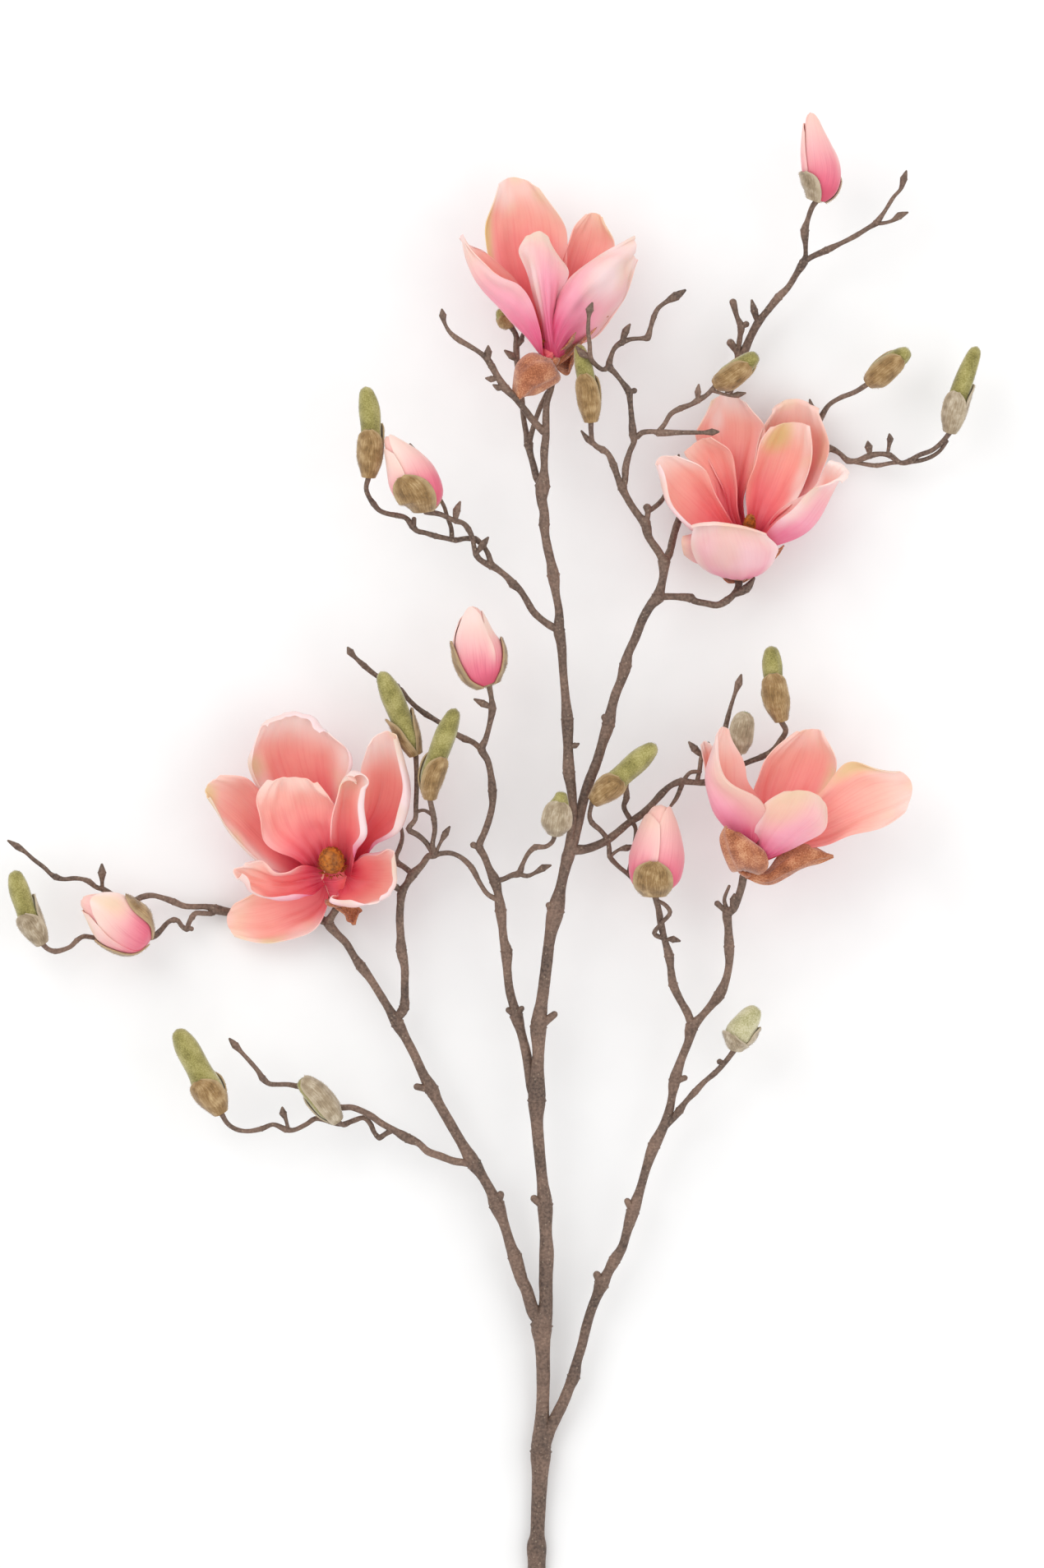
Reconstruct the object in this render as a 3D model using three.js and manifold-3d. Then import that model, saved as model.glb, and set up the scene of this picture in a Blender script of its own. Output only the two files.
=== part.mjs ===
// Saucer magnolia branch: a cut, leafless spray with four open blooms, five pink flower buds and
// sixteen green winter buds, laid down on a table.
// Millimetres. +X runs to the right of the spray, +Y from the cut end to the tips, +Z up from the
// table.

import * as THREE from 'three';
import { mergeVertices } from 'three/addons/utils/BufferGeometryUtils.js';
import Module from 'manifold-3d';

const manifold = await Module();
manifold.setup();

// ---------------------------------------------------------------- driving sizes

// The spray was laid out on a sheet. A place is [across, down, height, thickness] in mm: across
// and down from the sheet's top left corner, height above the table. Heights and thicknesses that a
// point leaves out run evenly between the points that give them.
const SHEET_CENTRE = { across: 300.4, down: 516.4 }; // the middle of the spray
const UPWARDS = new THREE.Vector3(0.1, 0.2, 1); // along no stalk
const CLEARANCE = 0.3; // between two pieces that touch
const PETAL_THICKNESS = 0.9;
const BRACT_THICKNESS = 1.0;
const PETAL_CELLS = { across: 3, along: 5 };
const BRACT_CELLS = { across: 2, along: 3 };
const CLAW_HALF = 2.5; // half the width of a petal where it springs
const CLAW_RING = 0.75; // how far out the petals spring, as a part of the core
const CUP_HEIGHT = 3; // the little cup of bracts under a bloom
const SCALE_THICKNESS = 1.0;
const HUSK_SIDES = 8; // facets round the husk of scales at a bud's foot
const HUSK_EASE = 1.2; // lets a husk's flat facets clear the bud inside it
const HUSK_NOTCH = 0.3; // how far up the rim runs between two scales
const HUSK_FOOT = 1.5; // how far the husk reaches below its bud, round the twig
const ROUTE_SLACK = 1.8; // how far a rod may stray from its route
const SEAMS_PER_BUD = 3; // petal edges that show on a closed pink bud
const SEAM_STEP = 0.13; // how far a petal edge stands out, as a part of the bud's radius

// ---------------------------------------------------------------- wood

const TRUNK = [
  [326.5, 964, 4.6, 11], [326.5, 954, 4.8, 11], [326.5, 941.5, 6.2, 12], [326.8, 937, 6.8, 9.2],
  [327.5, 920, 7.4, 9], [328.5, 900, 8.5, 10], [329, 885, 9.5, 12.5], [330, 860, 11.5, 8.2],
  [330.5, 839, 13.5, 8.4], [330, 820, 15.5, 9.5], [329.5, 807.5, 17, 13], [332, 795, 18, 8.8],
  [332, 780, 20, 8.4], [332.5, 762.5, 22, 9], [332, 750, 23, 7.6], [331.5, 733.5, 25, 9.5],
  [330, 720, 26.5, 7], [328, 700, 29, 7], [326.5, 681, 31, 8], [326.5, 670, 32.5, 11],
  [327, 650, 35, 7.8], [327.5, 639, 36, 7.5], [327.5, 625, 37.5, 10], [329.5, 610, 39, 7.5],
  [330.5, 603, 40, 7.2], [332.5, 586.5, 42, 7], [334.5, 570.5, 44, 7], [338, 554, 46, 10.5],
  [341, 540, 48, 6.5], [343, 531, 49, 6.5], [345.5, 521, 50, 8],
];

const LEFT_TRUNK = [
  [345.5, 521, 50, 8], [346, 515, 51, 5.5], [348.5, 493.5, 53, 5], [347.5, 480, 53.5, 6],
  [346, 470, 54, 7.5], [345.5, 454.5, 55, 6], [345, 437.5, 56, 7.5], [344, 425.5, 56.5, 5.5],
  [342.5, 408.5, 57, 5], [341.5, 393, 57.5, 6], [340, 383.5, 58, 7], [340, 372.5, 58, 5],
  [338, 361, 58, 5], [336.5, 350, 58, 7.5], [335, 342, 58, 5.6], [333, 333.5, 58, 5.5],
  [331.5, 325, 58, 5.2], [331, 319.5, 58, 6.6], [331, 312, 58, 5.8], [329.5, 304.5, 58, 6.4],
  [330, 296, 58, 9], [331, 285.5, 58.5, 4.6], [331, 275, 59, 5], [332, 265.5, 59.5, 4.5],
  [332, 255, 60, 4.5], [332.5, 246, 60, 4], [335, 236, 60, 4.5], [336, 223.5, 60, 5.4],
];

const RIGHT_TRUNK = [
  [345.5, 521, 50, 8], [348.5, 512, 49.5, 7], [351.5, 500, 49, 6.5], [354.5, 488, 48.5, 6.2],
  [358, 476.5, 48, 6.4], [363, 463.5, 48, 6], [366.5, 452, 48, 6.2], [370, 441, 48, 8],
  [372, 431, 48, 6], [374.5, 422, 48, 5.8], [378, 413.5, 48, 6], [380.5, 404.5, 48, 7.6],
  [382, 398, 47.5, 5.6], [386.5, 388, 47, 5.4], [391, 376.5, 46.5, 5.6], [396, 368, 46, 6],
  [400, 363.5, 45, 8], [401.5, 359, 44, 6], [403.5, 350, 42, 5], [404, 341.5, 40, 8],
];

const LEFT_LIMB = [
  [330, 806, 17, 9], [325, 800, 18, 8.4], [320, 785, 19, 7.4], [317.5, 780, 19.5, 7.6],
  [313, 765, 20.5, 8.6], [311, 760, 21, 7], [306.5, 745.5, 22, 6.2], [302, 733.5, 23, 9.4],
  [298.5, 725.5, 23, 6.4], [292.5, 715, 23.5, 6.4], [288.5, 709, 24, 9], [281, 696.5, 24, 6.4],
  [274, 684.5, 24, 6.2], [266, 670.5, 24, 6.4], [262.5, 663.5, 24, 8.6], [257.5, 654.5, 24, 6],
  [252, 642.5, 23.5, 5.6], [246, 631, 23, 5.8], [241.5, 623, 22.5, 8], [236.5, 614.5, 22, 5.2],
  [231, 605.5, 21, 5], [225, 596, 20, 5], [219, 588, 19, 6.4], [215.5, 583, 18, 4.8],
  [210, 574, 16.5, 4.6], [204, 568, 15, 5], [199.5, 562, 14, 6.4], [201.5, 557.5, 17, 4.6],
  [205, 552, 20, 5],
];

const CENTRE_LIMB = [
  [326.5, 668, 32, 8], [324, 663.5, 31.5, 7], [322, 652, 31, 6.4], [320, 640.5, 31, 6],
  [317, 628.5, 31, 5.6], [314, 618, 31, 8], [312.5, 612.5, 31.5, 5.8], [310, 603, 32, 5.4],
  [308.5, 590, 33, 5.4], [308, 578.5, 34, 7.2], [306.5, 572.5, 34.5, 5.4], [305.5, 563.5, 35, 5.2],
  [304.5, 554, 36, 7], [303, 544, 37, 5], [301, 536, 38, 7], [297.5, 528.5, 39, 4.6],
  [294.5, 521, 40, 4.4], [291.5, 515.5, 41, 5], [292, 512.5, 42, 4.4], [294.5, 507, 43, 4.2],
  [297.5, 498.5, 45, 4.2], [299.5, 489.5, 47, 4], [299.5, 481, 49, 5.4], [298.5, 471, 51, 4],
  [296.5, 462.5, 53, 4], [293, 456, 54, 5], [295.5, 449.5, 55, 3.6], [298, 440, 56, 3.4],
  [299.5, 431, 57, 4.8], [299, 425.5, 58, 3.2], [297.5, 417, 59.5, 3.6],
];

const RIGHT_LIMB = [
  [330, 884, 9.5, 8], [331.5, 880, 10, 8], [334, 872.5, 11, 7.6], [337.5, 865, 12, 7.4],
  [342.5, 855, 13, 7], [346.5, 845, 14, 6.8], [349, 839, 14.5, 7.8], [351, 830, 15, 6],
  [354, 820, 16, 5.8], [357, 807.5, 17, 6], [360, 797.5, 18, 6], [364, 787.5, 19, 6.8],
  [366, 782.5, 19.5, 9], [370, 775, 20, 6.2], [374, 767.5, 21, 7.4], [378.5, 760, 22, 5.8],
  [381.5, 750, 23, 5.8], [385, 738, 24, 8.2], [389.5, 724.5, 25, 5.6], [393.5, 710.5, 26, 5.6],
  [398, 697.5, 27, 7.6], [403, 687.5, 28, 6], [407, 677, 29, 5.6], [409, 667, 30, 5],
  [410.5, 658, 31, 7.4], [414.5, 645, 32, 5.2], [419, 633.5, 33, 5.4], [421, 625, 34, 8],
  [426, 619.5, 35, 5], [432.5, 612, 36.5, 5], [437.5, 605.5, 38, 7], [441.5, 596.5, 39.5, 5],
  [443.5, 586.5, 41, 4.8], [443.5, 576, 43, 6.4], [443, 564.5, 45, 4.8], [442.5, 555.5, 47, 6.2],
  [446, 553, 49, 5], [448.5, 547, 51, 4.8], [451, 539, 54, 4.8], [452, 533, 56, 5],
];

// Twigs that carry blooms and buds.
const TWIGS = {
  toUpperRightBloom: [
    [400, 363.5, 45, 6], [404, 363, 44, 4.4], [411, 363, 42, 4.2], [420.5, 364, 40, 5.4],
    [422.5, 365.5, 39.5, 4.4], [429.5, 367, 38, 4], [436.5, 368, 36, 4.2], [442.5, 365, 34, 4.8],
    [446.5, 361.5, 31, 4], [449.5, 356.5, 28, 4.5], [449.5, 352, 26, 5],
  ],
  behindUpperRightBloom: [
    [404, 341.5, 40, 6], [407, 337, 36, 5], [409.5, 327.5, 28, 4.6], [411.5, 320.5, 22],
    [417.5, 305, 13, 4.4], [424, 290, 8, 5.4], [431, 272.5, 6, 4.4], [438, 255, 7, 4.6],
    [444, 237.5, 10], [448.5, 222.5, 15, 5], [453.5, 212, 19, 5.6], [457, 204, 22, 4.8],
    [461.5, 195.5, 25, 5.2], [467.5, 188, 28, 4.4], [474, 180, 31, 5.2], [479.5, 174.5, 33, 4],
    [484.5, 166.5, 36, 4], [489, 159, 39, 5.4], [490, 156, 40, 3.2], [490, 149.5, 43, 3],
    [489.5, 140, 46, 5.4], [491, 134.5, 47, 3.2], [494, 126, 50, 3.4], [496.5, 122.5, 51, 3.6],
  ],
  topRight: [
    [489, 159, 39, 4], [494, 156, 40, 3.4], [503, 152, 42, 4.4], [511.5, 148, 44, 3],
    [519.5, 144, 46, 3.2], [528.5, 138.5, 48, 3], [532.5, 136, 49, 4], [537.5, 129.5, 51, 2.6],
    [543.5, 120, 53, 2.4], [547.5, 115.5, 54, 2.4], [549.5, 109, 55, 4.4], [551, 104.5, 56, 1.2],
  ],
  farRight: [
    [424, 290, 8, 4.4], [440, 287.5, 4.5, 4.2], [460, 285, 1.6, 4.6], [480, 280, 1.6, 4.6],
    [495, 274.5, 5, 4], [505.5, 272, 9, 4.6], [511.5, 275, 11, 3], [516.5, 279.5, 13, 4],
    [522, 279.5, 15, 3.2], [530, 276.5, 17, 4], [536.5, 275.5, 19, 3], [542, 276.5, 20, 3.6],
    [548.5, 281, 21, 3], [554, 280, 23, 3.8], [559.5, 276.5, 25, 3], [567.5, 273.5, 28, 3],
    [574, 268, 31, 3], [578, 263, 33.5, 3.4],
  ],
  farRightBelow: [
    [576.5, 268, 31, 2.2], [571.5, 274.5, 27, 2.4], [564.5, 278.5, 24, 2.6], [555, 280.5, 22, 2.6],
    [543.5, 281, 19, 2.6], [534, 282.5, 16, 3], [526, 281.5, 14, 2.6], [517, 279.5, 13, 3],
  ],
  rightOutward: [
    [480, 280, 3, 3.6], [485, 274, 6, 3.2], [492.5, 265, 12, 3], [499.5, 254, 18, 4],
    [504.5, 246, 22, 3], [511.5, 241.5, 26, 3], [520.5, 238, 30, 3.2], [528.5, 233, 33.5, 3.4],
  ],
  rightInward: [
    [404, 341.5, 40, 6], [400.5, 335.5, 42, 5], [394.5, 326.5, 44, 4.8], [392.5, 318.5, 46, 6.4],
    [389, 314.5, 47, 4.8], [384, 307.5, 48, 4.4], [379.5, 299.5, 50, 4.8], [378.5, 297, 50, 6],
    [376, 291.5, 52, 3.8], [373, 283, 54, 4.6], [369.5, 276, 56, 3.4], [366.5, 274, 57, 4.4],
    [361, 270.5, 58, 3], [359.5, 263.5, 60, 3], [359.3, 257, 62.5, 3.4],
  ],
  rightInwardUp: [
    [378.5, 297, 50, 5], [380, 292.5, 51, 4], [380.5, 284.5, 52, 4.4], [383, 275, 53, 3.6],
    [385.5, 269, 54, 3.6], [385, 265, 54, 5], [384, 253.5, 56, 3.4], [383, 243, 58, 3.6],
    [382.5, 239, 58, 4.6], [378, 232.5, 59, 3.2], [374, 227.5, 60, 3.4], [370.5, 223.5, 61, 4.6],
    [371.5, 217.5, 61, 3], [374, 212, 62, 3], [378, 209, 62, 4], [383.5, 207, 63, 2.8],
    [390.5, 206.5, 64, 2.8], [393.5, 206, 64, 4.4], [395.5, 200, 65, 2.8], [397.5, 193.5, 66, 3.4],
    [400, 188.5, 67, 2.8], [405, 184.5, 68, 3], [411, 181, 69, 5.6], [416.5, 177.5, 70, 1.6],
  ],
  besideTopBloom: [
    [370.5, 223.5, 61, 4], [367, 225.5, 63, 3], [362, 222.5, 68, 3], [359, 218.5, 74, 3.2],
    [358.5, 211, 79, 2.6], [357.5, 202, 83, 2.6], [358, 193.5, 85, 2.6], [358.5, 190, 86, 4.8],
    [360, 186, 87, 1.6],
  ],
  acrossUpperRightBloom: [
    [385, 265, 54, 4.4], [386.5, 266.5, 54, 4], [390.5, 263.5, 55, 3.4], [398.5, 263, 56, 3.2],
    [400, 263.5, 56, 4.4], [415, 263.5, 57, 3], [425, 263.5, 57, 2.6], [428.5, 263.5, 57, 2.6],
    [433, 263.2, 57, 4.2], [437, 263, 57, 1.4],
  ],
  aboveUpperRightBloom: [
    [400, 263.5, 56, 3.4], [404, 258.5, 54, 3], [408, 252, 51, 3], [414, 248.5, 48, 3.8],
    [420.5, 246, 46, 3], [424.5, 243.5, 44, 4], [429.5, 240.5, 42, 3], [435.5, 234.5, 40.5, 3.4],
  ],
  rearLeftTop: [
    [330, 296, 57, 5], [326.5, 291, 55, 4.5], [324.5, 283.5, 53, 4.2], [322.5, 276, 50, 4],
    [321.5, 270.5, 48, 5.5], [320, 263, 45, 3.6], [318.5, 254.5, 42, 3.4], [317.5, 243.5, 39],
    [316, 231, 36], [314.5, 219.5, 34], [314, 211, 33, 4], [314, 204, 33, 3.4], [311, 198.5, 34.5, 3.6],
  ],
  rearLeftTopBrace: [
    [321.5, 270.5, 48, 4], [323.5, 263, 48, 3.2], [326.5, 253.5, 50, 3.2], [329.5, 246, 54, 3],
    [333, 239, 59, 3],
  ],
  diagonalTop: [
    [330.5, 263, 59.5, 4.5], [323.5, 255.5, 64], [318.5, 249, 67], [313.5, 243, 70, 4],
    [307.5, 237, 72, 5], [303, 230.5, 74, 4], [299, 223.5, 76, 4.6], [296, 219, 77, 4],
    [291, 215, 79, 3], [284.5, 211, 80], [278.5, 207.5, 81, 3.6], [273.5, 203, 82, 2.6],
    [270.5, 197.5, 83, 2.4], [269.5, 193, 83, 4.2], [269, 189.5, 83, 1.2],
  ],
  midLeft: [
    [340, 383.5, 58, 5], [335, 381, 59, 4.6], [330.5, 378, 60, 4.2], [324.5, 372.5, 61, 4.4],
    [320, 365, 62, 4], [316, 359, 63, 4], [312, 355.5, 64, 5.6], [308.5, 351.5, 64.5, 4],
    [303, 347, 65, 4], [299, 344.5, 65.5, 5], [293.5, 342, 67, 3.4], [290, 338.5, 68, 3.8],
    [288.5, 333.5, 69, 3], [287.5, 328, 70, 3], [285, 322.5, 71, 3.8], [282, 319, 72, 3],
    [277.5, 317.5, 73, 3.4], [272.5, 315.5, 74, 3], [268, 313.5, 75, 3.2], [259, 312, 76.5, 3.6],
  ],
  midLeftOuter: [
    [299, 344.5, 65.5, 4], [296.5, 336.5, 65, 3.2], [292.5, 331, 65, 3.2], [289, 328.5, 65, 4],
    [283, 328, 65, 3], [277.5, 329, 65, 3.4], [272, 328, 65, 3], [265, 326.5, 65, 3.6],
    [258.5, 324.5, 65, 3], [254, 323.5, 65, 3.2], [251, 320.5, 65, 4], [247, 315.5, 66, 3],
    [241.5, 314, 66, 3.4], [236, 313, 67, 3], [231, 311, 67, 3], [227.5, 307, 68, 3.6],
    [224.5, 302.5, 69, 3], [223, 297.5, 70, 3], [224.5, 291, 72, 3.4],
  ],
  midLeftBehind: [
    [275, 328.5, 65, 3], [274.5, 321.5, 63, 2.8], [272, 314.5, 61, 2.6], [270, 308, 59, 2.4],
    [262, 295, 57, 2.4], [255, 281, 57, 2.4], [252, 275.5, 57, 4.4], [249.5, 270.5, 57, 1.4],
  ],
  cross: [
    [348, 517, 50, 6.5], [356.5, 516.5, 47, 5.5], [368, 512, 44, 5], [375.5, 506.5, 43, 4.8],
    [382, 501, 42, 4.4], [391, 495, 40, 4.8], [398, 488, 39, 4.2], [402, 483.5, 39, 4.6],
    [408, 478, 40, 3.8], [414.5, 475.5, 41, 4.6], [422, 476, 41, 3.8], [429, 476, 40, 4.4],
    [437.5, 474, 38, 3.6], [445, 469, 37, 4.4], [450, 466, 36, 3.6], [457, 463, 36, 3.4],
    [463.5, 460.5, 36, 4], [470, 456.5, 37, 3.4], [474.5, 451, 39, 3.6], [478, 444.5, 42, 3.4],
    [475.5, 439.5, 44, 3.6],
  ],
  crossToGreyBud: [[445, 469, 37, 3], [449, 463, 37, 3], [450, 458, 38.5, 3]],
  crossUpright: [
    [437.5, 474, 38, 3], [438, 462, 36, 2.8], [440, 452.5, 34, 2.8], [441.5, 442.5, 32, 3.4],
    [444.5, 430.5, 33, 2.6], [447.5, 421, 35, 2.6], [449.5, 415.5, 36, 4.6], [451, 410.5, 37, 1.4],
  ],
  crossLoop: [[415.5, 475, 41, 2.6], [420, 470, 44, 2.6], [426, 469.5, 43, 2.6]],
  crossTip: [
    [424, 475.5, 41, 3], [425.5, 469, 42, 2.8], [427, 460, 42, 2.8], [429.5, 457.5, 40, 2.6],
    [431, 452, 38, 2],
  ],
  crossLower: [[415, 477, 41, 3], [411.5, 485.5, 38, 2.8], [408, 490.5, 36, 2]],
  toBroadBud: [
    [369.5, 510.5, 44, 3.4], [365.5, 505.5, 49, 3], [360, 500.5, 54, 3.4], [358.5, 496.5, 57, 2.8],
    [360, 488, 61.5, 3],
  ],
  belowCross: [
    [369.5, 510.5, 44, 3.4], [370.5, 515.5, 43, 3], [371, 521, 42, 3.4], [375.5, 526.5, 38, 3],
    [382, 532, 35, 2.8], [387, 537.5, 34, 2],
  ],
  belowCrossTip: [[371, 521, 42, 2.4], [376.5, 517, 43, 2.2], [381.5, 515.8, 43.5, 4.2],
    [385.5, 514.5, 44, 1.2]],
  acrossCrossUp: [
    [384, 499.5, 41, 3.4], [379.5, 491, 43, 3], [381, 485.5, 45, 4], [381, 478, 47, 2.8],
    [383, 470, 49, 1.8],
  ],
  acrossCrossDown: [[384, 499.5, 41, 3.4], [386.5, 503.5, 39, 2.6], [386, 513, 36, 2.4],
    [382, 532, 34.6, 2.4]],
  centreLeft: [
    [293, 456, 54, 4], [287.5, 451.5, 51, 3.4], [282.5, 449.5, 48, 4.4], [276.5, 446, 44, 3.2],
    [269.5, 441, 41, 3.2], [264, 437.5, 39, 3.2], [259, 434.5, 37, 3.6], [253, 430, 36, 3],
    [247.5, 424.5, 36, 3], [243.5, 420, 37, 3.8], [236, 415.5, 38, 2.8], [227.5, 410, 39, 3],
    [221.5, 405, 41, 3.6], [216, 400, 43, 2.6], [213, 396.5, 44, 4.4], [211.5, 394, 44.5, 1.4],
  ],
  toRoundBud: [
    [301, 536, 38, 4], [306, 535, 40, 3.2], [311.5, 532.5, 42, 3.4], [315.5, 531.5, 43, 4.4],
    [318, 525.5, 46, 3], [321.5, 519, 50, 3], [325.5, 515.5, 53, 3.8], [332, 515, 57, 2.8],
    [336, 512, 60, 2.8], [337.5, 507.5, 63.5, 3],
  ],
  belowRoundBud: [
    [315.5, 531.5, 43, 3.4], [320.5, 533, 44, 2.8], [325.5, 531, 46, 2.6], [330.5, 528, 47, 4.4],
    [335, 526.5, 48, 1.4],
  ],
  leftArc: [
    [303.5, 548, 37, 3.4], [296.5, 544, 37, 3], [292, 537.5, 37.5, 3], [286.5, 527.5, 38, 3.8],
    [280, 521.5, 38.5, 3], [273.5, 519, 39, 3], [267, 519.5, 39.5, 3.4], [264, 520, 40, 5],
  ],
  leftRiser: [
    [241.5, 620, 22.5, 5], [245.5, 613.5, 23, 6.4], [246, 606.5, 24, 5], [246, 598.5, 25, 5],
    [246, 589, 26, 5], [244, 578.5, 27, 6.6], [243.5, 569, 28, 5], [243, 560, 29, 5],
    [243.5, 549.5, 30, 4.8], [244.5, 542.5, 30.5, 5.6], [247.5, 537.5, 31, 4.4], [251, 532, 32, 6],
    [256.5, 526.5, 35, 4], [260.5, 521, 38, 4], [264, 520, 40, 5], [263, 514.5, 43, 3.2],
    [264.5, 505, 48, 3], [264, 498.5, 52, 3.6], [261.5, 486, 58.5, 3.2],
  ],
  leftRiserShort: [
    [251, 532, 32, 4], [245.5, 527.5, 28, 3.4], [241.5, 525, 25, 4], [240.5, 522, 23, 3],
    [243, 515.5, 21, 3], [244.5, 509, 20, 2.4], [243, 500, 20, 1.8],
  ],
  toSlimBud: [
    [264, 520, 40, 4], [259, 512.5, 42, 3.2], [254, 508, 43, 3.4], [248.5, 504.5, 44, 3.6],
    [252.5, 498.5, 45, 3], [253, 489.5, 46, 3], [253.5, 475, 47, 3], [253, 459.5, 49, 3.4],
  ],
  slimBudLink: [[253, 494, 45.5, 2.4], [258, 493, 49, 2.2], [264, 496.5, 52.5, 2.4]],
  lowerLeft: [
    [288.5, 709, 24, 5.5], [283, 708, 25, 4.8], [276, 707, 26, 4.6], [268, 704, 27, 4.8],
    [260, 701, 28, 4.4], [254.5, 696, 29, 4.4], [248, 693, 30, 6], [238.5, 687.5, 31, 4],
    [231.5, 683.5, 32, 4.2], [226, 679.5, 33, 4.2], [220.5, 676.5, 33.5, 4], [213.5, 674, 34, 3.8],
    [207, 674, 34, 3.8], [198, 670, 32, 3.4], [187.5, 663.5, 32, 3], [180, 661, 34, 3.4],
    [174.5, 660, 36, 3], [168, 660, 37, 3], [163.5, 659.5, 38, 3.2], [159.5, 656, 39, 4],
    [157, 652, 40, 3], [152, 646, 41, 2.8], [147, 640.5, 42, 2.6], [143, 636, 43, 4.6],
    [139.5, 632, 44, 1.4],
  ],
  lowerLeftBelow: [
    [238, 688, 31, 4], [234, 690.5, 30, 3.2], [230.5, 692.5, 29, 3.6], [227.5, 689.5, 28.5, 3],
    [225, 684, 28, 3.4], [221, 680.5, 28, 3.2], [215.5, 682, 28, 3.4], [210, 684, 28, 3.2],
    [206, 684.5, 27, 3], [192, 681, 26, 3.2], [186, 684.5, 28, 3], [178, 688, 30, 3],
    [173.5, 687.5, 31, 4], [166, 684.5, 32, 2.8], [159, 687, 33, 3.4], [151, 688.5, 34, 2.8],
    [144, 687.5, 36, 3], [138.5, 684, 38, 3], [134.5, 677.5, 41, 3.4],
  ],
  toGreyHorn: [[212, 683.5, 28, 3], [209, 685, 32, 2.8], [205.5, 682.5, 37, 3]],
  farLeft: [
    [199.5, 562, 12, 5], [193.5, 559.5, 9, 5.4], [180, 558.5, 4, 4.6], [167.5, 558, 1.5, 4.8],
    [152.5, 556.5, 1.5, 4.8], [139.5, 555.5, 5, 5], [130, 553.5, 8, 6], [124.5, 552, 9, 3.6],
    [118, 552, 11, 3.6], [111, 551.5, 13, 3.6], [105, 549, 14, 4.4], [98, 546.5, 16, 3.4],
    [91.5, 545, 18, 3.4], [85.5, 546, 19, 3.8], [80.5, 548, 20, 3.2], [71, 546, 21, 3],
    [61.5, 541, 23, 3.6], [58, 540, 24, 3], [53.5, 536.5, 26, 3.6], [49.5, 535, 27, 2.8],
    [44.5, 534.5, 28, 3], [38, 535, 29, 2.8], [33, 533.5, 30, 4], [30.5, 532, 31, 2.8],
    [26.5, 528, 32, 2.8], [20, 523, 33, 2.6], [15, 518.5, 34, 2.6], [10, 515, 35, 4.2],
    [4.5, 511.5, 36, 1.4],
  ],
  farLeftLower: [
    [130, 554.5, 8, 4], [128, 556, 9, 3.6], [122.5, 556, 11, 3.2], [118, 556, 12, 3.2],
    [116, 558.5, 13, 3.6], [114, 562, 14, 3], [113, 565.5, 15, 3.8], [110, 564, 16, 3],
    [107.5, 560.5, 17, 3], [105, 560, 18, 3.6], [102, 561, 19, 3], [99, 564, 21, 3],
    [96.5, 567.5, 25, 3], [93.5, 570, 30, 3.4], [90, 570.5, 34, 3.6],
  ],
  farLeftLowest: [
    [98, 565.5, 21.5, 3], [90, 571, 20, 2.8], [75, 572, 19, 2.8], [59, 571, 21, 3.4],
    [55, 570.5, 23, 3], [50, 570, 25, 3], [46, 572.5, 26, 3.4], [42.5, 576, 27, 3],
    [38, 578, 28, 3], [33, 579, 29, 3.4], [28.5, 577.5, 31, 3], [25.5, 574.5, 33, 3.2],
  ],
  toLowPinkBud: [
    [421, 625, 34, 5], [418.5, 617, 35, 5], [413.5, 608, 36.5, 4.6], [409.5, 599, 38, 5.4],
    [408, 589, 39.5, 4.4], [407, 581.5, 41, 5.8], [404.5, 572.5, 43, 4], [402, 562, 46, 4.4],
    [400.5, 553, 49, 3.8], [398, 543.5, 53.5, 4],
  ],
  curl: [
    [405, 571.5, 43, 3], [398, 568, 46, 3], [403, 561, 50.5, 2.6], [407.5, 555, 53, 2.8],
    [404.5, 550.5, 53, 2.6], [400, 548, 52, 2.4],
  ],
  curlBud: [[404.5, 573, 43, 2.4], [406.5, 571.5, 46, 2.4], [409.5, 571.5, 48, 4.2],
    [413.5, 572.5, 48, 1.4]],
  rightLimbThin: [[442.5, 554, 47, 2.8], [440.5, 547.5, 49, 2.4], [443.5, 539, 49, 1.8]],
  toLowRightBud: [
    [403, 687.5, 28, 4], [409.5, 681, 29, 4], [413.5, 676, 30, 5], [417, 671, 31, 3.4],
    [423, 664.5, 32, 4.4], [428.5, 658.5, 33.5, 3.2], [435, 653, 35, 3.6], [441.5, 646, 38, 3.2],
    [447, 638.5, 41, 3.6],
  ],
};

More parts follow.
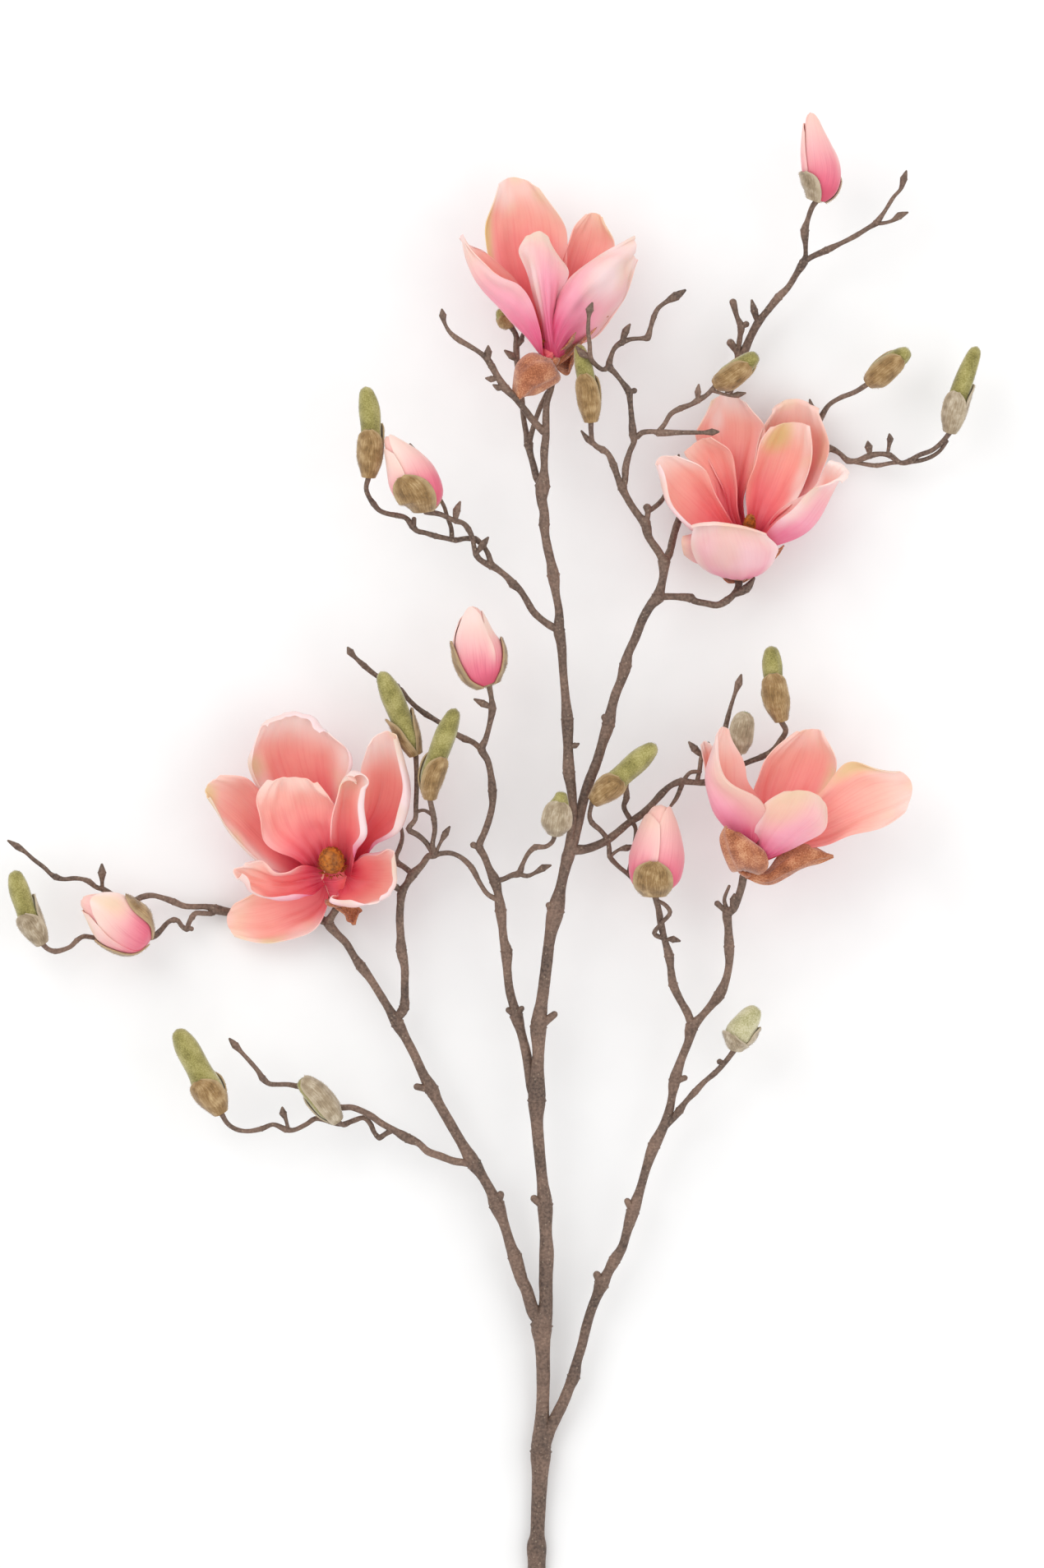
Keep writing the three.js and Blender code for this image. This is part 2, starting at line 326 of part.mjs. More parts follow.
// Short spurs, leaf scars and small side buds on the twigs.
const SPURS = [
  [[331.5, 735, 25, 6], [324.5, 729.5, 27, 4.6]],
  [[327.5, 625, 37.5, 6], [337.5, 617, 40, 4.2]],
  [[338, 554, 46, 6], [333.5, 550.5, 48, 4]],
  [[345.5, 454, 55, 3], [350, 453.5, 56, 3.6], [352, 452.5, 56, 1.4]],
  [[370, 441, 48, 5], [367.5, 436, 49, 4.2]],
  [[302, 733.5, 23, 6], [304.5, 727, 26, 4.6]],
  [[262.5, 663.5, 24, 5.4], [253, 661.5, 26, 4]],
  [[314, 618, 31, 5], [309, 614.5, 33, 3.6]],
  [[314, 618, 31, 5], [317.5, 613.5, 33, 3.4]],
  [[291.5, 515.5, 41, 3.6], [287.5, 514, 42, 4]],
  [[366, 782.5, 19.5, 6], [363, 776, 22, 4.6]],
  [[385, 738, 24, 5], [381.5, 731, 27, 4]],
  [[410.5, 658, 31, 4.6], [417, 656, 33, 3.6]],
  [[442.5, 555.5, 47, 3], [436, 549.5, 49, 3.8]],
  [[446, 553, 49, 4], [446.5, 547, 51, 5.2], [446.5, 544, 52, 1.6]],
  [[440.5, 647, 37, 2.6], [437.5, 646, 38, 3.6]],
  [[244.5, 542.5, 30, 2.4], [240.5, 539.5, 31, 4], [239.5, 536.5, 31, 1.4]],
  [[265, 519, 40, 2.4], [268, 512.5, 43, 2.2], [271, 507, 44, 4], [273.5, 503, 45, 1.4]],
  [[299, 430.5, 57, 2.4], [293.5, 428, 58, 4.4], [288.5, 425.5, 58, 1.4]],
  [[243.5, 421, 37, 2.4], [241, 417.5, 38, 4.4], [239, 415, 39, 1.4]],
  [[175, 687, 31, 2.4], [173.5, 681, 33, 2.4], [172, 677.5, 34, 4.6], [171.5, 674, 35, 1.4]],
  [[61.5, 541, 23, 2.4], [61.5, 536, 26, 2.6], [61.5, 531, 28, 5], [61.5, 526, 30, 1.6]],
  [[112.5, 564.5, 15, 2.6], [116, 565.5, 17, 3]],
  [[314.5, 219, 34, 2.2], [311, 216, 35, 4.5], [307, 213, 36, 1.5]],
  [[314, 211, 33, 2.2], [317, 206.5, 34, 3.6], [318.5, 201, 35, 1.2]],
  [[297, 221, 77, 2.4], [297, 215, 78, 4.4], [297, 211.5, 78, 1.2]],
  [[303, 231, 74, 2.2], [298.5, 231.5, 75, 3.8], [295.5, 231, 75, 1.2]],
  [[307, 236.5, 72, 2.2], [303, 236.5, 73, 4], [300, 235, 73, 1.2]],
  [[445, 362.5, 32, 2.6], [454, 358, 32, 5.4], [459, 351.5, 33, 1.6]],
  [[532, 136, 49, 3], [536.5, 136, 49.5, 2.4], [542.5, 134.5, 50, 2.4], [547, 131.5, 50.5, 4.4],
    [552, 129.5, 51, 1.2]],
  [[461, 195, 25, 2.6], [459, 188, 27, 4.4], [457.5, 182, 28, 1.4]],
  [[449.5, 217.5, 17, 4.6], [449, 214, 19, 4.2], [444.5, 207.5, 22, 5]],
  [[449, 214, 19, 3.6], [450.5, 204, 23, 3.4], [451, 198, 26, 4.6], [448.5, 192, 28, 3.2],
    [446, 183, 31, 4.6]],
  [[451, 198, 26, 3], [454.5, 196.5, 27, 4]],
  [[530, 276.5, 17, 2.4], [529, 271, 18, 4.6], [528.5, 268, 18.5, 1.4]],
  [[540.5, 276, 20, 2], [541.5, 270, 22, 2.6], [542, 266.5, 23, 4], [541.5, 263.5, 24, 1.2]],
  [[499, 253.5, 18, 2.4], [494.5, 247.5, 21, 3.8], [493, 242.5, 23, 1.2]],
  [[393, 318.5, 46, 4], [394, 312, 48, 3.6], [393.5, 308.5, 49, 5]],
  [[393.5, 312, 47, 3], [402, 305, 42, 3], [407.5, 295, 36, 2.8], [411.5, 285, 32, 2.6],
    [413, 276.5, 30, 1.6]],
  [[365.5, 273.5, 57, 2.2], [357.5, 267.5, 57, 3.8], [353.5, 262.5, 57, 1.2]],
  [[378, 209, 62, 2.4], [380.5, 202, 63, 4.4], [383, 198, 64, 1.4]],
  [[382.5, 239, 58, 3], [386, 238, 59, 3.4]],
  [[359.3, 218.5, 74, 2.2], [354, 216, 75, 4.4], [350.5, 212, 76, 1.4]],
  [[424.5, 243.5, 44, 2.2], [424.5, 238.5, 45, 3.8], [425, 234, 46, 1.2]],
  [[433, 237.5, 41, 2.2], [444, 240.5, 41, 2], [449, 240, 41, 3.8], [453.5, 239, 41, 1.2]],
  [[252, 322, 65, 2.6], [252, 316, 66, 3.2]],
  [[277, 317.5, 73, 2.4], [278, 311, 74, 4.6], [280, 306, 75, 1.4]],
  [[290, 337, 68.5, 2.2], [294, 331.5, 69.5, 4.4], [297, 327.5, 70, 1.4]],
  [[427, 460, 42, 2.2], [422.5, 455.5, 43, 4.8], [419, 451.5, 44, 1.4]],
];

// ---------------------------------------------------------------- petals, bracts and buds

// A petal or bract springs from its bloom's heart or foot. It is given by its left edge, its middle
// and its right edge, as seen from inside the bloom, each a line of [across, down, height] places.
const BLOOMS = {
  top_bloom: {
    base: [336, 221, 61], heart: [333, 216.5, 62], core: 5,
    petals: [
      {
        left: [[315, 186, 54], [299, 157, 50], [295, 136, 48], [302, 116.5, 52]],
        middle: [[324, 184, 46], [320, 150, 40], [318, 131, 40], [313, 108, 47]],
        right: [[334, 181, 54], [343.5, 159, 50], [344, 141.5, 48], [333.5, 118.5, 51]],
      },
      {
        left: [[339, 184, 54], [342.5, 159, 50], [347.5, 141.5, 48], [354, 133, 49]],
        middle: [[346.5, 183, 47], [353.5, 162.5, 42], [359, 145, 41], [361.5, 129.5, 46]],
        right: [[354, 184, 54], [366.5, 165, 50], [374, 149, 48], [369, 135, 49]],
      },
      {
        left: [[326, 200, 76], [313, 176, 80], [299, 165.5, 79], [281, 143, 68]],
        middle: [[320.5, 206, 67], [304, 188.5, 68], [288, 168.5, 68], [280.5, 144.5, 66]],
        right: [[322.5, 196, 58], [311, 170, 55], [295, 154, 57], [282, 145.5, 64]],
      },
      {
        left: [[336.5, 196, 70], [340.5, 177, 70], [345, 166.5, 69], [336, 150, 66]],
        middle: [[332.5, 195, 78], [330, 172.5, 81], [328.5, 155, 80], [328, 142.5, 73]],
        right: [[328.5, 193, 70], [323, 175, 71], [317, 157, 71], [316, 148, 68]],
      },
      {
        left: [[345.5, 206, 66], [360, 193, 65], [377, 177, 65], [384.5, 160.5, 67]],
        middle: [[341, 198, 76], [351.5, 181.5, 81], [367.5, 164, 82], [386, 151.5, 74]],
        right: [[336.5, 193, 71], [342, 181, 74], [354, 166, 77], [387, 143, 77]],
      },
      {
        left: [[331, 192.5, 44], [327.5, 170, 37], [328.5, 152.5, 34], [333, 141, 35]],
        middle: [[336, 192.5, 39], [337.5, 169, 29], [338.5, 151.5, 27], [339, 137, 31]],
        right: [[342, 192.5, 44], [348, 174, 38], [349.5, 157.5, 36], [345, 149, 36]],
      },
    ],
    bracts: [
      {
        left: [[334, 219, 66], [322.5, 217, 69], [313, 223.5, 68], [311, 234, 63]],
        middle: [[336.5, 224.5, 72], [328, 227.5, 78], [320, 232.5, 78], [314.5, 242.5, 70]],
        right: [[340, 230, 64], [333.5, 236.5, 66], [326, 239.5, 66], [318.5, 242.5, 65]],
      },
      {
        left: [[345, 211, 63], [353, 199.5, 63], [362, 191.5, 61], [368.5, 190.5, 59]],
        middle: [[347, 213, 57], [355.5, 202.5, 56], [364, 195, 55], [370, 192, 57.5]],
        right: [[349, 214.5, 61], [357.5, 204.5, 61], [365.5, 196.5, 59], [369.5, 194, 59]],
      },
      {
        left: [[341, 220, 54], [344.5, 214, 51], [347, 209, 50]],
        middle: [[345, 223, 53], [348.5, 217, 49], [349.5, 210, 48]],
        right: [[345, 227.5, 58], [347.5, 222, 58], [348, 215, 57]],
      },
    ],
    centre: { foot: [332.7, 213, 62.3], tip: [332, 192, 63], radius: 3, stamenCount: 3 },
  },
  left_bloom: {
    base: [205, 548, 22], heart: [203, 533, 29], core: 8,
    petals: [
      {
        left: [[183, 504, 32], [161, 482.5, 37], [150, 462.5, 44], [155.5, 444.5, 51]],
        middle: [[194, 501, 25], [183, 475, 25], [177, 452.5, 32], [180, 432.5, 48]],
        right: [[203, 500, 31], [210, 480, 37], [215.5, 464, 45], [203, 448, 52]],
      },
      {
        left: [[181, 521, 39], [162, 510, 47], [156, 491.5, 55], [160.5, 477.5, 59]],
        middle: [[192, 515, 34], [184, 501, 39], [180, 486, 46], [177.5, 472.5, 55]],
        right: [[200.5, 512, 38], [203, 500, 46], [203.5, 488, 54], [198, 477.5, 58]],
      },
      {
        left: [[175, 531, 30], [155, 522.5, 35], [138.5, 506, 42], [128, 489, 51]],
        middle: [[176, 518.5, 25], [159, 503, 27], [142.5, 487.5, 35], [126, 478, 49]],
        right: [[178, 508, 30], [163, 487.5, 36], [151.5, 474, 45], [138, 471.5, 52]],
      },
      {
        left: [[186, 543, 34], [168.5, 546, 40], [153, 541, 47], [145.5, 535, 53]],
        middle: [[185, 536.5, 29], [170, 538.5, 33], [156, 534, 42], [143.5, 530, 52]],
        right: [[185, 530, 34], [172.5, 532, 40], [161, 528.5, 47], [151.5, 524, 54]],
      },
      {
        left: [[197, 553, 21], [187, 566, 22], [167, 574.5, 21], [145, 572, 20]],
        middle: [[193, 547, 16], [176, 555, 12], [156, 560.5, 12], [137.5, 560, 17]],
        right: [[189, 541, 21], [173, 543, 22], [156, 544, 20], [144.5, 547, 19]],
      },
      {
        left: [[217, 526, 34], [224, 520.5, 40], [233, 517, 48], [238.5, 515.5, 57]],
        middle: [[216.5, 536.5, 26], [224.5, 539, 28], [233, 540, 37], [241.5, 539, 51]],
        right: [[207, 544, 31], [201, 549.5, 39], [211, 552.5, 46], [229, 550, 52]],
      },
      {
        left: [[215.5, 510, 34], [221.5, 492.5, 38], [220.5, 472.5, 45], [220, 457.5, 55]],
        middle: [[222, 508, 28], [233.5, 489, 30], [237, 467.5, 41], [233.5, 445.5, 61]],
        right: [[227, 515, 37], [246, 506, 48], [252.5, 484, 58], [244, 452.5, 66]],
      },
      {
        left: [[203.5, 516, 41], [202.5, 502.5, 51], [205.5, 487.5, 57], [207.5, 474, 63]],
        middle: [[209.5, 518, 37], [210, 502.5, 44], [211, 486, 50], [215, 466.5, 61]],
        right: [[215, 519, 47], [223, 506, 60], [222, 487.5, 66], [224, 473, 66]],
      },
    ],
    bracts: [
      {
        left: [[205, 553, 22], [210, 558, 23], [213.5, 562, 24]],
        middle: [[211, 552.5, 20], [213.5, 557, 20], [214.5, 563, 23]],
        right: [[218.5, 553.5, 22], [218.5, 556, 23], [215.5, 562, 24]],
      },
      {
        left: [[199, 540, 15], [194, 531, 13], [192, 522.5, 14]],
        middle: [[195, 538, 13], [189, 528, 11], [187, 518, 13]],
        right: [[192, 540, 15], [185, 532, 13], [183, 523, 14]],
      },
    ],
    centre: { foot: [202.5, 529, 32], tip: [201, 519, 50], radius: 6.5, stamenCount: 8 },
  },
  upper_right_bloom: {
    base: [449.5, 350, 25], heart: [454, 332, 32], core: 5.5,
    petals: [
      {
        left: [[442, 301, 28], [433, 280, 25], [422.5, 263, 25], [431, 248.5, 30]],
        middle: [[446.5, 300, 22], [445, 280, 15], [444, 259, 14], [442.5, 239, 24]],
        right: [[451.5, 302, 28], [459.5, 282.5, 25], [465, 262, 26], [458.5, 247.5, 30]],
      },
      {
        left: [[456, 312, 34], [456, 294, 32], [460.5, 276, 32], [466, 262, 36]],
        middle: [[463, 311, 28], [470, 293, 22], [476.5, 275, 20], [481.5, 256.5, 30]],
        right: [[471, 314, 34], [484, 301, 34], [493.5, 283, 34], [496, 260.5, 38]],
      },
      {
        left: [[458, 307.5, 26], [459, 285, 24], [462, 267.5, 24], [467, 253.5, 28]],
        middle: [[466, 306, 20], [476.5, 282.5, 13], [481.5, 262.5, 12], [484, 242.5, 21]],
        right: [[475, 307.5, 26], [495, 294, 25], [505, 274, 25], [499.5, 253, 29]],
      },
      {
        left: [[434, 324, 42], [419, 323, 51], [405.5, 309, 56], [399, 286, 60]],
        middle: [[438, 318, 35], [427.5, 306, 38], [414, 292, 46], [402, 278.5, 58]],
        right: [[443, 316, 40], [436, 302.5, 46], [429.5, 288, 54], [417, 278.5, 60]],
      },
      {
        left: [[436, 311, 34], [433, 297.5, 34], [424, 283, 35], [414.5, 277, 38]],
        middle: [[442, 308, 29], [439, 292.5, 26], [432, 277.5, 26], [425, 268, 32]],
        right: [[448, 310, 34], [447.5, 292.5, 34], [443.5, 274.5, 35], [435, 265.5, 38]],
      },
      {
        left: [[458.5, 350, 30], [468.5, 343, 38], [473.5, 335, 46], [469, 327, 54]],
        middle: [[450, 352, 36], [448.5, 346, 52], [445.5, 335, 65], [440, 318, 73]],
        right: [[440, 350, 32], [428, 344, 44], [420.5, 334, 52], [420, 320.5, 59]],
      },
      {
        left: [[468, 321, 34], [485, 306, 36], [497.5, 293, 42], [501.5, 280, 50]],
        middle: [[470, 332, 39], [491, 323, 43], [504, 306, 47], [512.5, 285, 57]],
        right: [[467.5, 326, 48], [481, 314, 56], [494, 298.5, 61], [506.5, 292, 63]],
      },
      {
        left: [[436, 332, 34], [425, 325, 41], [416, 325, 47]],
        middle: [[436, 337, 40], [425, 333, 47], [414.5, 331, 50]],
        right: [[438, 346, 31], [427, 343, 35], [417, 340, 41]],
      },
    ],
    bracts: [
      {
        left: [[457, 345, 26], [468, 337, 28], [478.5, 330, 33]],
        middle: [[456, 349, 21], [467, 343, 24], [475.5, 334.5, 29]],
        right: [[454, 353, 24], [464, 347, 26], [472, 338, 30]],
      },
      {
        left: [[443, 353, 24], [438, 349.5, 24], [433, 345.5, 24]],
        middle: [[441, 348, 18], [434, 343, 16], [429, 337, 16]],
        right: [[444, 344, 22], [439, 337, 20], [434, 331, 20]],
      },
    ],
    centre: { foot: [454.8, 328, 34], tip: [456.5, 314, 44], radius: 3, stamenCount: 3 },
  },
  right_bloom: {
    base: [452.5, 530, 58], heart: [459.5, 520, 61], core: 5,
    petals: [
      {
        left: [[460.5, 503, 72], [457, 485, 80], [440, 474, 82], [434.5, 450.5, 71]],
        middle: [[444, 507, 62], [433, 491, 65], [429.5, 469, 65], [439, 442.5, 64]],
        right: [[459, 500, 54], [454.5, 481, 52], [453, 465, 52], [444, 446, 58]],
      },
      {
        left: [[460.5, 500, 50], [459, 482.5, 48], [463, 466, 50], [478.5, 448.5, 54]],
        middle: [[470, 500, 45], [478, 480, 40], [485.5, 461, 41], [493, 443.5, 50]],
        right: [[481, 500, 52], [500, 485, 52], [509, 465, 54], [504.5, 447, 56]],
      },
      {
        left: [[473, 519, 65], [487, 513, 71], [500, 505.5, 75], [504, 495.5, 75]],
        middle: [[466.5, 517, 69], [477, 505, 81], [488.5, 493, 85], [493, 482, 81]],
        right: [[461, 515, 66], [460.5, 503, 73], [463, 490.5, 77], [471, 483.5, 77]],
      },
      {
        left: [[480, 500, 58], [501, 481.5, 62], [515.5, 464.5, 67], [538.5, 467.5, 69]],
        middle: [[483, 510, 55], [505, 497.5, 57], [530, 485, 60], [554, 477.5, 63]],
        right: [[483, 516, 58], [505, 513, 62], [526, 505.5, 65], [545.5, 502, 67]],
      },
      {
        left: [[442.5, 500, 52], [432, 480, 49], [427.5, 463.5, 48], [427, 454, 49]],
        middle: [[446, 498, 48], [436.5, 476, 44], [431.5, 461, 44], [428.5, 451, 47]],
        right: [[451, 496, 50], [443.5, 474, 47], [437, 458.5, 47], [433, 453, 49]],
      },
      {
        left: [[475, 500, 41], [487.5, 483, 38], [492.5, 473, 40], [498, 468, 43]],
        middle: [[479, 503, 37], [492.5, 490.5, 30], [500, 480.5, 32], [505, 474, 37]],
        right: [[483, 508, 41], [500, 500.5, 38], [507.5, 490.5, 40], [508.5, 481, 43]],
      },
    ],
    bracts: [
      {
        left: [[461, 531, 64], [465.5, 524.5, 68], [464, 516.5, 70], [454, 509, 71]],
        middle: [[454, 528, 70], [451.5, 520, 76], [448, 511.5, 78], [443.5, 504.5, 76]],
        right: [[446.5, 529.5, 62], [441, 522.5, 66], [438.5, 511, 68], [439.5, 501, 70]],
      },
      {
        left: [[466, 537.5, 58], [479, 532.5, 58], [492.5, 527, 58], [506.5, 521.5, 59]],
        middle: [[466, 534, 62], [478, 526.5, 64], [492, 520.5, 64], [506.5, 520.75, 60]],
        right: [[465, 530.5, 58], [475, 520.5, 58], [488, 513, 58], [506, 519.5, 59]],
      },
    ],
    centre: { foot: [461.3, 517.3, 61.5], tip: [469, 503, 64], radius: 3, stamenCount: 3 },
  },
};

// Closed pink buds, from foot to tip, each with the furry scales that hug its foot. A scale stands
// on the side `turn` (degrees about the bud, 0 faces up from the table) and reaches `length` up it.
const PINK_BUDS = {
  pink_bud_top: {
    body: [[496.5, 122, 51.5, 9], [499, 114, 53, 20], [499.5, 104, 55, 22], [496.5, 92, 57, 17.5],
      [494, 80, 58, 11], [492.5, 69, 59, 5]],
    scales: [{ turn: -55, length: 21 }, { turn: 145, length: 16 }],
  },
  pink_bud_upper_left: {
    body: [[258, 311.5, 77, 9], [257, 303, 78, 25], [251.5, 293, 79, 28], [245.5, 282, 80, 21],
      [239.5, 273, 81, 11.5], [235, 266.5, 81, 4]],
    scales: [{ turn: -20, length: 26 }, { turn: 165, length: 22 }],
  },
  pink_bud_centre_left: {
    body: [[297, 417, 60.5, 11], [294.5, 410, 61, 24], [292, 400, 61.5, 29], [289, 389, 62, 24],
      [288, 378, 62, 15.5], [287.5, 369, 62, 7]],
    scales: [{ turn: -85, length: 30 }, { turn: 95, length: 26 }],
  },
  pink_bud_far_left: {
    body: [[90, 570.5, 34.5, 10], [83, 567.5, 37.5, 28], [73, 562, 40, 31], [63, 555, 42, 25],
      [55, 550.5, 43, 14], [49, 548, 43, 5]],
    scales: [{ turn: 75, length: 28 }, { turn: -95, length: 26 }],
  },
  pink_bud_low_right: {
    body: [[398, 544.5, 54, 11], [398, 536, 55, 28], [399, 524, 56, 32], [400, 511, 57, 27],
      [401, 499, 57.5, 19], [402, 489.5, 58, 9]],
    ease: 1.06,
    scales: [{ turn: -5, length: 22 }, { turn: 170, length: 18 }],
  },
};

// Green winter buds: a furry horn from foot to tip, its foot held by two brown furry scales.
const GREEN_BUDS = {
  bud_beside_top: {
    body: [[359.4, 257, 63, 5], [358.5, 245, 65, 11], [356.5, 232, 67, 10.5], [354.5, 222, 68, 8.5],
      [351.5, 210, 69, 4]],
    scales: [{ turn: -10, length: 30 }, { turn: 140, length: 27 }],
  },
  bud_above_bloom: {
    body: [[435.5, 234, 41, 5], [442, 230, 43.5, 13], [450, 224, 45.5, 12], [456.5, 219, 47, 8.5],
      [461, 216, 48, 4]],
    scales: [{ turn: 20, length: 25 }, { turn: 170, length: 28 }],
  },
  bud_right: {
    body: [[528.5, 232.5, 34, 5], [534, 228, 36.5, 13], [542, 221, 38.5, 12.5], [549, 216, 40.5, 8.5],
      [553.5, 213, 41.5, 4]],
    scales: [{ turn: 15, length: 27 }, { turn: 180, length: 27 }],
  },
  bud_far_right: {
    body: [[578, 262.5, 34, 5], [580.5, 252, 36.5, 12], [583.5, 240, 38.5, 11.5], [588, 227, 41, 9],
      [594.5, 210.5, 43, 5]],
    scales: [{ turn: -15, length: 26 }, { turn: 110, length: 32 }],
  },
  bud_upper_left: {
    body: [[224.5, 291, 72.5, 5], [225.5, 278, 74, 12.5], [226, 264, 76, 11.5], [225, 250, 78, 10.5],
      [222.5, 236, 79, 5]],
    scales: [{ turn: -10, length: 30 }, { turn: 130, length: 32 }],
  },
  bud_slim_left: {
    body: [[253, 459, 50, 5], [249, 449, 52, 12], [244, 437, 54, 12.5], [238, 422.5, 57, 11],
      [231.5, 408.5, 59, 5]],
    scales: [{ turn: -80, length: 27 }, { turn: 100, length: 27 }],
  },
  bud_centre_left: {
    body: [[261.5, 485.5, 59, 5], [262, 474, 63, 12], [266, 461, 66, 12], [271.5, 446, 69, 10.5],
      [277.5, 431, 72, 5]],
    scales: [{ turn: 25, length: 29 }, { turn: -150, length: 27 }],
  },
  bud_round: {
    body: [[337.5, 507, 64, 6], [338.5, 500, 66.5, 16], [339.5, 493, 67.5, 14], [341, 486, 68, 7.5],
      [341.5, 481.5, 68, 4]],
    scales: [{ turn: 0, length: 20 }, { turn: 180, length: 20 }],
  },
  bud_broad: {
    body: [[360.5, 487.5, 62, 5], [369, 480, 64.5, 12.5], [379, 471, 66.5, 12.5], [389, 462, 68.5, 11],
      [399, 453, 70, 5]],
    scales: [{ turn: 10, length: 23 }, { turn: 170, length: 24 }],
  },
  bud_above_right: {
    body: [[475.3, 438.5, 45, 5], [472.5, 427, 47, 12.5], [470.5, 415, 49, 11], [469.5, 404, 51, 10],
      [469, 393, 52, 5]],
    scales: [{ turn: 0, length: 31 }, { turn: -120, length: 20 }],
  },
  bud_grey_right: {
    body: [[450, 457.5, 39, 5], [450.5, 449, 41.5, 12], [452, 440, 43.5, 10.5], [454, 433, 44.5, 4.5]],
    scales: [{ turn: 0, length: 25 }, { turn: 180, length: 24 }],
  },
  bud_low_right: {
    body: [[447, 638, 41.5, 6], [449.5, 630, 44, 17], [454, 622, 46, 14.5], [458, 616.5, 47, 9.5],
      [461, 613, 47.5, 4]],
    scales: [{ turn: -25, length: 10 }, { turn: 95, length: 20 }],
  },
  bud_far_left: {
    body: [[25.3, 574, 33.5, 5], [20, 564, 36, 12.5], [15, 552, 38, 12], [11, 540, 40, 10],
      [8.5, 529.5, 41, 5]],
    scales: [{ turn: -20, length: 22 }, { turn: 110, length: 30 }],
  },
  bud_lower_left: {
    body: [[134.3, 677, 41.5, 6], [128, 665, 44, 17], [121, 651, 46, 14.5], [113.5, 637, 48, 12],
      [107.5, 626, 49.5, 5.5]],
    scales: [{ turn: -20, length: 25 }, { turn: 150, length: 24 }],
  },
  bud_grey_left: {
    body: [[205.2, 682, 37.5, 5], [199.5, 675, 40, 12.5], [192, 666, 42, 12.5], [186, 660.5, 43, 8.5],
      [182, 657, 43.5, 4]],
    scales: [{ turn: 30, length: 34 }, { turn: -150, length: 26 }],
  },
  bud_behind_top: {
    body: [[310.5, 198, 35, 4], [308, 194.5, 35.5, 9], [305.5, 190.5, 36.5, 7.5],
      [303.5, 187.5, 37, 3]],
    scales: [{ turn: 0, length: 9 }, { turn: 180, length: 9 }],
  },
};

// ---------------------------------------------------------------- colours

const BARK = new THREE.MeshStandardMaterial({ color: '#6f5c4e', roughness: 0.85, metalness: 0 });
const PETAL = new THREE.MeshStandardMaterial({ color: '#f39a92', roughness: 0.55, metalness: 0 });
const BUD_PETAL = new THREE.MeshStandardMaterial({ color: '#eda0a0', roughness: 0.55, metalness: 0 });
const BRACT = new THREE.MeshStandardMaterial({ color: '#b0835f', roughness: 0.8, metalness: 0 });
const CONE = new THREE.MeshStandardMaterial({ color: '#9a6a2a', roughness: 0.7, metalness: 0 });
const HORN = new THREE.MeshStandardMaterial({ color: '#9c9c62', roughness: 0.95, metalness: 0 });
const SCALE = new THREE.MeshStandardMaterial({ color: '#9b8263', roughness: 0.9, metalness: 0 });

// ---------------------------------------------------------------- solids

/** The place in the frame of a point on the sheet. */
const place = ([across, down, height]) =>
  new THREE.Vector3(across - SHEET_CENTRE.across, SHEET_CENTRE.down - down, height);

/** The same the other way round, with a thickness, as a point of a route. */
const fromFrame = ({ x, y, z }, thickness) =>
  [x + SHEET_CENTRE.across, SHEET_CENTRE.down - y, z, thickness];

/** Turns a closed geometry into a solid that can be joined and cut. */
function toSolid(geometry) {
  geometry.deleteAttribute('normal');
  geometry.deleteAttribute('uv');
  const merged = mergeVertices(geometry, 1e-4);
  const vertProperties = new Float32Array(merged.attributes.position.array);
  const triVerts = new Uint32Array(merged.index.array);
  return new manifold.Manifold(new manifold.Mesh({ numProp: 3, vertProperties, triVerts }));
}

/** The solid as a named mesh. Scraps that a cut leaves loose are dropped. */
function toMesh(name, solid, material) {
  const parts = solid.decompose().sort((a, b) => b.volume() - a.volume());
  const { numProp, vertProperties, triVerts } = parts[0].getMesh();
  const geometry = new THREE.BufferGeometry();
  const positions = new THREE.InterleavedBufferAttribute(
    new THREE.InterleavedBuffer(vertProperties, numProp), 3, 0);
  geometry.setAttribute('position', positions);
  geometry.setIndex(new THREE.BufferAttribute(triVerts, 1));
  const mesh = new THREE.Mesh(geometry, material);
  mesh.name = name;
  return mesh;
}

const joined = (solids) => solids.reduce((whole, solid) => whole.add(solid));

/** The route's points with every left-out height and thickness filled in, evenly between neighbours. */
function filled(route) {
  return route.map((point, index) => [0, 1, 2, 3].map((column) => {
    const before = route.slice(0, index + 1).findLastIndex((p) => p[column] !== undefined);
    const after = route.findIndex((p, k) => k >= index && p[column] !== undefined);
    const share = after === before ? 0 : (index - before) / (after - before);
    return route[before][column] * (1 - share) + route[after][column] * share;
  }));
}

/** The points of a route that it needs to stay within `slack` mm of its path and its thickness. */
function thinned(points, slack) {
  const [first, last] = [points[0], points[points.length - 1]];
  const run = last.map((value, k) => value - first[k]);
  const square = run.reduce((sum, value) => sum + value * value, 0);
  const strays = points.map((point) => {
    const share = point.reduce((sum, value, k) => sum + (value - first[k]) * run[k], 0) / square;
    return Math.hypot(...point.map((value, k) => value - first[k] - share * run[k]));
  });
  const worst = strays.indexOf(Math.max(...strays));
  if (strays[worst] <= slack) return [first, last];
  return [...thinned(points.slice(0, worst + 1), slack), ...thinned(points.slice(worst), slack).slice(1)];
}

/** Directions along and across a line of places, turned as little as possible from one to the next. */
function framesAlong(places) {
  const along = places.map((_, i) => {
    const from = places[Math.max(i - 1, 0)];
    const to = places[Math.min(i + 1, places.length - 1)];
    return to.clone().sub(from).normalize();
  });
  const side = along[0].clone().cross(new THREE.Vector3(0, 0, 1));
  if (side.length() < 0.1) side.set(1, 0, 0);
  return along.map((direction) => {
    side.addScaledVector(direction, -side.dot(direction)).normalize();
    const across = side.clone();
    return { direction, across, up: across.clone().cross(direction) };
  });
}

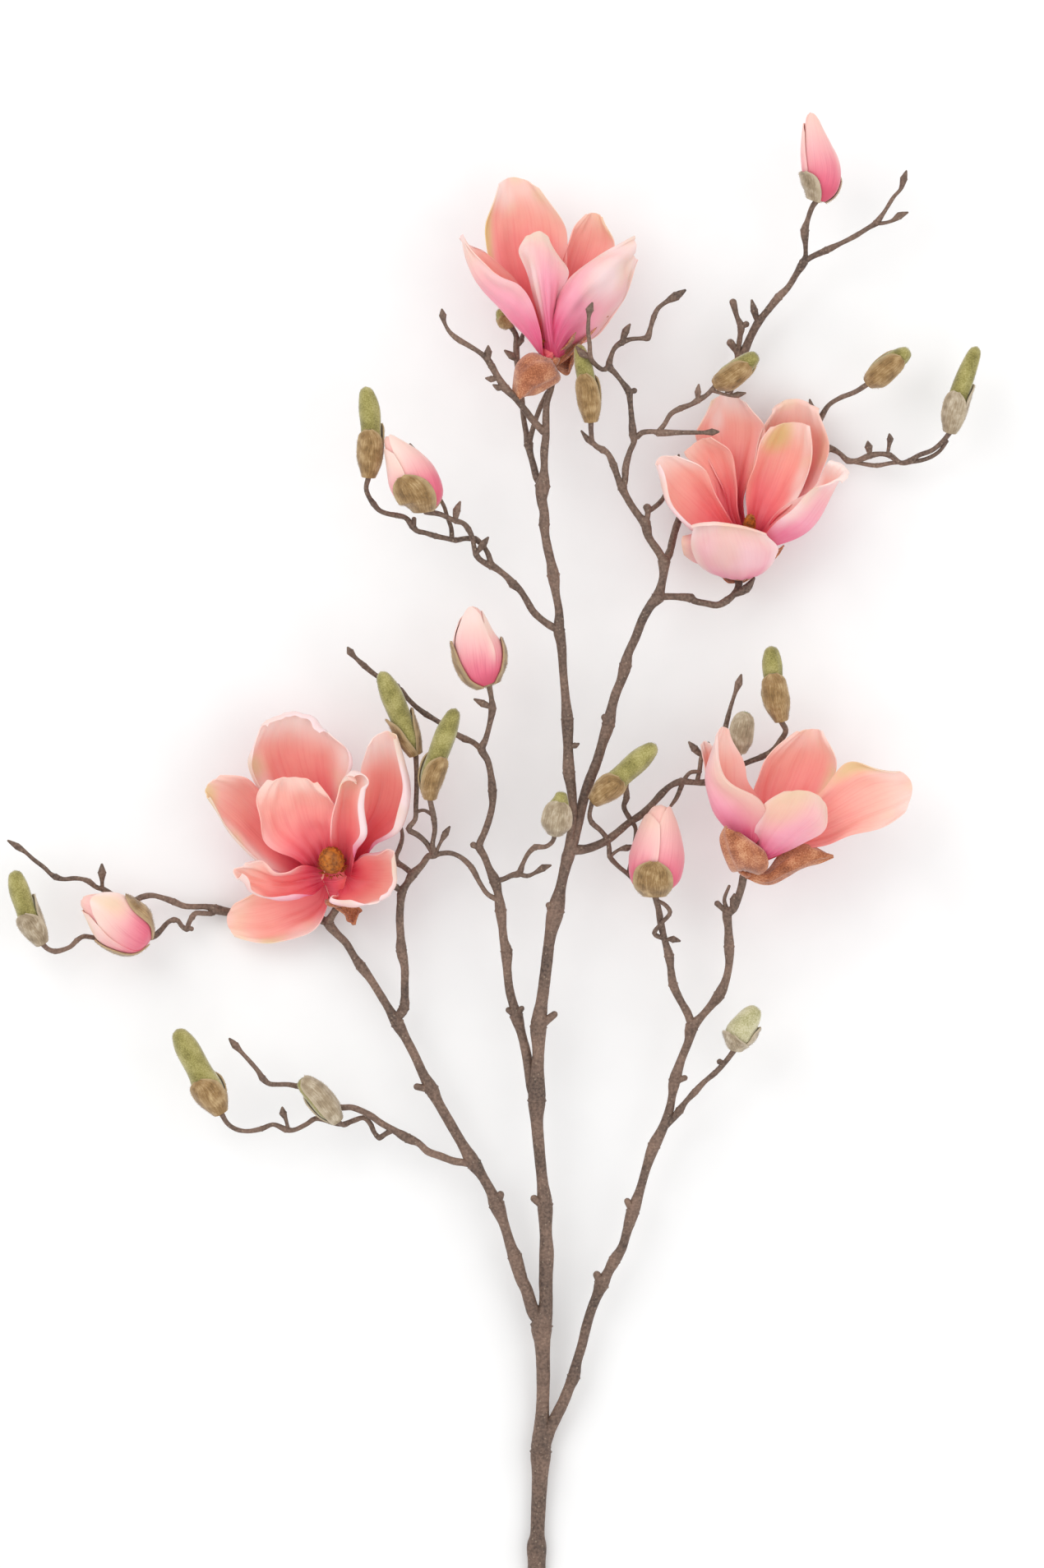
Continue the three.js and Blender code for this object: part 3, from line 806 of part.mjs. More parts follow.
/** A round rod through a route's points, `extra` mm thicker all round. `relief` scales the radius. */
function rod(route, sides, extra = 0, relief = () => 1) {
  const points = thinned(filled(route), ROUTE_SLACK);
  const places = points.map(place);
  const frames = framesAlong(places);
  const last = points.length - 1;
  const geometry = new THREE.CylinderGeometry(1, 1, 1, sides, last);
  const position = geometry.attributes.position;
  for (let i = 0; i < position.count; i++) {
    const ring = Math.round((position.getY(i) + 0.5) * last);
    const { direction, across, up } = frames[ring];
    const x = position.getX(i);
    const z = position.getZ(i);
    const end = ring === 0 ? -extra : ring === last ? extra : 0;
    const radius = (points[ring][3] / 2) * relief(Math.atan2(z, x), ring / last) + extra;
    const corner = places[ring].clone()
      .addScaledVector(across, x * radius)
      .addScaledVector(up, z * radius)
      .addScaledVector(direction, end);
    position.setXYZ(i, corner.x, corner.y, corner.z);
  }
  return toSolid(geometry);
}

/** Two faces of a sheet and the rim between them, split into the same triangles on both faces. */
function sheetGeometry({ across, along }) {
  const plane = new THREE.PlaneGeometry(2, 1, across, along);
  const count = plane.attributes.position.count;
  const outer = Array.from(plane.index.array);
  const index = [...outer];
  for (let i = 0; i < outer.length; i += 3) {
    index.push(outer[i + 2] + count, outer[i + 1] + count, outer[i] + count);
  }
  const wide = across + 1;
  const rim = [];
  for (let i = 0; i < across; i++) rim.push(i);
  for (let i = 0; i < along; i++) rim.push(i * wide + across);
  for (let i = across; i > 0; i--) rim.push(along * wide + i);
  for (let i = along; i > 0; i--) rim.push(i * wide);
  rim.forEach((a, i) => {
    const b = rim[(i + 1) % rim.length];
    index.push(a, b, a + count, b, b + count, a + count);
  });
  const flat = Array.from(plane.attributes.position.array);
  const geometry = new THREE.BufferGeometry();
  geometry.setAttribute('position', new THREE.Float32BufferAttribute([...flat, ...flat], 3));
  geometry.setIndex(index);
  return { geometry, count };
}

/** The places on a blade: `u` is -1 at its left edge and 1 at its right, `v` 0 at its root. */
function bladeSurface({ left, middle, right }, root) {
  const sideways = place(right[0]).sub(place(left[0])).setLength(CLAW_HALF);
  const lines = [left, middle, right].map((line, k) => new THREE.CatmullRomCurve3(
    [root.clone().addScaledVector(sideways, k - 1), ...line.map(place)], false, 'centripetal'));
  return (u, v) => {
    const [l, m, r] = lines.map((line) => line.getPoint(v));
    return l.multiplyScalar((u * (u - 1)) / 2)
      .addScaledVector(m, 1 - u * u)
      .addScaledVector(r, (u * (u + 1)) / 2);
  };
}

/** A petal or bract: a thin blade from `root` through its three lines, `extra` mm bigger all round. */
function blade(shape, root, cells, thickness, extra = 0) {
  const surface = bladeSurface(shape, root);
  const { geometry, count } = sheetGeometry(cells);
  const position = geometry.attributes.position;
  const step = 0.01;
  for (let i = 0; i < position.count; i++) {
    const u = position.getX(i);
    const rise = position.getY(i) + 0.5;
    const v = rise * (1.4 - 0.4 * rise);
    const across = surface(u + step, v).sub(surface(u - step, v)).normalize();
    const along = surface(u, Math.min(v + step, 1)).sub(surface(u, Math.max(v - step, 0))).normalize();
    const inward = across.clone().cross(along).normalize();
    const corner = surface(u, v)
      .addScaledVector(inward, (i < count ? 1 : -1) * (thickness / 2 + extra))
      .addScaledVector(across, Math.abs(u) === 1 ? u * extra : 0)
      .addScaledVector(along, rise === 1 ? extra : rise === 0 ? -extra : 0);
    position.setXYZ(i, corner.x, corner.y, corner.z);
  }
  return toSolid(geometry);
}

/** A ball or egg at a place, its long side along `direction`. */
function egg(centre, direction, { width, length, depth }, up, rings = [8, 6]) {
  const ball = new THREE.SphereGeometry(1, ...rings);
  const along = direction.clone().normalize();
  const out = up.clone().addScaledVector(along, -up.dot(along)).normalize();
  const across = along.clone().cross(out);
  const turn = new THREE.Matrix4().makeBasis(across, along, out);
  const size = new THREE.Matrix4().makeScale(width / 2, length / 2, depth / 2);
  ball.applyMatrix4(turn.multiply(size).setPosition(centre));
  return toSolid(ball);
}

// ---------------------------------------------------------------- pieces

/** All the wood as one body: trunks, limbs, twigs and spurs, flat where it lies on the table. */
function wood(extra = 0) {
  const stout = [TRUNK, LEFT_TRUNK, RIGHT_TRUNK, LEFT_LIMB, CENTRE_LIMB, RIGHT_LIMB];
  const rods = [
    ...stout.map((route) => rod(route, 6, extra)),
    ...Object.values(TWIGS).map((route) => rod(route, 4, extra)),
    ...SPURS.map((route) => rod(route, 3, extra)),
  ];
  const table = new THREE.BoxGeometry(1000, 1200, 20).translate(0, 0, -10 - extra);
  return joined(rods).subtract(toSolid(table));
}

/** The petals of a bloom, fused on the stalk from its foot to its heart. */
function petals({ base, heart, core, petals }, extra = 0) {
  const foot = place(base);
  const middle = place(heart);
  const stalk = middle.clone().sub(foot);
  const direction = stalk.clone().normalize();
  const at = (spot, away, thickness) =>
    fromFrame(spot.clone().addScaledVector(direction, away), thickness);
  const receptacle = rod([at(foot, CUP_HEIGHT, core * 1.3), at(middle, 0, core * 2),
    at(middle, core * 0.6, core * 1.3)], 6, extra);
  const grown = petals.map((petal) => {
    const out = place(petal.middle[0]).sub(middle);
    out.addScaledVector(direction, -out.dot(direction)).setLength(core * CLAW_RING);
    return blade(petal, out.add(middle), PETAL_CELLS, PETAL_THICKNESS, extra);
  });
  return joined([receptacle, ...grown]);
}

/** The bracts of a bloom, fused on the little cup at its foot. */
function bracts({ base, heart, core, bracts }) {
  const foot = place(base);
  const direction = place(heart).sub(foot).normalize();
  const cup = egg(foot, direction, { width: core * 2, length: CUP_HEIGHT * 2, depth: core * 2 },
    UPWARDS, [6, 4]);
  const grown = bracts.map((bract) => blade(bract, foot, BRACT_CELLS, BRACT_THICKNESS));
  return joined([cup, ...grown]);
}

/** The cone of carpels with a ring of stamens at its foot. */
function centre({ centre: { foot, tip, radius, stamenCount } }, extra = 0) {
  const from = place(foot);
  const to = place(tip);
  const direction = to.clone().sub(from).normalize();
  const spread = new THREE.Vector3(1, 0, 0).cross(direction).normalize();
  const at = (share, thickness) => fromFrame(from.clone().lerp(to, share), thickness);
  const cone = rod([at(-0.1, radius * 1.6), at(0, radius * 2), at(0.35, radius * 1.6),
    at(0.75, radius), at(1, radius * 0.35)], 6, extra);
  const stamens = Array.from({ length: stamenCount }, (_, k) => {
    const out = spread.clone().applyAxisAngle(direction, (k * 2 * Math.PI) / stamenCount);
    const root = from.clone().addScaledVector(out, radius * 0.3);
    const end = from.clone().addScaledVector(out, radius * 1.45).addScaledVector(direction, radius * 1.1);
    return rod([fromFrame(root, 2.2), fromFrame(end, 1.5)], 3, extra);
  });
  return joined([cone, ...stamens]);
}

/** A closed flower bud. Each petal's edge stands out where it wraps over the next one. */
function pinkBud({ body }, extra = 0) {
  const wrapped = (angle, v) => {
    const share = angle / (2 * Math.PI) + 1 + v * 0.35;
    const across = (share * SEAMS_PER_BUD) % 1;
    return 1 - SEAM_STEP * across * Math.sin(Math.PI * Math.min(1, v + 0.25));
  };
  return rod(body, 9, extra, wrapped);
}

const horn = ({ body }, extra = 0) => rod(body, 6, extra);

/** The furry scales round a bud's foot, as one husk whose rim rises to the tip of each scale. */
function husk({ body, scales, ease = HUSK_EASE }) {
  const spine = new THREE.CatmullRomCurve3(body.map(place), false, 'centripetal');
  const girth = new THREE.CatmullRomCurve3(
    body.map((point, k) => new THREE.Vector3(k, point[3] / 2, 0)), false, 'centripetal');
  const run = spine.getLength();
  const section = [[0, 0], [1, 0], [1, 0.5], [1, 1], [0, 1], [0, 0.5], [0, 0]];
  const outline = section.map(([wall, rise]) => new THREE.Vector2(1 + wall, rise));
  const geometry = new THREE.LatheGeometry(outline, HUSK_SIDES);
  const position = geometry.attributes.position;
  for (let i = 0; i < position.count; i++) {
    const [x, rise, z] = [position.getX(i), position.getY(i), position.getZ(i)];
    const angle = Math.atan2(x, z);
    const wall = Math.hypot(x, z) - 1;
    const rims = scales.map(({ turn, length }) => {
      const apart = Math.cos(angle - THREE.MathUtils.degToRad(turn));
      return length * (HUSK_NOTCH + (1 - HUSK_NOTCH) * Math.max(0, apart) ** 0.7);
    });
    const height = Math.min(Math.max(...rims), run * 0.95) * rise;
    const t = spine.getUtoTmapping(height / run);
    const direction = spine.getTangent(t);
    const up = new THREE.Vector3(0, 0, 1).addScaledVector(direction, -direction.z).normalize();
    const out = up.applyAxisAngle(direction, angle);
    const inside = girth.getPoint(t).y * ease + CLEARANCE + 0.2;
    const corner = spine.getPoint(t)
      .addScaledVector(out, inside + wall * SCALE_THICKNESS)
      .addScaledVector(direction, (rise - 1) * HUSK_FOOT);
    position.setXYZ(i, corner.x, corner.y, corner.z);
  }
  return toSolid(geometry);
}

// ---------------------------------------------------------------- the spray

const group = new THREE.Group();
const keepOff = wood(CLEARANCE);
group.add(toMesh('branch_wood', wood(), BARK));

for (const [name, bloom] of Object.entries(BLOOMS)) {
  const flower = petals(bloom).subtract(keepOff).subtract(centre(bloom, CLEARANCE));
  const roomForFlower = petals(bloom, CLEARANCE);
  const leafy = bracts(bloom).subtract(keepOff).subtract(roomForFlower);
  group.add(toMesh(`${name}_petals`, flower, PETAL));
  group.add(toMesh(`${name}_bracts`, leafy, BRACT));
  group.add(toMesh(`${name}_cone`, centre(bloom), CONE));
}

for (const [name, bud] of Object.entries(PINK_BUDS)) {
  group.add(toMesh(`${name}_petals`, pinkBud(bud).subtract(keepOff), BUD_PETAL));
  const scales = husk(bud).subtract(keepOff).subtract(pinkBud(bud, CLEARANCE));
  group.add(toMesh(`${name}_scales`, scales, SCALE));
}

for (const [name, bud] of Object.entries(GREEN_BUDS)) {
  group.add(toMesh(`${name}_horn`, horn(bud).subtract(keepOff), HORN));
  const scales = husk(bud).subtract(keepOff).subtract(horn(bud, CLEARANCE));
  group.add(toMesh(`${name}_scales`, scales, SCALE));
}

export default group;
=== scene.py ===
# Saucer magnolia branch: a cut, leafless spray with open blooms, pink flower buds and furry winter
# buds, lying on a table. Blender works in metres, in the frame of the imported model. The measured
# places are in millimetres on the sheet that the spray was laid out on: across, down and height.
import math
import random

import bpy
from mathutils import Matrix, Vector, noise


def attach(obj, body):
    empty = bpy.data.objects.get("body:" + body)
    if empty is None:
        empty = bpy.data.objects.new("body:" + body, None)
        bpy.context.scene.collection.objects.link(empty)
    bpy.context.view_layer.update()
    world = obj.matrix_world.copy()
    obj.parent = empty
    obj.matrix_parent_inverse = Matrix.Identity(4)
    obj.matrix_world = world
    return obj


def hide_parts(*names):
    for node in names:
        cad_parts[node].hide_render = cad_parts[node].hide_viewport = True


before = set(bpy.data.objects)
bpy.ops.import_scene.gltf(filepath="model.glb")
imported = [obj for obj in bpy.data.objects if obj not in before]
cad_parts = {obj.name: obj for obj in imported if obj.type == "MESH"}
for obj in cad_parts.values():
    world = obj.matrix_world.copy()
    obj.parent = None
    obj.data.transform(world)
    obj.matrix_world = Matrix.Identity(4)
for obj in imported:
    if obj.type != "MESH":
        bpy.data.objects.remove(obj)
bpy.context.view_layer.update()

# ------------------------------------------------------------------ sizes, in mm where nothing else is said

MM = 0.001
SHEET_ACROSS, SHEET_DOWN = 300.4, 516.4  # the middle of the spray on the sheet
LEAST_GAP = 1e-9  # the least length to divide by, in metres

# Stems: rings `step` apart, `sides` segments in a quarter of a ring, and `rough` parts of unevenness.
RING_STEP = 2.0
TRUNK_STEM = {"step": RING_STEP, "sides": 5, "rough": 0.03}
LIMB_STEM = {"step": RING_STEP, "sides": 4, "rough": 0.035}
TWIG_STEM = {"step": RING_STEP * 0.9, "sides": 3, "rough": 0.07}
SPUR_STEM = {"step": RING_STEP * 0.7, "sides": 2, "rough": 0.08}
STALK_STEM = {"step": 1.5, "sides": 5, "rough": 0.02}
# rings round a node: how far along from it, and how thick in parts
NODE_RING = ((-1.5, 0.98), (-0.6, 1.02), (-0.25, 1.08), (0.25, 1.08), (0.7, 1.0), (1.5, 0.96))
NODE_SWELL = 1.12  # wood this much thicker than on both sides is a node
ROUND_END = ((0.45, 0.8), (0.75, 0.35))  # rings of a round end: how far out and how thick, in radii
BROAD_KNOBS, FINE_KNOBS = 260, 700  # uneven places in a metre of stem
CUT_RIM = 0.5  # depth of the sawn end's face
TABLE_TOUCH = 1e-6  # metres; how exactly the underside is cut level

# Petals, bracts and scales
PETAL_GRID, BRACT_GRID, WRAP_GRID, SCALE_GRID = (28, 40), (16, 24), (22, 30), (26, 34)  # across, along
PETAL_THICKNESS, BRACT_THICKNESS, WRAP_THICKNESS, SCALE_THICKNESS = 0.7, 0.9, 0.6, 0.8
CLAW_HALF = 4  # half the width of a petal where it springs
CLAW_RING = 0.75  # how far out the petals spring, as a part of the core
ROLL_TURN = 2.6  # radians that a curled rim turns over
CUP_HEIGHT = 3  # the little cup of bracts under a bloom

# Seed cones
CARPELS, CARPEL_SIZE = 70, (0.9, 0.6)  # half width and half length
STAMENS, STAMEN_WIDTH, STAMEN_LENGTHS = 36, 0.45, (1.5, 1.75, 2.0, 2.25)  # half of each
GOLDEN_TURN = 2.39996  # radians from one carpel to the next

# Hairs
HAIR_HALF_WIDTH, HAIR_ROOT = 0.045, 0.05
HAIR_LENGTHS = (0.6, 1.25)  # parts of the length asked for
HAIR_STRAY, HAIR_DROOP = 0.45, 0.08
FUR_MARK = 5  # material place of hairs before the piece gets its materials

# Tints of petals' hidden parts: moved up, pale, golden, 1
STALK_TINT, CORE_TINT = (-0.1, 0, 0, 1), (0, 0.3, 0, 1)

# ------------------------------------------------------------------ camera and studio

VIEW_MIDDLE = (317.5, 477)  # on the sheet, the middle of the picture
VIEW_LONG_SIDE = 954  # mm of the sheet along the picture's long side
CAMERA_RISE = 8.0  # metres above the middle height of the spray
SPRAY_MIDDLE_HEIGHT = 0.045
SENSOR_WIDTH = 36
LIT_PLACE = Vector((0, 0, 0.05))


def on_sheet(across, down, height=0.0):
    """A place on the sheet, as a point of the frame in metres."""
    return Vector((across - SHEET_ACROSS, SHEET_DOWN - down, height)) * MM


middle = on_sheet(*VIEW_MIDDLE)
bpy.ops.object.camera_add(location=(middle.x, middle.y, CAMERA_RISE + SPRAY_MIDDLE_HEIGHT),
                          rotation=(0, 0, 0))
camera = bpy.context.object
camera.name = "table_camera"
camera.data.sensor_width = SENSOR_WIDTH
camera.data.lens = SENSOR_WIDTH * CAMERA_RISE / (VIEW_LONG_SIDE * MM)
camera.data.clip_end = 50
bpy.context.scene.camera = camera


def soft_light(name, place, size, watts):
    """A square soft box that faces the middle of the spray."""
    turn = (LIT_PLACE - Vector(place)).to_track_quat("-Z", "Y").to_euler()
    bpy.ops.object.light_add(type="AREA", location=place, rotation=turn)
    light = bpy.context.object
    light.name = name
    light.data.shape = "SQUARE"
    light.data.size = size
    light.data.energy = watts
    light.visible_camera = False


soft_light("key_box", place=(-1.6, 1.5, 2.6), size=2.2, watts=26)
soft_light("fill_box", place=(1.9, -0.6, 2.2), size=2.4, watts=13)

world = bpy.data.worlds.new("studio_air")
world.use_nodes = True
air = world.node_tree.nodes["Background"]
air.inputs["Color"].default_value = (0.97, 0.98, 1.0, 1)
air.inputs["Strength"].default_value = 0.94
bpy.context.scene.world = world
bpy.context.scene.view_settings.view_transform = "Standard"

# ------------------------------------------------------------------ wood, as routes

# A route is rows of [across, down, height, thickness]. A row may leave out its thickness, which then
# runs evenly between the rows that give it.
TRUNK = [
    [326.5, 964, 4.6, 11], [326.5, 954, 4.8, 11], [326.5, 941.5, 6.2, 12], [326.8, 937, 6.8, 9.2],
    [327.5, 920, 7.4, 9], [328.5, 900, 8.5, 10], [329, 885, 9.5, 12.5], [330, 860, 11.5, 8.2],
    [330.5, 839, 13.5, 8.4], [330, 820, 15.5, 9.5], [329.5, 807.5, 17, 13], [332, 795, 18, 8.8],
    [332, 780, 20, 8.4], [332.5, 762.5, 22, 9], [332, 750, 23, 7.6], [331.5, 733.5, 25, 9.5],
    [330, 720, 26.5, 7], [328, 700, 29, 7], [326.5, 681, 31, 8], [326.5, 670, 32.5, 11],
    [327, 650, 35, 7.8], [327.5, 639, 36, 7.5], [327.5, 625, 37.5, 10], [329.5, 610, 39, 7.5],
    [330.5, 603, 40, 7.2], [332.5, 586.5, 42, 7], [334.5, 570.5, 44, 7], [338, 554, 46, 10.5],
    [341, 540, 48, 6.5], [343, 531, 49, 6.5], [345.5, 521, 50, 8],
]
LEFT_TRUNK = [
    [345.5, 521, 50, 8], [346, 515, 51, 5.5], [348.5, 493.5, 53, 5], [347.5, 480, 53.5, 6],
    [346, 470, 54, 7.5], [345.5, 454.5, 55, 6], [345, 437.5, 56, 7.5], [344, 425.5, 56.5, 5.5],
    [342.5, 408.5, 57, 5], [341.5, 393, 57.5, 6], [340, 383.5, 58, 7], [340, 372.5, 58, 5],
    [338, 361, 58, 5], [336.5, 350, 58, 7.5], [335, 342, 58, 5.6], [333, 333.5, 58, 5.5],
    [331.5, 325, 58, 5.2], [331, 319.5, 58, 6.6], [331, 312, 58, 5.8], [329.5, 304.5, 58, 6.4],
    [330, 296, 58, 9], [331, 285.5, 58.5, 4.6], [331, 275, 59, 5], [332, 265.5, 59.5, 4.5],
    [332, 255, 60, 4.5], [332.5, 246, 60, 4], [335, 236, 60, 4.5], [336, 223.5, 60, 5.4],
]
RIGHT_TRUNK = [
    [345.5, 521, 50, 8], [348.5, 512, 49.5, 7], [351.5, 500, 49, 6.5], [354.5, 488, 48.5, 6.2],
    [358, 476.5, 48, 6.4], [363, 463.5, 48, 6], [366.5, 452, 48, 6.2], [370, 441, 48, 8],
    [372, 431, 48, 6], [374.5, 422, 48, 5.8], [378, 413.5, 48, 6], [380.5, 404.5, 48, 7.6],
    [382, 398, 47.5, 5.6], [386.5, 388, 47, 5.4], [391, 376.5, 46.5, 5.6], [396, 368, 46, 6],
    [400, 363.5, 45, 8], [401.5, 359, 44, 6], [403.5, 350, 42, 5], [404, 341.5, 40, 8],
]
LEFT_LIMB = [
    [330, 806, 17, 9], [325, 800, 18, 8.4], [320, 785, 19, 7.4], [317.5, 780, 19.5, 7.6],
    [313, 765, 20.5, 8.6], [311, 760, 21, 7], [306.5, 745.5, 22, 6.2], [302, 733.5, 23, 9.4],
    [298.5, 725.5, 23, 6.4], [292.5, 715, 23.5, 6.4], [288.5, 709, 24, 9], [281, 696.5, 24, 6.4],
    [274, 684.5, 24, 6.2], [266, 670.5, 24, 6.4], [262.5, 663.5, 24, 8.6], [257.5, 654.5, 24, 6],
    [252, 642.5, 23.5, 5.6], [246, 631, 23, 5.8], [241.5, 623, 22.5, 8], [236.5, 614.5, 22, 5.2],
    [231, 605.5, 21, 5], [225, 596, 20, 5], [219, 588, 19, 6.4], [215.5, 583, 18, 4.8],
    [210, 574, 16.5, 4.6], [204, 568, 15, 5], [199.5, 562, 14, 6.4], [201.5, 557.5, 17, 4.6],
    [205, 552, 20, 5],
]
CENTRE_LIMB = [
    [326.5, 668, 32, 8], [324, 663.5, 31.5, 7], [322, 652, 31, 6.4], [320, 640.5, 31, 6],
    [317, 628.5, 31, 5.6], [314, 618, 31, 8], [312.5, 612.5, 31.5, 5.8], [310, 603, 32, 5.4],
    [308.5, 590, 33, 5.4], [308, 578.5, 34, 7.2], [306.5, 572.5, 34.5, 5.4], [305.5, 563.5, 35, 5.2],
    [304.5, 554, 36, 7], [303, 544, 37, 5], [301, 536, 38, 7], [297.5, 528.5, 39, 4.6],
    [294.5, 521, 40, 4.4], [291.5, 515.5, 41, 5], [292, 512.5, 42, 4.4], [294.5, 507, 43, 4.2],
    [297.5, 498.5, 45, 4.2], [299.5, 489.5, 47, 4], [299.5, 481, 49, 5.4], [298.5, 471, 51, 4],
    [296.5, 462.5, 53, 4], [293, 456, 54, 5], [295.5, 449.5, 55, 3.6], [298, 440, 56, 3.4],
    [299.5, 431, 57, 4.8], [299, 425.5, 58, 3.2], [297.5, 417, 59.5, 3.6],
]
RIGHT_LIMB = [
    [330, 884, 9.5, 8], [331.5, 880, 10, 8], [334, 872.5, 11, 7.6], [337.5, 865, 12, 7.4],
    [342.5, 855, 13, 7], [346.5, 845, 14, 6.8], [349, 839, 14.5, 7.8], [351, 830, 15, 6],
    [354, 820, 16, 5.8], [357, 807.5, 17, 6], [360, 797.5, 18, 6], [364, 787.5, 19, 6.8],
    [366, 782.5, 19.5, 9], [370, 775, 20, 6.2], [374, 767.5, 21, 7.4], [378.5, 760, 22, 5.8],
    [381.5, 750, 23, 5.8], [385, 738, 24, 8.2], [389.5, 724.5, 25, 5.6], [393.5, 710.5, 26, 5.6],
    [398, 697.5, 27, 7.6], [403, 687.5, 28, 6], [407, 677, 29, 5.6], [409, 667, 30, 5],
    [410.5, 658, 31, 7.4], [414.5, 645, 32, 5.2], [419, 633.5, 33, 5.4], [421, 625, 34, 8],
    [426, 619.5, 35, 5], [432.5, 612, 36.5, 5], [437.5, 605.5, 38, 7], [441.5, 596.5, 39.5, 5],
    [443.5, 586.5, 41, 4.8], [443.5, 576, 43, 6.4], [443, 564.5, 45, 4.8], [442.5, 555.5, 47, 6.2],
    [446, 553, 49, 5], [448.5, 547, 51, 4.8], [451, 539, 54, 4.8], [452, 533, 56, 5],
]

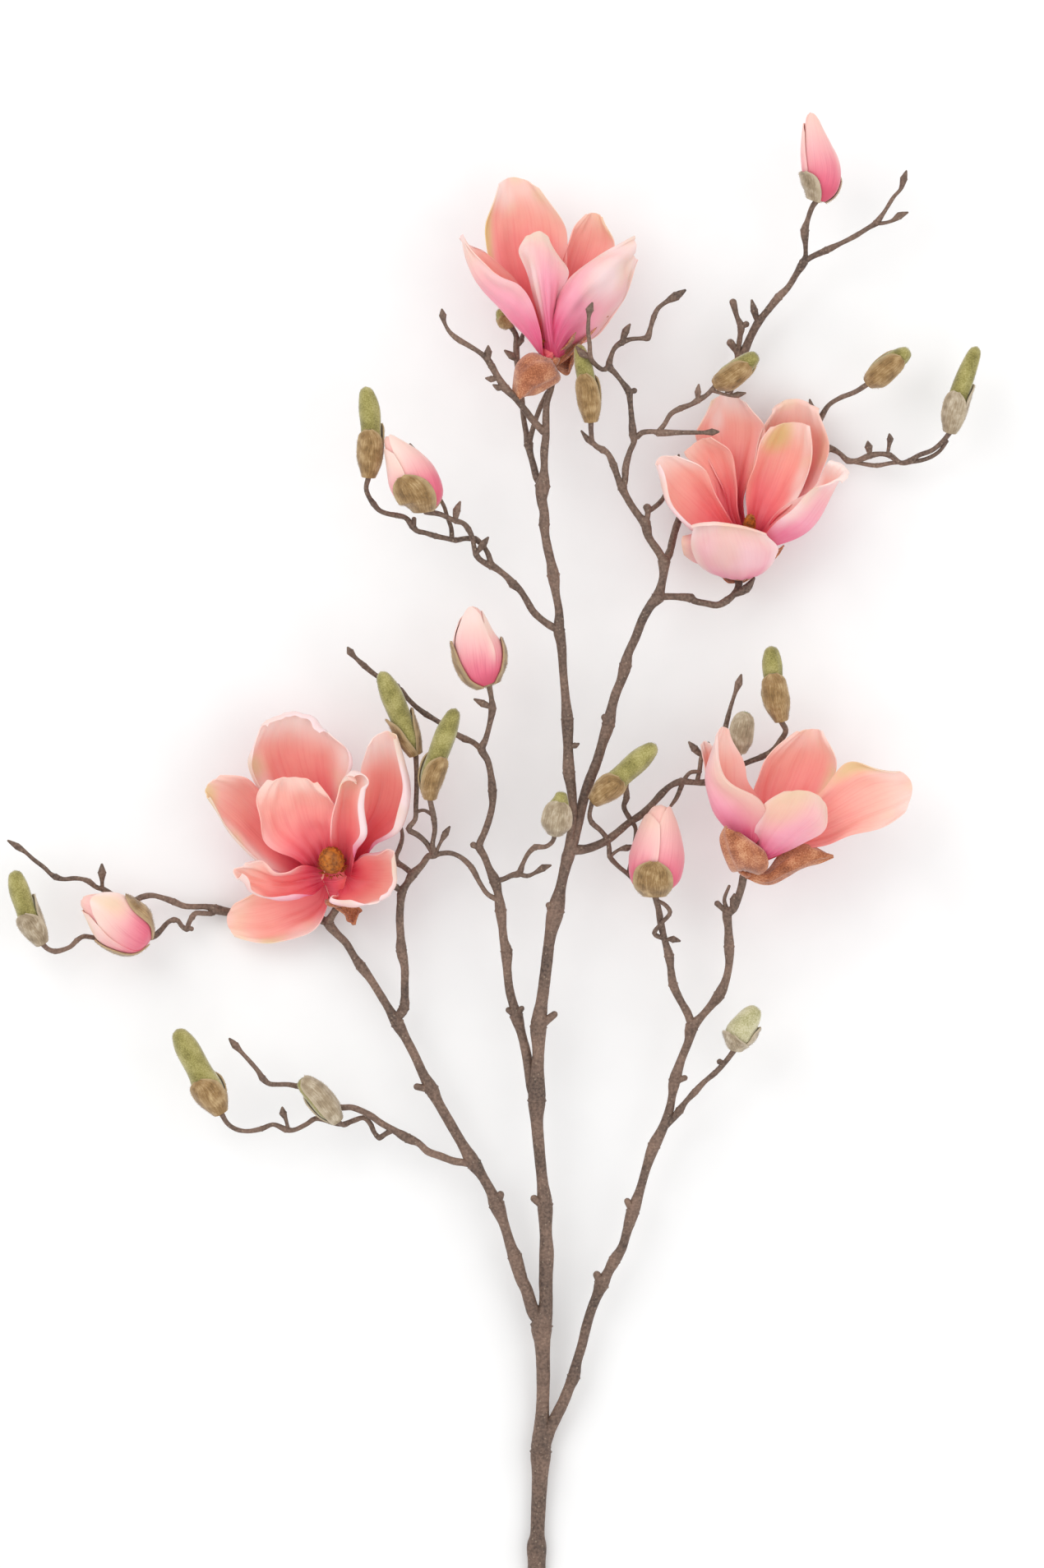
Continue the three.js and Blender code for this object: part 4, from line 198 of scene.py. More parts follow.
# Twigs that carry blooms and buds.
TWIGS = {
    "to_upper_right_bloom": [
        [400, 363.5, 45, 6], [404, 363, 44, 4.4], [411, 363, 42, 4.2], [420.5, 364, 40, 5.4],
        [422.5, 365.5, 39.5, 4.4], [429.5, 367, 38, 4], [436.5, 368, 36, 4.2], [442.5, 365, 34, 4.8],
        [446.5, 361.5, 31, 4], [449.5, 356.5, 28, 4.5], [449.5, 352, 26, 5],
    ],
    "behind_upper_right_bloom": [
        [404, 341.5, 40, 6], [407, 337, 36, 5], [409.5, 327.5, 28, 4.6], [411.5, 320.5, 22],
        [417.5, 305, 13, 4.4], [424, 290, 8, 5.4], [431, 272.5, 6, 4.4], [438, 255, 7, 4.6],
        [444, 237.5, 10], [448.5, 222.5, 15, 5], [453.5, 212, 19, 5.6], [457, 204, 22, 4.8],
        [461.5, 195.5, 25, 5.2], [467.5, 188, 28, 4.4], [474, 180, 31, 5.2], [479.5, 174.5, 33, 4],
        [484.5, 166.5, 36, 4], [489, 159, 39, 5.4], [490, 156, 40, 3.2], [490, 149.5, 43, 3],
        [489.5, 140, 46, 5.4], [491, 134.5, 47, 3.2], [494, 126, 50, 3.4], [496.5, 122.5, 51, 3.6],
    ],
    "top_right": [
        [489, 159, 39, 4], [494, 156, 40, 3.4], [503, 152, 42, 4.4], [511.5, 148, 44, 3],
        [519.5, 144, 46, 3.2], [528.5, 138.5, 48, 3], [532.5, 136, 49, 4], [537.5, 129.5, 51, 2.6],
        [543.5, 120, 53, 2.4], [547.5, 115.5, 54, 2.4], [549.5, 109, 55, 4.4], [551, 104.5, 56, 1.2],
    ],
    "far_right": [
        [424, 290, 8, 4.4], [440, 287.5, 4.5, 4.2], [460, 285, 1.6, 4.6], [480, 280, 1.6, 4.6],
        [495, 274.5, 5, 4], [505.5, 272, 9, 4.6], [511.5, 275, 11, 3], [516.5, 279.5, 13, 4],
        [522, 279.5, 15, 3.2], [530, 276.5, 17, 4], [536.5, 275.5, 19, 3], [542, 276.5, 20, 3.6],
        [548.5, 281, 21, 3], [554, 280, 23, 3.8], [559.5, 276.5, 25, 3], [567.5, 273.5, 28, 3],
        [574, 268, 31, 3], [578, 263, 33.5, 3.4],
    ],
    "far_right_below": [
        [576.5, 268, 31, 2.2], [571.5, 274.5, 27, 2.4], [564.5, 278.5, 24, 2.6], [555, 280.5, 22, 2.6],
        [543.5, 281, 19, 2.6], [534, 282.5, 16, 3], [526, 281.5, 14, 2.6], [517, 279.5, 13, 3],
    ],
    "right_outward": [
        [480, 280, 3, 3.6], [485, 274, 6, 3.2], [492.5, 265, 12, 3], [499.5, 254, 18, 4],
        [504.5, 246, 22, 3], [511.5, 241.5, 26, 3], [520.5, 238, 30, 3.2], [528.5, 233, 33.5, 3.4],
    ],
    "right_inward": [
        [404, 341.5, 40, 6], [400.5, 335.5, 42, 5], [394.5, 326.5, 44, 4.8], [392.5, 318.5, 46, 6.4],
        [389, 314.5, 47, 4.8], [384, 307.5, 48, 4.4], [379.5, 299.5, 50, 4.8], [378.5, 297, 50, 6],
        [376, 291.5, 52, 3.8], [373, 283, 54, 4.6], [369.5, 276, 56, 3.4], [366.5, 274, 57, 4.4],
        [361, 270.5, 58, 3], [359.5, 263.5, 60, 3], [359.3, 257, 62.5, 3.4],
    ],
    "right_inward_up": [
        [378.5, 297, 50, 5], [380, 292.5, 51, 4], [380.5, 284.5, 52, 4.4], [383, 275, 53, 3.6],
        [385.5, 269, 54, 3.6], [385, 265, 54, 5], [384, 253.5, 56, 3.4], [383, 243, 58, 3.6],
        [382.5, 239, 58, 4.6], [378, 232.5, 59, 3.2], [374, 227.5, 60, 3.4], [370.5, 223.5, 61, 4.6],
        [371.5, 217.5, 61, 3], [374, 212, 62, 3], [378, 209, 62, 4], [383.5, 207, 63, 2.8],
        [390.5, 206.5, 64, 2.8], [393.5, 206, 64, 4.4], [395.5, 200, 65, 2.8], [397.5, 193.5, 66, 3.4],
        [400, 188.5, 67, 2.8], [405, 184.5, 68, 3], [411, 181, 69, 5.6], [416.5, 177.5, 70, 1.6],
    ],
    "beside_top_bloom": [
        [370.5, 223.5, 61, 4], [367, 225.5, 63, 3], [362, 222.5, 68, 3], [359, 218.5, 74, 3.2],
        [358.5, 211, 79, 2.6], [357.5, 202, 83, 2.6], [358, 193.5, 85, 2.6], [358.5, 190, 86, 4.8],
        [360, 186, 87, 1.6],
    ],
    "across_upper_right_bloom": [
        [385, 265, 54, 4.4], [386.5, 266.5, 54, 4], [390.5, 263.5, 55, 3.4], [398.5, 263, 56, 3.2],
        [400, 263.5, 56, 4.4], [415, 263.5, 57, 3], [425, 263.5, 57, 2.6], [428.5, 263.5, 57, 2.6],
        [433, 263.2, 57, 4.2], [437, 263, 57, 1.4],
    ],
    "above_upper_right_bloom": [
        [400, 263.5, 56, 3.4], [404, 258.5, 54, 3], [408, 252, 51, 3], [414, 248.5, 48, 3.8],
        [420.5, 246, 46, 3], [424.5, 243.5, 44, 4], [429.5, 240.5, 42, 3], [435.5, 234.5, 40.5, 3.4],
    ],
    "rear_left_top": [
        [330, 296, 57, 5], [326.5, 291, 55, 4.5], [324.5, 283.5, 53, 4.2], [322.5, 276, 50, 4],
        [321.5, 270.5, 48, 5.5], [320, 263, 45, 3.6], [318.5, 254.5, 42, 3.4], [317.5, 243.5, 39],
        [316, 231, 36], [314.5, 219.5, 34], [314, 211, 33, 4], [314, 204, 33, 3.4],
        [311, 198.5, 34.5, 3.6],
    ],
    "rear_left_top_brace": [
        [321.5, 270.5, 48, 4], [323.5, 263, 48, 3.2], [326.5, 253.5, 50, 3.2], [329.5, 246, 54, 3],
        [333, 239, 59, 3],
    ],
    "diagonal_top": [
        [330.5, 263, 59.5, 4.5], [323.5, 255.5, 64], [318.5, 249, 67], [313.5, 243, 70, 4],
        [307.5, 237, 72, 5], [303, 230.5, 74, 4], [299, 223.5, 76, 4.6], [296, 219, 77, 4],
        [291, 215, 79, 3], [284.5, 211, 80], [278.5, 207.5, 81, 3.6], [273.5, 203, 82, 2.6],
        [270.5, 197.5, 83, 2.4], [269.5, 193, 83, 4.2], [269, 189.5, 83, 1.2],
    ],
    "mid_left": [
        [340, 383.5, 58, 5], [335, 381, 59, 4.6], [330.5, 378, 60, 4.2], [324.5, 372.5, 61, 4.4],
        [320, 365, 62, 4], [316, 359, 63, 4], [312, 355.5, 64, 5.6], [308.5, 351.5, 64.5, 4],
        [303, 347, 65, 4], [299, 344.5, 65.5, 5], [293.5, 342, 67, 3.4], [290, 338.5, 68, 3.8],
        [288.5, 333.5, 69, 3], [287.5, 328, 70, 3], [285, 322.5, 71, 3.8], [282, 319, 72, 3],
        [277.5, 317.5, 73, 3.4], [272.5, 315.5, 74, 3], [268, 313.5, 75, 3.2], [259, 312, 76.5, 3.6],
    ],
    "mid_left_outer": [
        [299, 344.5, 65.5, 4], [296.5, 336.5, 65, 3.2], [292.5, 331, 65, 3.2], [289, 328.5, 65, 4],
        [283, 328, 65, 3], [277.5, 329, 65, 3.4], [272, 328, 65, 3], [265, 326.5, 65, 3.6],
        [258.5, 324.5, 65, 3], [254, 323.5, 65, 3.2], [251, 320.5, 65, 4], [247, 315.5, 66, 3],
        [241.5, 314, 66, 3.4], [236, 313, 67, 3], [231, 311, 67, 3], [227.5, 307, 68, 3.6],
        [224.5, 302.5, 69, 3], [223, 297.5, 70, 3], [224.5, 291, 72, 3.4],
    ],
    "mid_left_behind": [
        [275, 328.5, 65, 3], [274.5, 321.5, 63, 2.8], [272, 314.5, 61, 2.6], [270, 308, 59, 2.4],
        [262, 295, 57, 2.4], [255, 281, 57, 2.4], [252, 275.5, 57, 4.4], [249.5, 270.5, 57, 1.4],
    ],
    "cross": [
        [348, 517, 50, 6.5], [356.5, 516.5, 47, 5.5], [368, 512, 44, 5], [375.5, 506.5, 43, 4.8],
        [382, 501, 42, 4.4], [391, 495, 40, 4.8], [398, 488, 39, 4.2], [402, 483.5, 39, 4.6],
        [408, 478, 40, 3.8], [414.5, 475.5, 41, 4.6], [422, 476, 41, 3.8], [429, 476, 40, 4.4],
        [437.5, 474, 38, 3.6], [445, 469, 37, 4.4], [450, 466, 36, 3.6], [457, 463, 36, 3.4],
        [463.5, 460.5, 36, 4], [470, 456.5, 37, 3.4], [474.5, 451, 39, 3.6], [478, 444.5, 42, 3.4],
        [475.5, 439.5, 44, 3.6],
    ],
    "cross_to_grey_bud": [
        [445, 469, 37, 3], [449, 463, 37, 3], [450, 458, 38.5, 3],
    ],
    "cross_upright": [
        [437.5, 474, 38, 3], [438, 462, 36, 2.8], [440, 452.5, 34, 2.8], [441.5, 442.5, 32, 3.4],
        [444.5, 430.5, 33, 2.6], [447.5, 421, 35, 2.6], [449.5, 415.5, 36, 4.6], [451, 410.5, 37, 1.4],
    ],
    "cross_loop": [
        [415.5, 475, 41, 2.6], [420, 470, 44, 2.6], [426, 469.5, 43, 2.6],
    ],
    "cross_tip": [
        [424, 475.5, 41, 3], [425.5, 469, 42, 2.8], [427, 460, 42, 2.8], [429.5, 457.5, 40, 2.6],
        [431, 452, 38, 2],
    ],
    "cross_lower": [
        [415, 477, 41, 3], [411.5, 485.5, 38, 2.8], [408, 490.5, 36, 2],
    ],
    "to_broad_bud": [
        [369.5, 510.5, 44, 3.4], [365.5, 505.5, 49, 3], [360, 500.5, 54, 3.4], [358.5, 496.5, 57, 2.8],
        [360, 488, 61.5, 3],
    ],
    "below_cross": [
        [369.5, 510.5, 44, 3.4], [370.5, 515.5, 43, 3], [371, 521, 42, 3.4], [375.5, 526.5, 38, 3],
        [382, 532, 35, 2.8], [387, 537.5, 34, 2],
    ],
    "below_cross_tip": [
        [371, 521, 42, 2.4], [376.5, 517, 43, 2.2], [381.5, 515.8, 43.5, 4.2], [385.5, 514.5, 44, 1.2],
    ],
    "across_cross_up": [
        [384, 499.5, 41, 3.4], [379.5, 491, 43, 3], [381, 485.5, 45, 4], [381, 478, 47, 2.8],
        [383, 470, 49, 1.8],
    ],
    "across_cross_down": [
        [384, 499.5, 41, 3.4], [386.5, 503.5, 39, 2.6], [386, 513, 36, 2.4], [382, 532, 34.6, 2.4],
    ],
    "centre_left": [
        [293, 456, 54, 4], [287.5, 451.5, 51, 3.4], [282.5, 449.5, 48, 4.4], [276.5, 446, 44, 3.2],
        [269.5, 441, 41, 3.2], [264, 437.5, 39, 3.2], [259, 434.5, 37, 3.6], [253, 430, 36, 3],
        [247.5, 424.5, 36, 3], [243.5, 420, 37, 3.8], [236, 415.5, 38, 2.8], [227.5, 410, 39, 3],
        [221.5, 405, 41, 3.6], [216, 400, 43, 2.6], [213, 396.5, 44, 4.4], [211.5, 394, 44.5, 1.4],
    ],
    "to_round_bud": [
        [301, 536, 38, 4], [306, 535, 40, 3.2], [311.5, 532.5, 42, 3.4], [315.5, 531.5, 43, 4.4],
        [318, 525.5, 46, 3], [321.5, 519, 50, 3], [325.5, 515.5, 53, 3.8], [332, 515, 57, 2.8],
        [336, 512, 60, 2.8], [337.5, 507.5, 63.5, 3],
    ],
    "below_round_bud": [
        [315.5, 531.5, 43, 3.4], [320.5, 533, 44, 2.8], [325.5, 531, 46, 2.6], [330.5, 528, 47, 4.4],
        [335, 526.5, 48, 1.4],
    ],
    "left_arc": [
        [303.5, 548, 37, 3.4], [296.5, 544, 37, 3], [292, 537.5, 37.5, 3], [286.5, 527.5, 38, 3.8],
        [280, 521.5, 38.5, 3], [273.5, 519, 39, 3], [267, 519.5, 39.5, 3.4], [264, 520, 40, 5],
    ],
    "left_riser": [
        [241.5, 620, 22.5, 5], [245.5, 613.5, 23, 6.4], [246, 606.5, 24, 5], [246, 598.5, 25, 5],
        [246, 589, 26, 5], [244, 578.5, 27, 6.6], [243.5, 569, 28, 5], [243, 560, 29, 5],
        [243.5, 549.5, 30, 4.8], [244.5, 542.5, 30.5, 5.6], [247.5, 537.5, 31, 4.4], [251, 532, 32, 6],
        [256.5, 526.5, 35, 4], [260.5, 521, 38, 4], [264, 520, 40, 5], [263, 514.5, 43, 3.2],
        [264.5, 505, 48, 3], [264, 498.5, 52, 3.6], [261.5, 486, 58.5, 3.2],
    ],
    "left_riser_short": [
        [251, 532, 32, 4], [245.5, 527.5, 28, 3.4], [241.5, 525, 25, 4], [240.5, 522, 23, 3],
        [243, 515.5, 21, 3], [244.5, 509, 20, 2.4], [243, 500, 20, 1.8],
    ],
    "to_slim_bud": [
        [264, 520, 40, 4], [259, 512.5, 42, 3.2], [254, 508, 43, 3.4], [248.5, 504.5, 44, 3.6],
        [252.5, 498.5, 45, 3], [253, 489.5, 46, 3], [253.5, 475, 47, 3], [253, 459.5, 49, 3.4],
    ],
    "slim_bud_link": [
        [253, 494, 45.5, 2.4], [258, 493, 49, 2.2], [264, 496.5, 52.5, 2.4],
    ],
    "lower_left": [
        [288.5, 709, 24, 5.5], [283, 708, 25, 4.8], [276, 707, 26, 4.6], [268, 704, 27, 4.8],
        [260, 701, 28, 4.4], [254.5, 696, 29, 4.4], [248, 693, 30, 6], [238.5, 687.5, 31, 4],
        [231.5, 683.5, 32, 4.2], [226, 679.5, 33, 4.2], [220.5, 676.5, 33.5, 4], [213.5, 674, 34, 3.8],
        [207, 674, 34, 3.8], [198, 670, 32, 3.4], [187.5, 663.5, 32, 3], [180, 661, 34, 3.4],
        [174.5, 660, 36, 3], [168, 660, 37, 3], [163.5, 659.5, 38, 3.2], [159.5, 656, 39, 4],
        [157, 652, 40, 3], [152, 646, 41, 2.8], [147, 640.5, 42, 2.6], [143, 636, 43, 4.6],
        [139.5, 632, 44, 1.4],
    ],
    "lower_left_below": [
        [238, 688, 31, 4], [234, 690.5, 30, 3.2], [230.5, 692.5, 29, 3.6], [227.5, 689.5, 28.5, 3],
        [225, 684, 28, 3.4], [221, 680.5, 28, 3.2], [215.5, 682, 28, 3.4], [210, 684, 28, 3.2],
        [206, 684.5, 27, 3], [192, 681, 26, 3.2], [186, 684.5, 28, 3], [178, 688, 30, 3],
        [173.5, 687.5, 31, 4], [166, 684.5, 32, 2.8], [159, 687, 33, 3.4], [151, 688.5, 34, 2.8],
        [144, 687.5, 36, 3], [138.5, 684, 38, 3], [134.5, 677.5, 41, 3.4],
    ],
    "to_grey_horn": [
        [212, 683.5, 28, 3], [209, 685, 32, 2.8], [205.5, 682.5, 37, 3],
    ],
    "far_left": [
        [199.5, 562, 12, 5], [193.5, 559.5, 9, 5.4], [180, 558.5, 4, 4.6], [167.5, 558, 1.5, 4.8],
        [152.5, 556.5, 1.5, 4.8], [139.5, 555.5, 5, 5], [130, 553.5, 8, 6], [124.5, 552, 9, 3.6],
        [118, 552, 11, 3.6], [111, 551.5, 13, 3.6], [105, 549, 14, 4.4], [98, 546.5, 16, 3.4],
        [91.5, 545, 18, 3.4], [85.5, 546, 19, 3.8], [80.5, 548, 20, 3.2], [71, 546, 21, 3],
        [61.5, 541, 23, 3.6], [58, 540, 24, 3], [53.5, 536.5, 26, 3.6], [49.5, 535, 27, 2.8],
        [44.5, 534.5, 28, 3], [38, 535, 29, 2.8], [33, 533.5, 30, 4], [30.5, 532, 31, 2.8],
        [26.5, 528, 32, 2.8], [20, 523, 33, 2.6], [15, 518.5, 34, 2.6], [10, 515, 35, 4.2],
        [4.5, 511.5, 36, 1.4],
    ],
    "far_left_lower": [
        [130, 554.5, 8, 4], [128, 556, 9, 3.6], [122.5, 556, 11, 3.2], [118, 556, 12, 3.2],
        [116, 558.5, 13, 3.6], [114, 562, 14, 3], [113, 565.5, 15, 3.8], [110, 564, 16, 3],
        [107.5, 560.5, 17, 3], [105, 560, 18, 3.6], [102, 561, 19, 3], [99, 564, 21, 3],
        [96.5, 567.5, 25, 3], [93.5, 570, 30, 3.4], [90, 570.5, 34, 3.6],
    ],
    "far_left_lowest": [
        [98, 565.5, 21.5, 3], [90, 571, 20, 2.8], [75, 572, 19, 2.8], [59, 571, 21, 3.4],
        [55, 570.5, 23, 3], [50, 570, 25, 3], [46, 572.5, 26, 3.4], [42.5, 576, 27, 3], [38, 578, 28, 3],
        [33, 579, 29, 3.4], [28.5, 577.5, 31, 3], [25.5, 574.5, 33, 3.2],
    ],
    "to_low_pink_bud": [
        [421, 625, 34, 5], [418.5, 617, 35, 5], [413.5, 608, 36.5, 4.6], [409.5, 599, 38, 5.4],
        [408, 589, 39.5, 4.4], [407, 581.5, 41, 5.8], [404.5, 572.5, 43, 4], [402, 562, 46, 4.4],
        [400.5, 553, 49, 3.8], [398, 543.5, 53.5, 4],
    ],
    "curl": [
        [405, 571.5, 43, 3], [398, 568, 46, 3], [403, 561, 50.5, 2.6], [407.5, 555, 53, 2.8],
        [404.5, 550.5, 53, 2.6], [400, 548, 52, 2.4],
    ],
    "curl_bud": [
        [404.5, 573, 43, 2.4], [406.5, 571.5, 46, 2.4], [409.5, 571.5, 48, 4.2], [413.5, 572.5, 48, 1.4],
    ],
    "right_limb_thin": [
        [442.5, 554, 47, 2.8], [440.5, 547.5, 49, 2.4], [443.5, 539, 49, 1.8],
    ],
    "to_low_right_bud": [
        [403, 687.5, 28, 4], [409.5, 681, 29, 4], [413.5, 676, 30, 5], [417, 671, 31, 3.4],
        [423, 664.5, 32, 4.4], [428.5, 658.5, 33.5, 3.2], [435, 653, 35, 3.6], [441.5, 646, 38, 3.2],
        [447, 638.5, 41, 3.6],
    ],
}

# Short spurs, leaf scars and small side buds on the twigs.
SPURS = [
    [[331.5, 735, 25, 6], [324.5, 729.5, 27, 4.6]],
    [[327.5, 625, 37.5, 6], [337.5, 617, 40, 4.2]],
    [[338, 554, 46, 6], [333.5, 550.5, 48, 4]],
    [[345.5, 454, 55, 3], [350, 453.5, 56, 3.6], [352, 452.5, 56, 1.4]],
    [[370, 441, 48, 5], [367.5, 436, 49, 4.2]],
    [[302, 733.5, 23, 6], [304.5, 727, 26, 4.6]],
    [[262.5, 663.5, 24, 5.4], [253, 661.5, 26, 4]],
    [[314, 618, 31, 5], [309, 614.5, 33, 3.6]],
    [[314, 618, 31, 5], [317.5, 613.5, 33, 3.4]],
    [[291.5, 515.5, 41, 3.6], [287.5, 514, 42, 4]],
    [[366, 782.5, 19.5, 6], [363, 776, 22, 4.6]],
    [[385, 738, 24, 5], [381.5, 731, 27, 4]],
    [[410.5, 658, 31, 4.6], [417, 656, 33, 3.6]],
    [[442.5, 555.5, 47, 3], [436, 549.5, 49, 3.8]],
    [[446, 553, 49, 4], [446.5, 547, 51, 5.2], [446.5, 544, 52, 1.6]],
    [[440.5, 647, 37, 2.6], [437.5, 646, 38, 3.6]],
    [[244.5, 542.5, 30, 2.4], [240.5, 539.5, 31, 4], [239.5, 536.5, 31, 1.4]],
    [[265, 519, 40, 2.4], [268, 512.5, 43, 2.2], [271, 507, 44, 4], [273.5, 503, 45, 1.4]],
    [[299, 430.5, 57, 2.4], [293.5, 428, 58, 4.4], [288.5, 425.5, 58, 1.4]],
    [[243.5, 421, 37, 2.4], [241, 417.5, 38, 4.4], [239, 415, 39, 1.4]],
    [[175, 687, 31, 2.4], [173.5, 681, 33, 2.4], [172, 677.5, 34, 4.6], [171.5, 674, 35, 1.4]],
    [[61.5, 541, 23, 2.4], [61.5, 536, 26, 2.6], [61.5, 531, 28, 5], [61.5, 526, 30, 1.6]],
    [[112.5, 564.5, 15, 2.6], [116, 565.5, 17, 3]],
    [[314.5, 219, 34, 2.2], [311, 216, 35, 4.5], [307, 213, 36, 1.5]],
    [[314, 211, 33, 2.2], [317, 206.5, 34, 3.6], [318.5, 201, 35, 1.2]],
    [[297, 221, 77, 2.4], [297, 215, 78, 4.4], [297, 211.5, 78, 1.2]],
    [[303, 231, 74, 2.2], [298.5, 231.5, 75, 3.8], [295.5, 231, 75, 1.2]],
    [[307, 236.5, 72, 2.2], [303, 236.5, 73, 4], [300, 235, 73, 1.2]],
    [[445, 362.5, 32, 2.6], [454, 358, 32, 5.4], [459, 351.5, 33, 1.6]],
    [[532, 136, 49, 3], [536.5, 136, 49.5, 2.4], [542.5, 134.5, 50, 2.4], [547, 131.5, 50.5, 4.4],
     [552, 129.5, 51, 1.2]],
    [[461, 195, 25, 2.6], [459, 188, 27, 4.4], [457.5, 182, 28, 1.4]],
    [[449.5, 217.5, 17, 4.6], [449, 214, 19, 4.2], [444.5, 207.5, 22, 5]],
    [[449, 214, 19, 3.6], [450.5, 204, 23, 3.4], [451, 198, 26, 4.6], [448.5, 192, 28, 3.2],
     [446, 183, 31, 4.6]],
    [[451, 198, 26, 3], [454.5, 196.5, 27, 4]],
    [[530, 276.5, 17, 2.4], [529, 271, 18, 4.6], [528.5, 268, 18.5, 1.4]],
    [[540.5, 276, 20, 2], [541.5, 270, 22, 2.6], [542, 266.5, 23, 4], [541.5, 263.5, 24, 1.2]],
    [[499, 253.5, 18, 2.4], [494.5, 247.5, 21, 3.8], [493, 242.5, 23, 1.2]],
    [[393, 318.5, 46, 4], [394, 312, 48, 3.6], [393.5, 308.5, 49, 5]],
    [[393.5, 312, 47, 3], [402, 305, 42, 3], [407.5, 295, 36, 2.8], [411.5, 285, 32, 2.6],
     [413, 276.5, 30, 1.6]],
    [[365.5, 273.5, 57, 2.2], [357.5, 267.5, 57, 3.8], [353.5, 262.5, 57, 1.2]],
    [[378, 209, 62, 2.4], [380.5, 202, 63, 4.4], [383, 198, 64, 1.4]],
    [[382.5, 239, 58, 3], [386, 238, 59, 3.4]],
    [[359.3, 218.5, 74, 2.2], [354, 216, 75, 4.4], [350.5, 212, 76, 1.4]],
    [[424.5, 243.5, 44, 2.2], [424.5, 238.5, 45, 3.8], [425, 234, 46, 1.2]],
    [[433, 237.5, 41, 2.2], [444, 240.5, 41, 2], [449, 240, 41, 3.8], [453.5, 239, 41, 1.2]],
    [[252, 322, 65, 2.6], [252, 316, 66, 3.2]],
    [[277, 317.5, 73, 2.4], [278, 311, 74, 4.6], [280, 306, 75, 1.4]],
    [[290, 337, 68.5, 2.2], [294, 331.5, 69.5, 4.4], [297, 327.5, 70, 1.4]],
    [[427, 460, 42, 2.2], [422.5, 455.5, 43, 4.8], [419, 451.5, 44, 1.4]],
]

# ------------------------------------------------------------------ blooms and buds

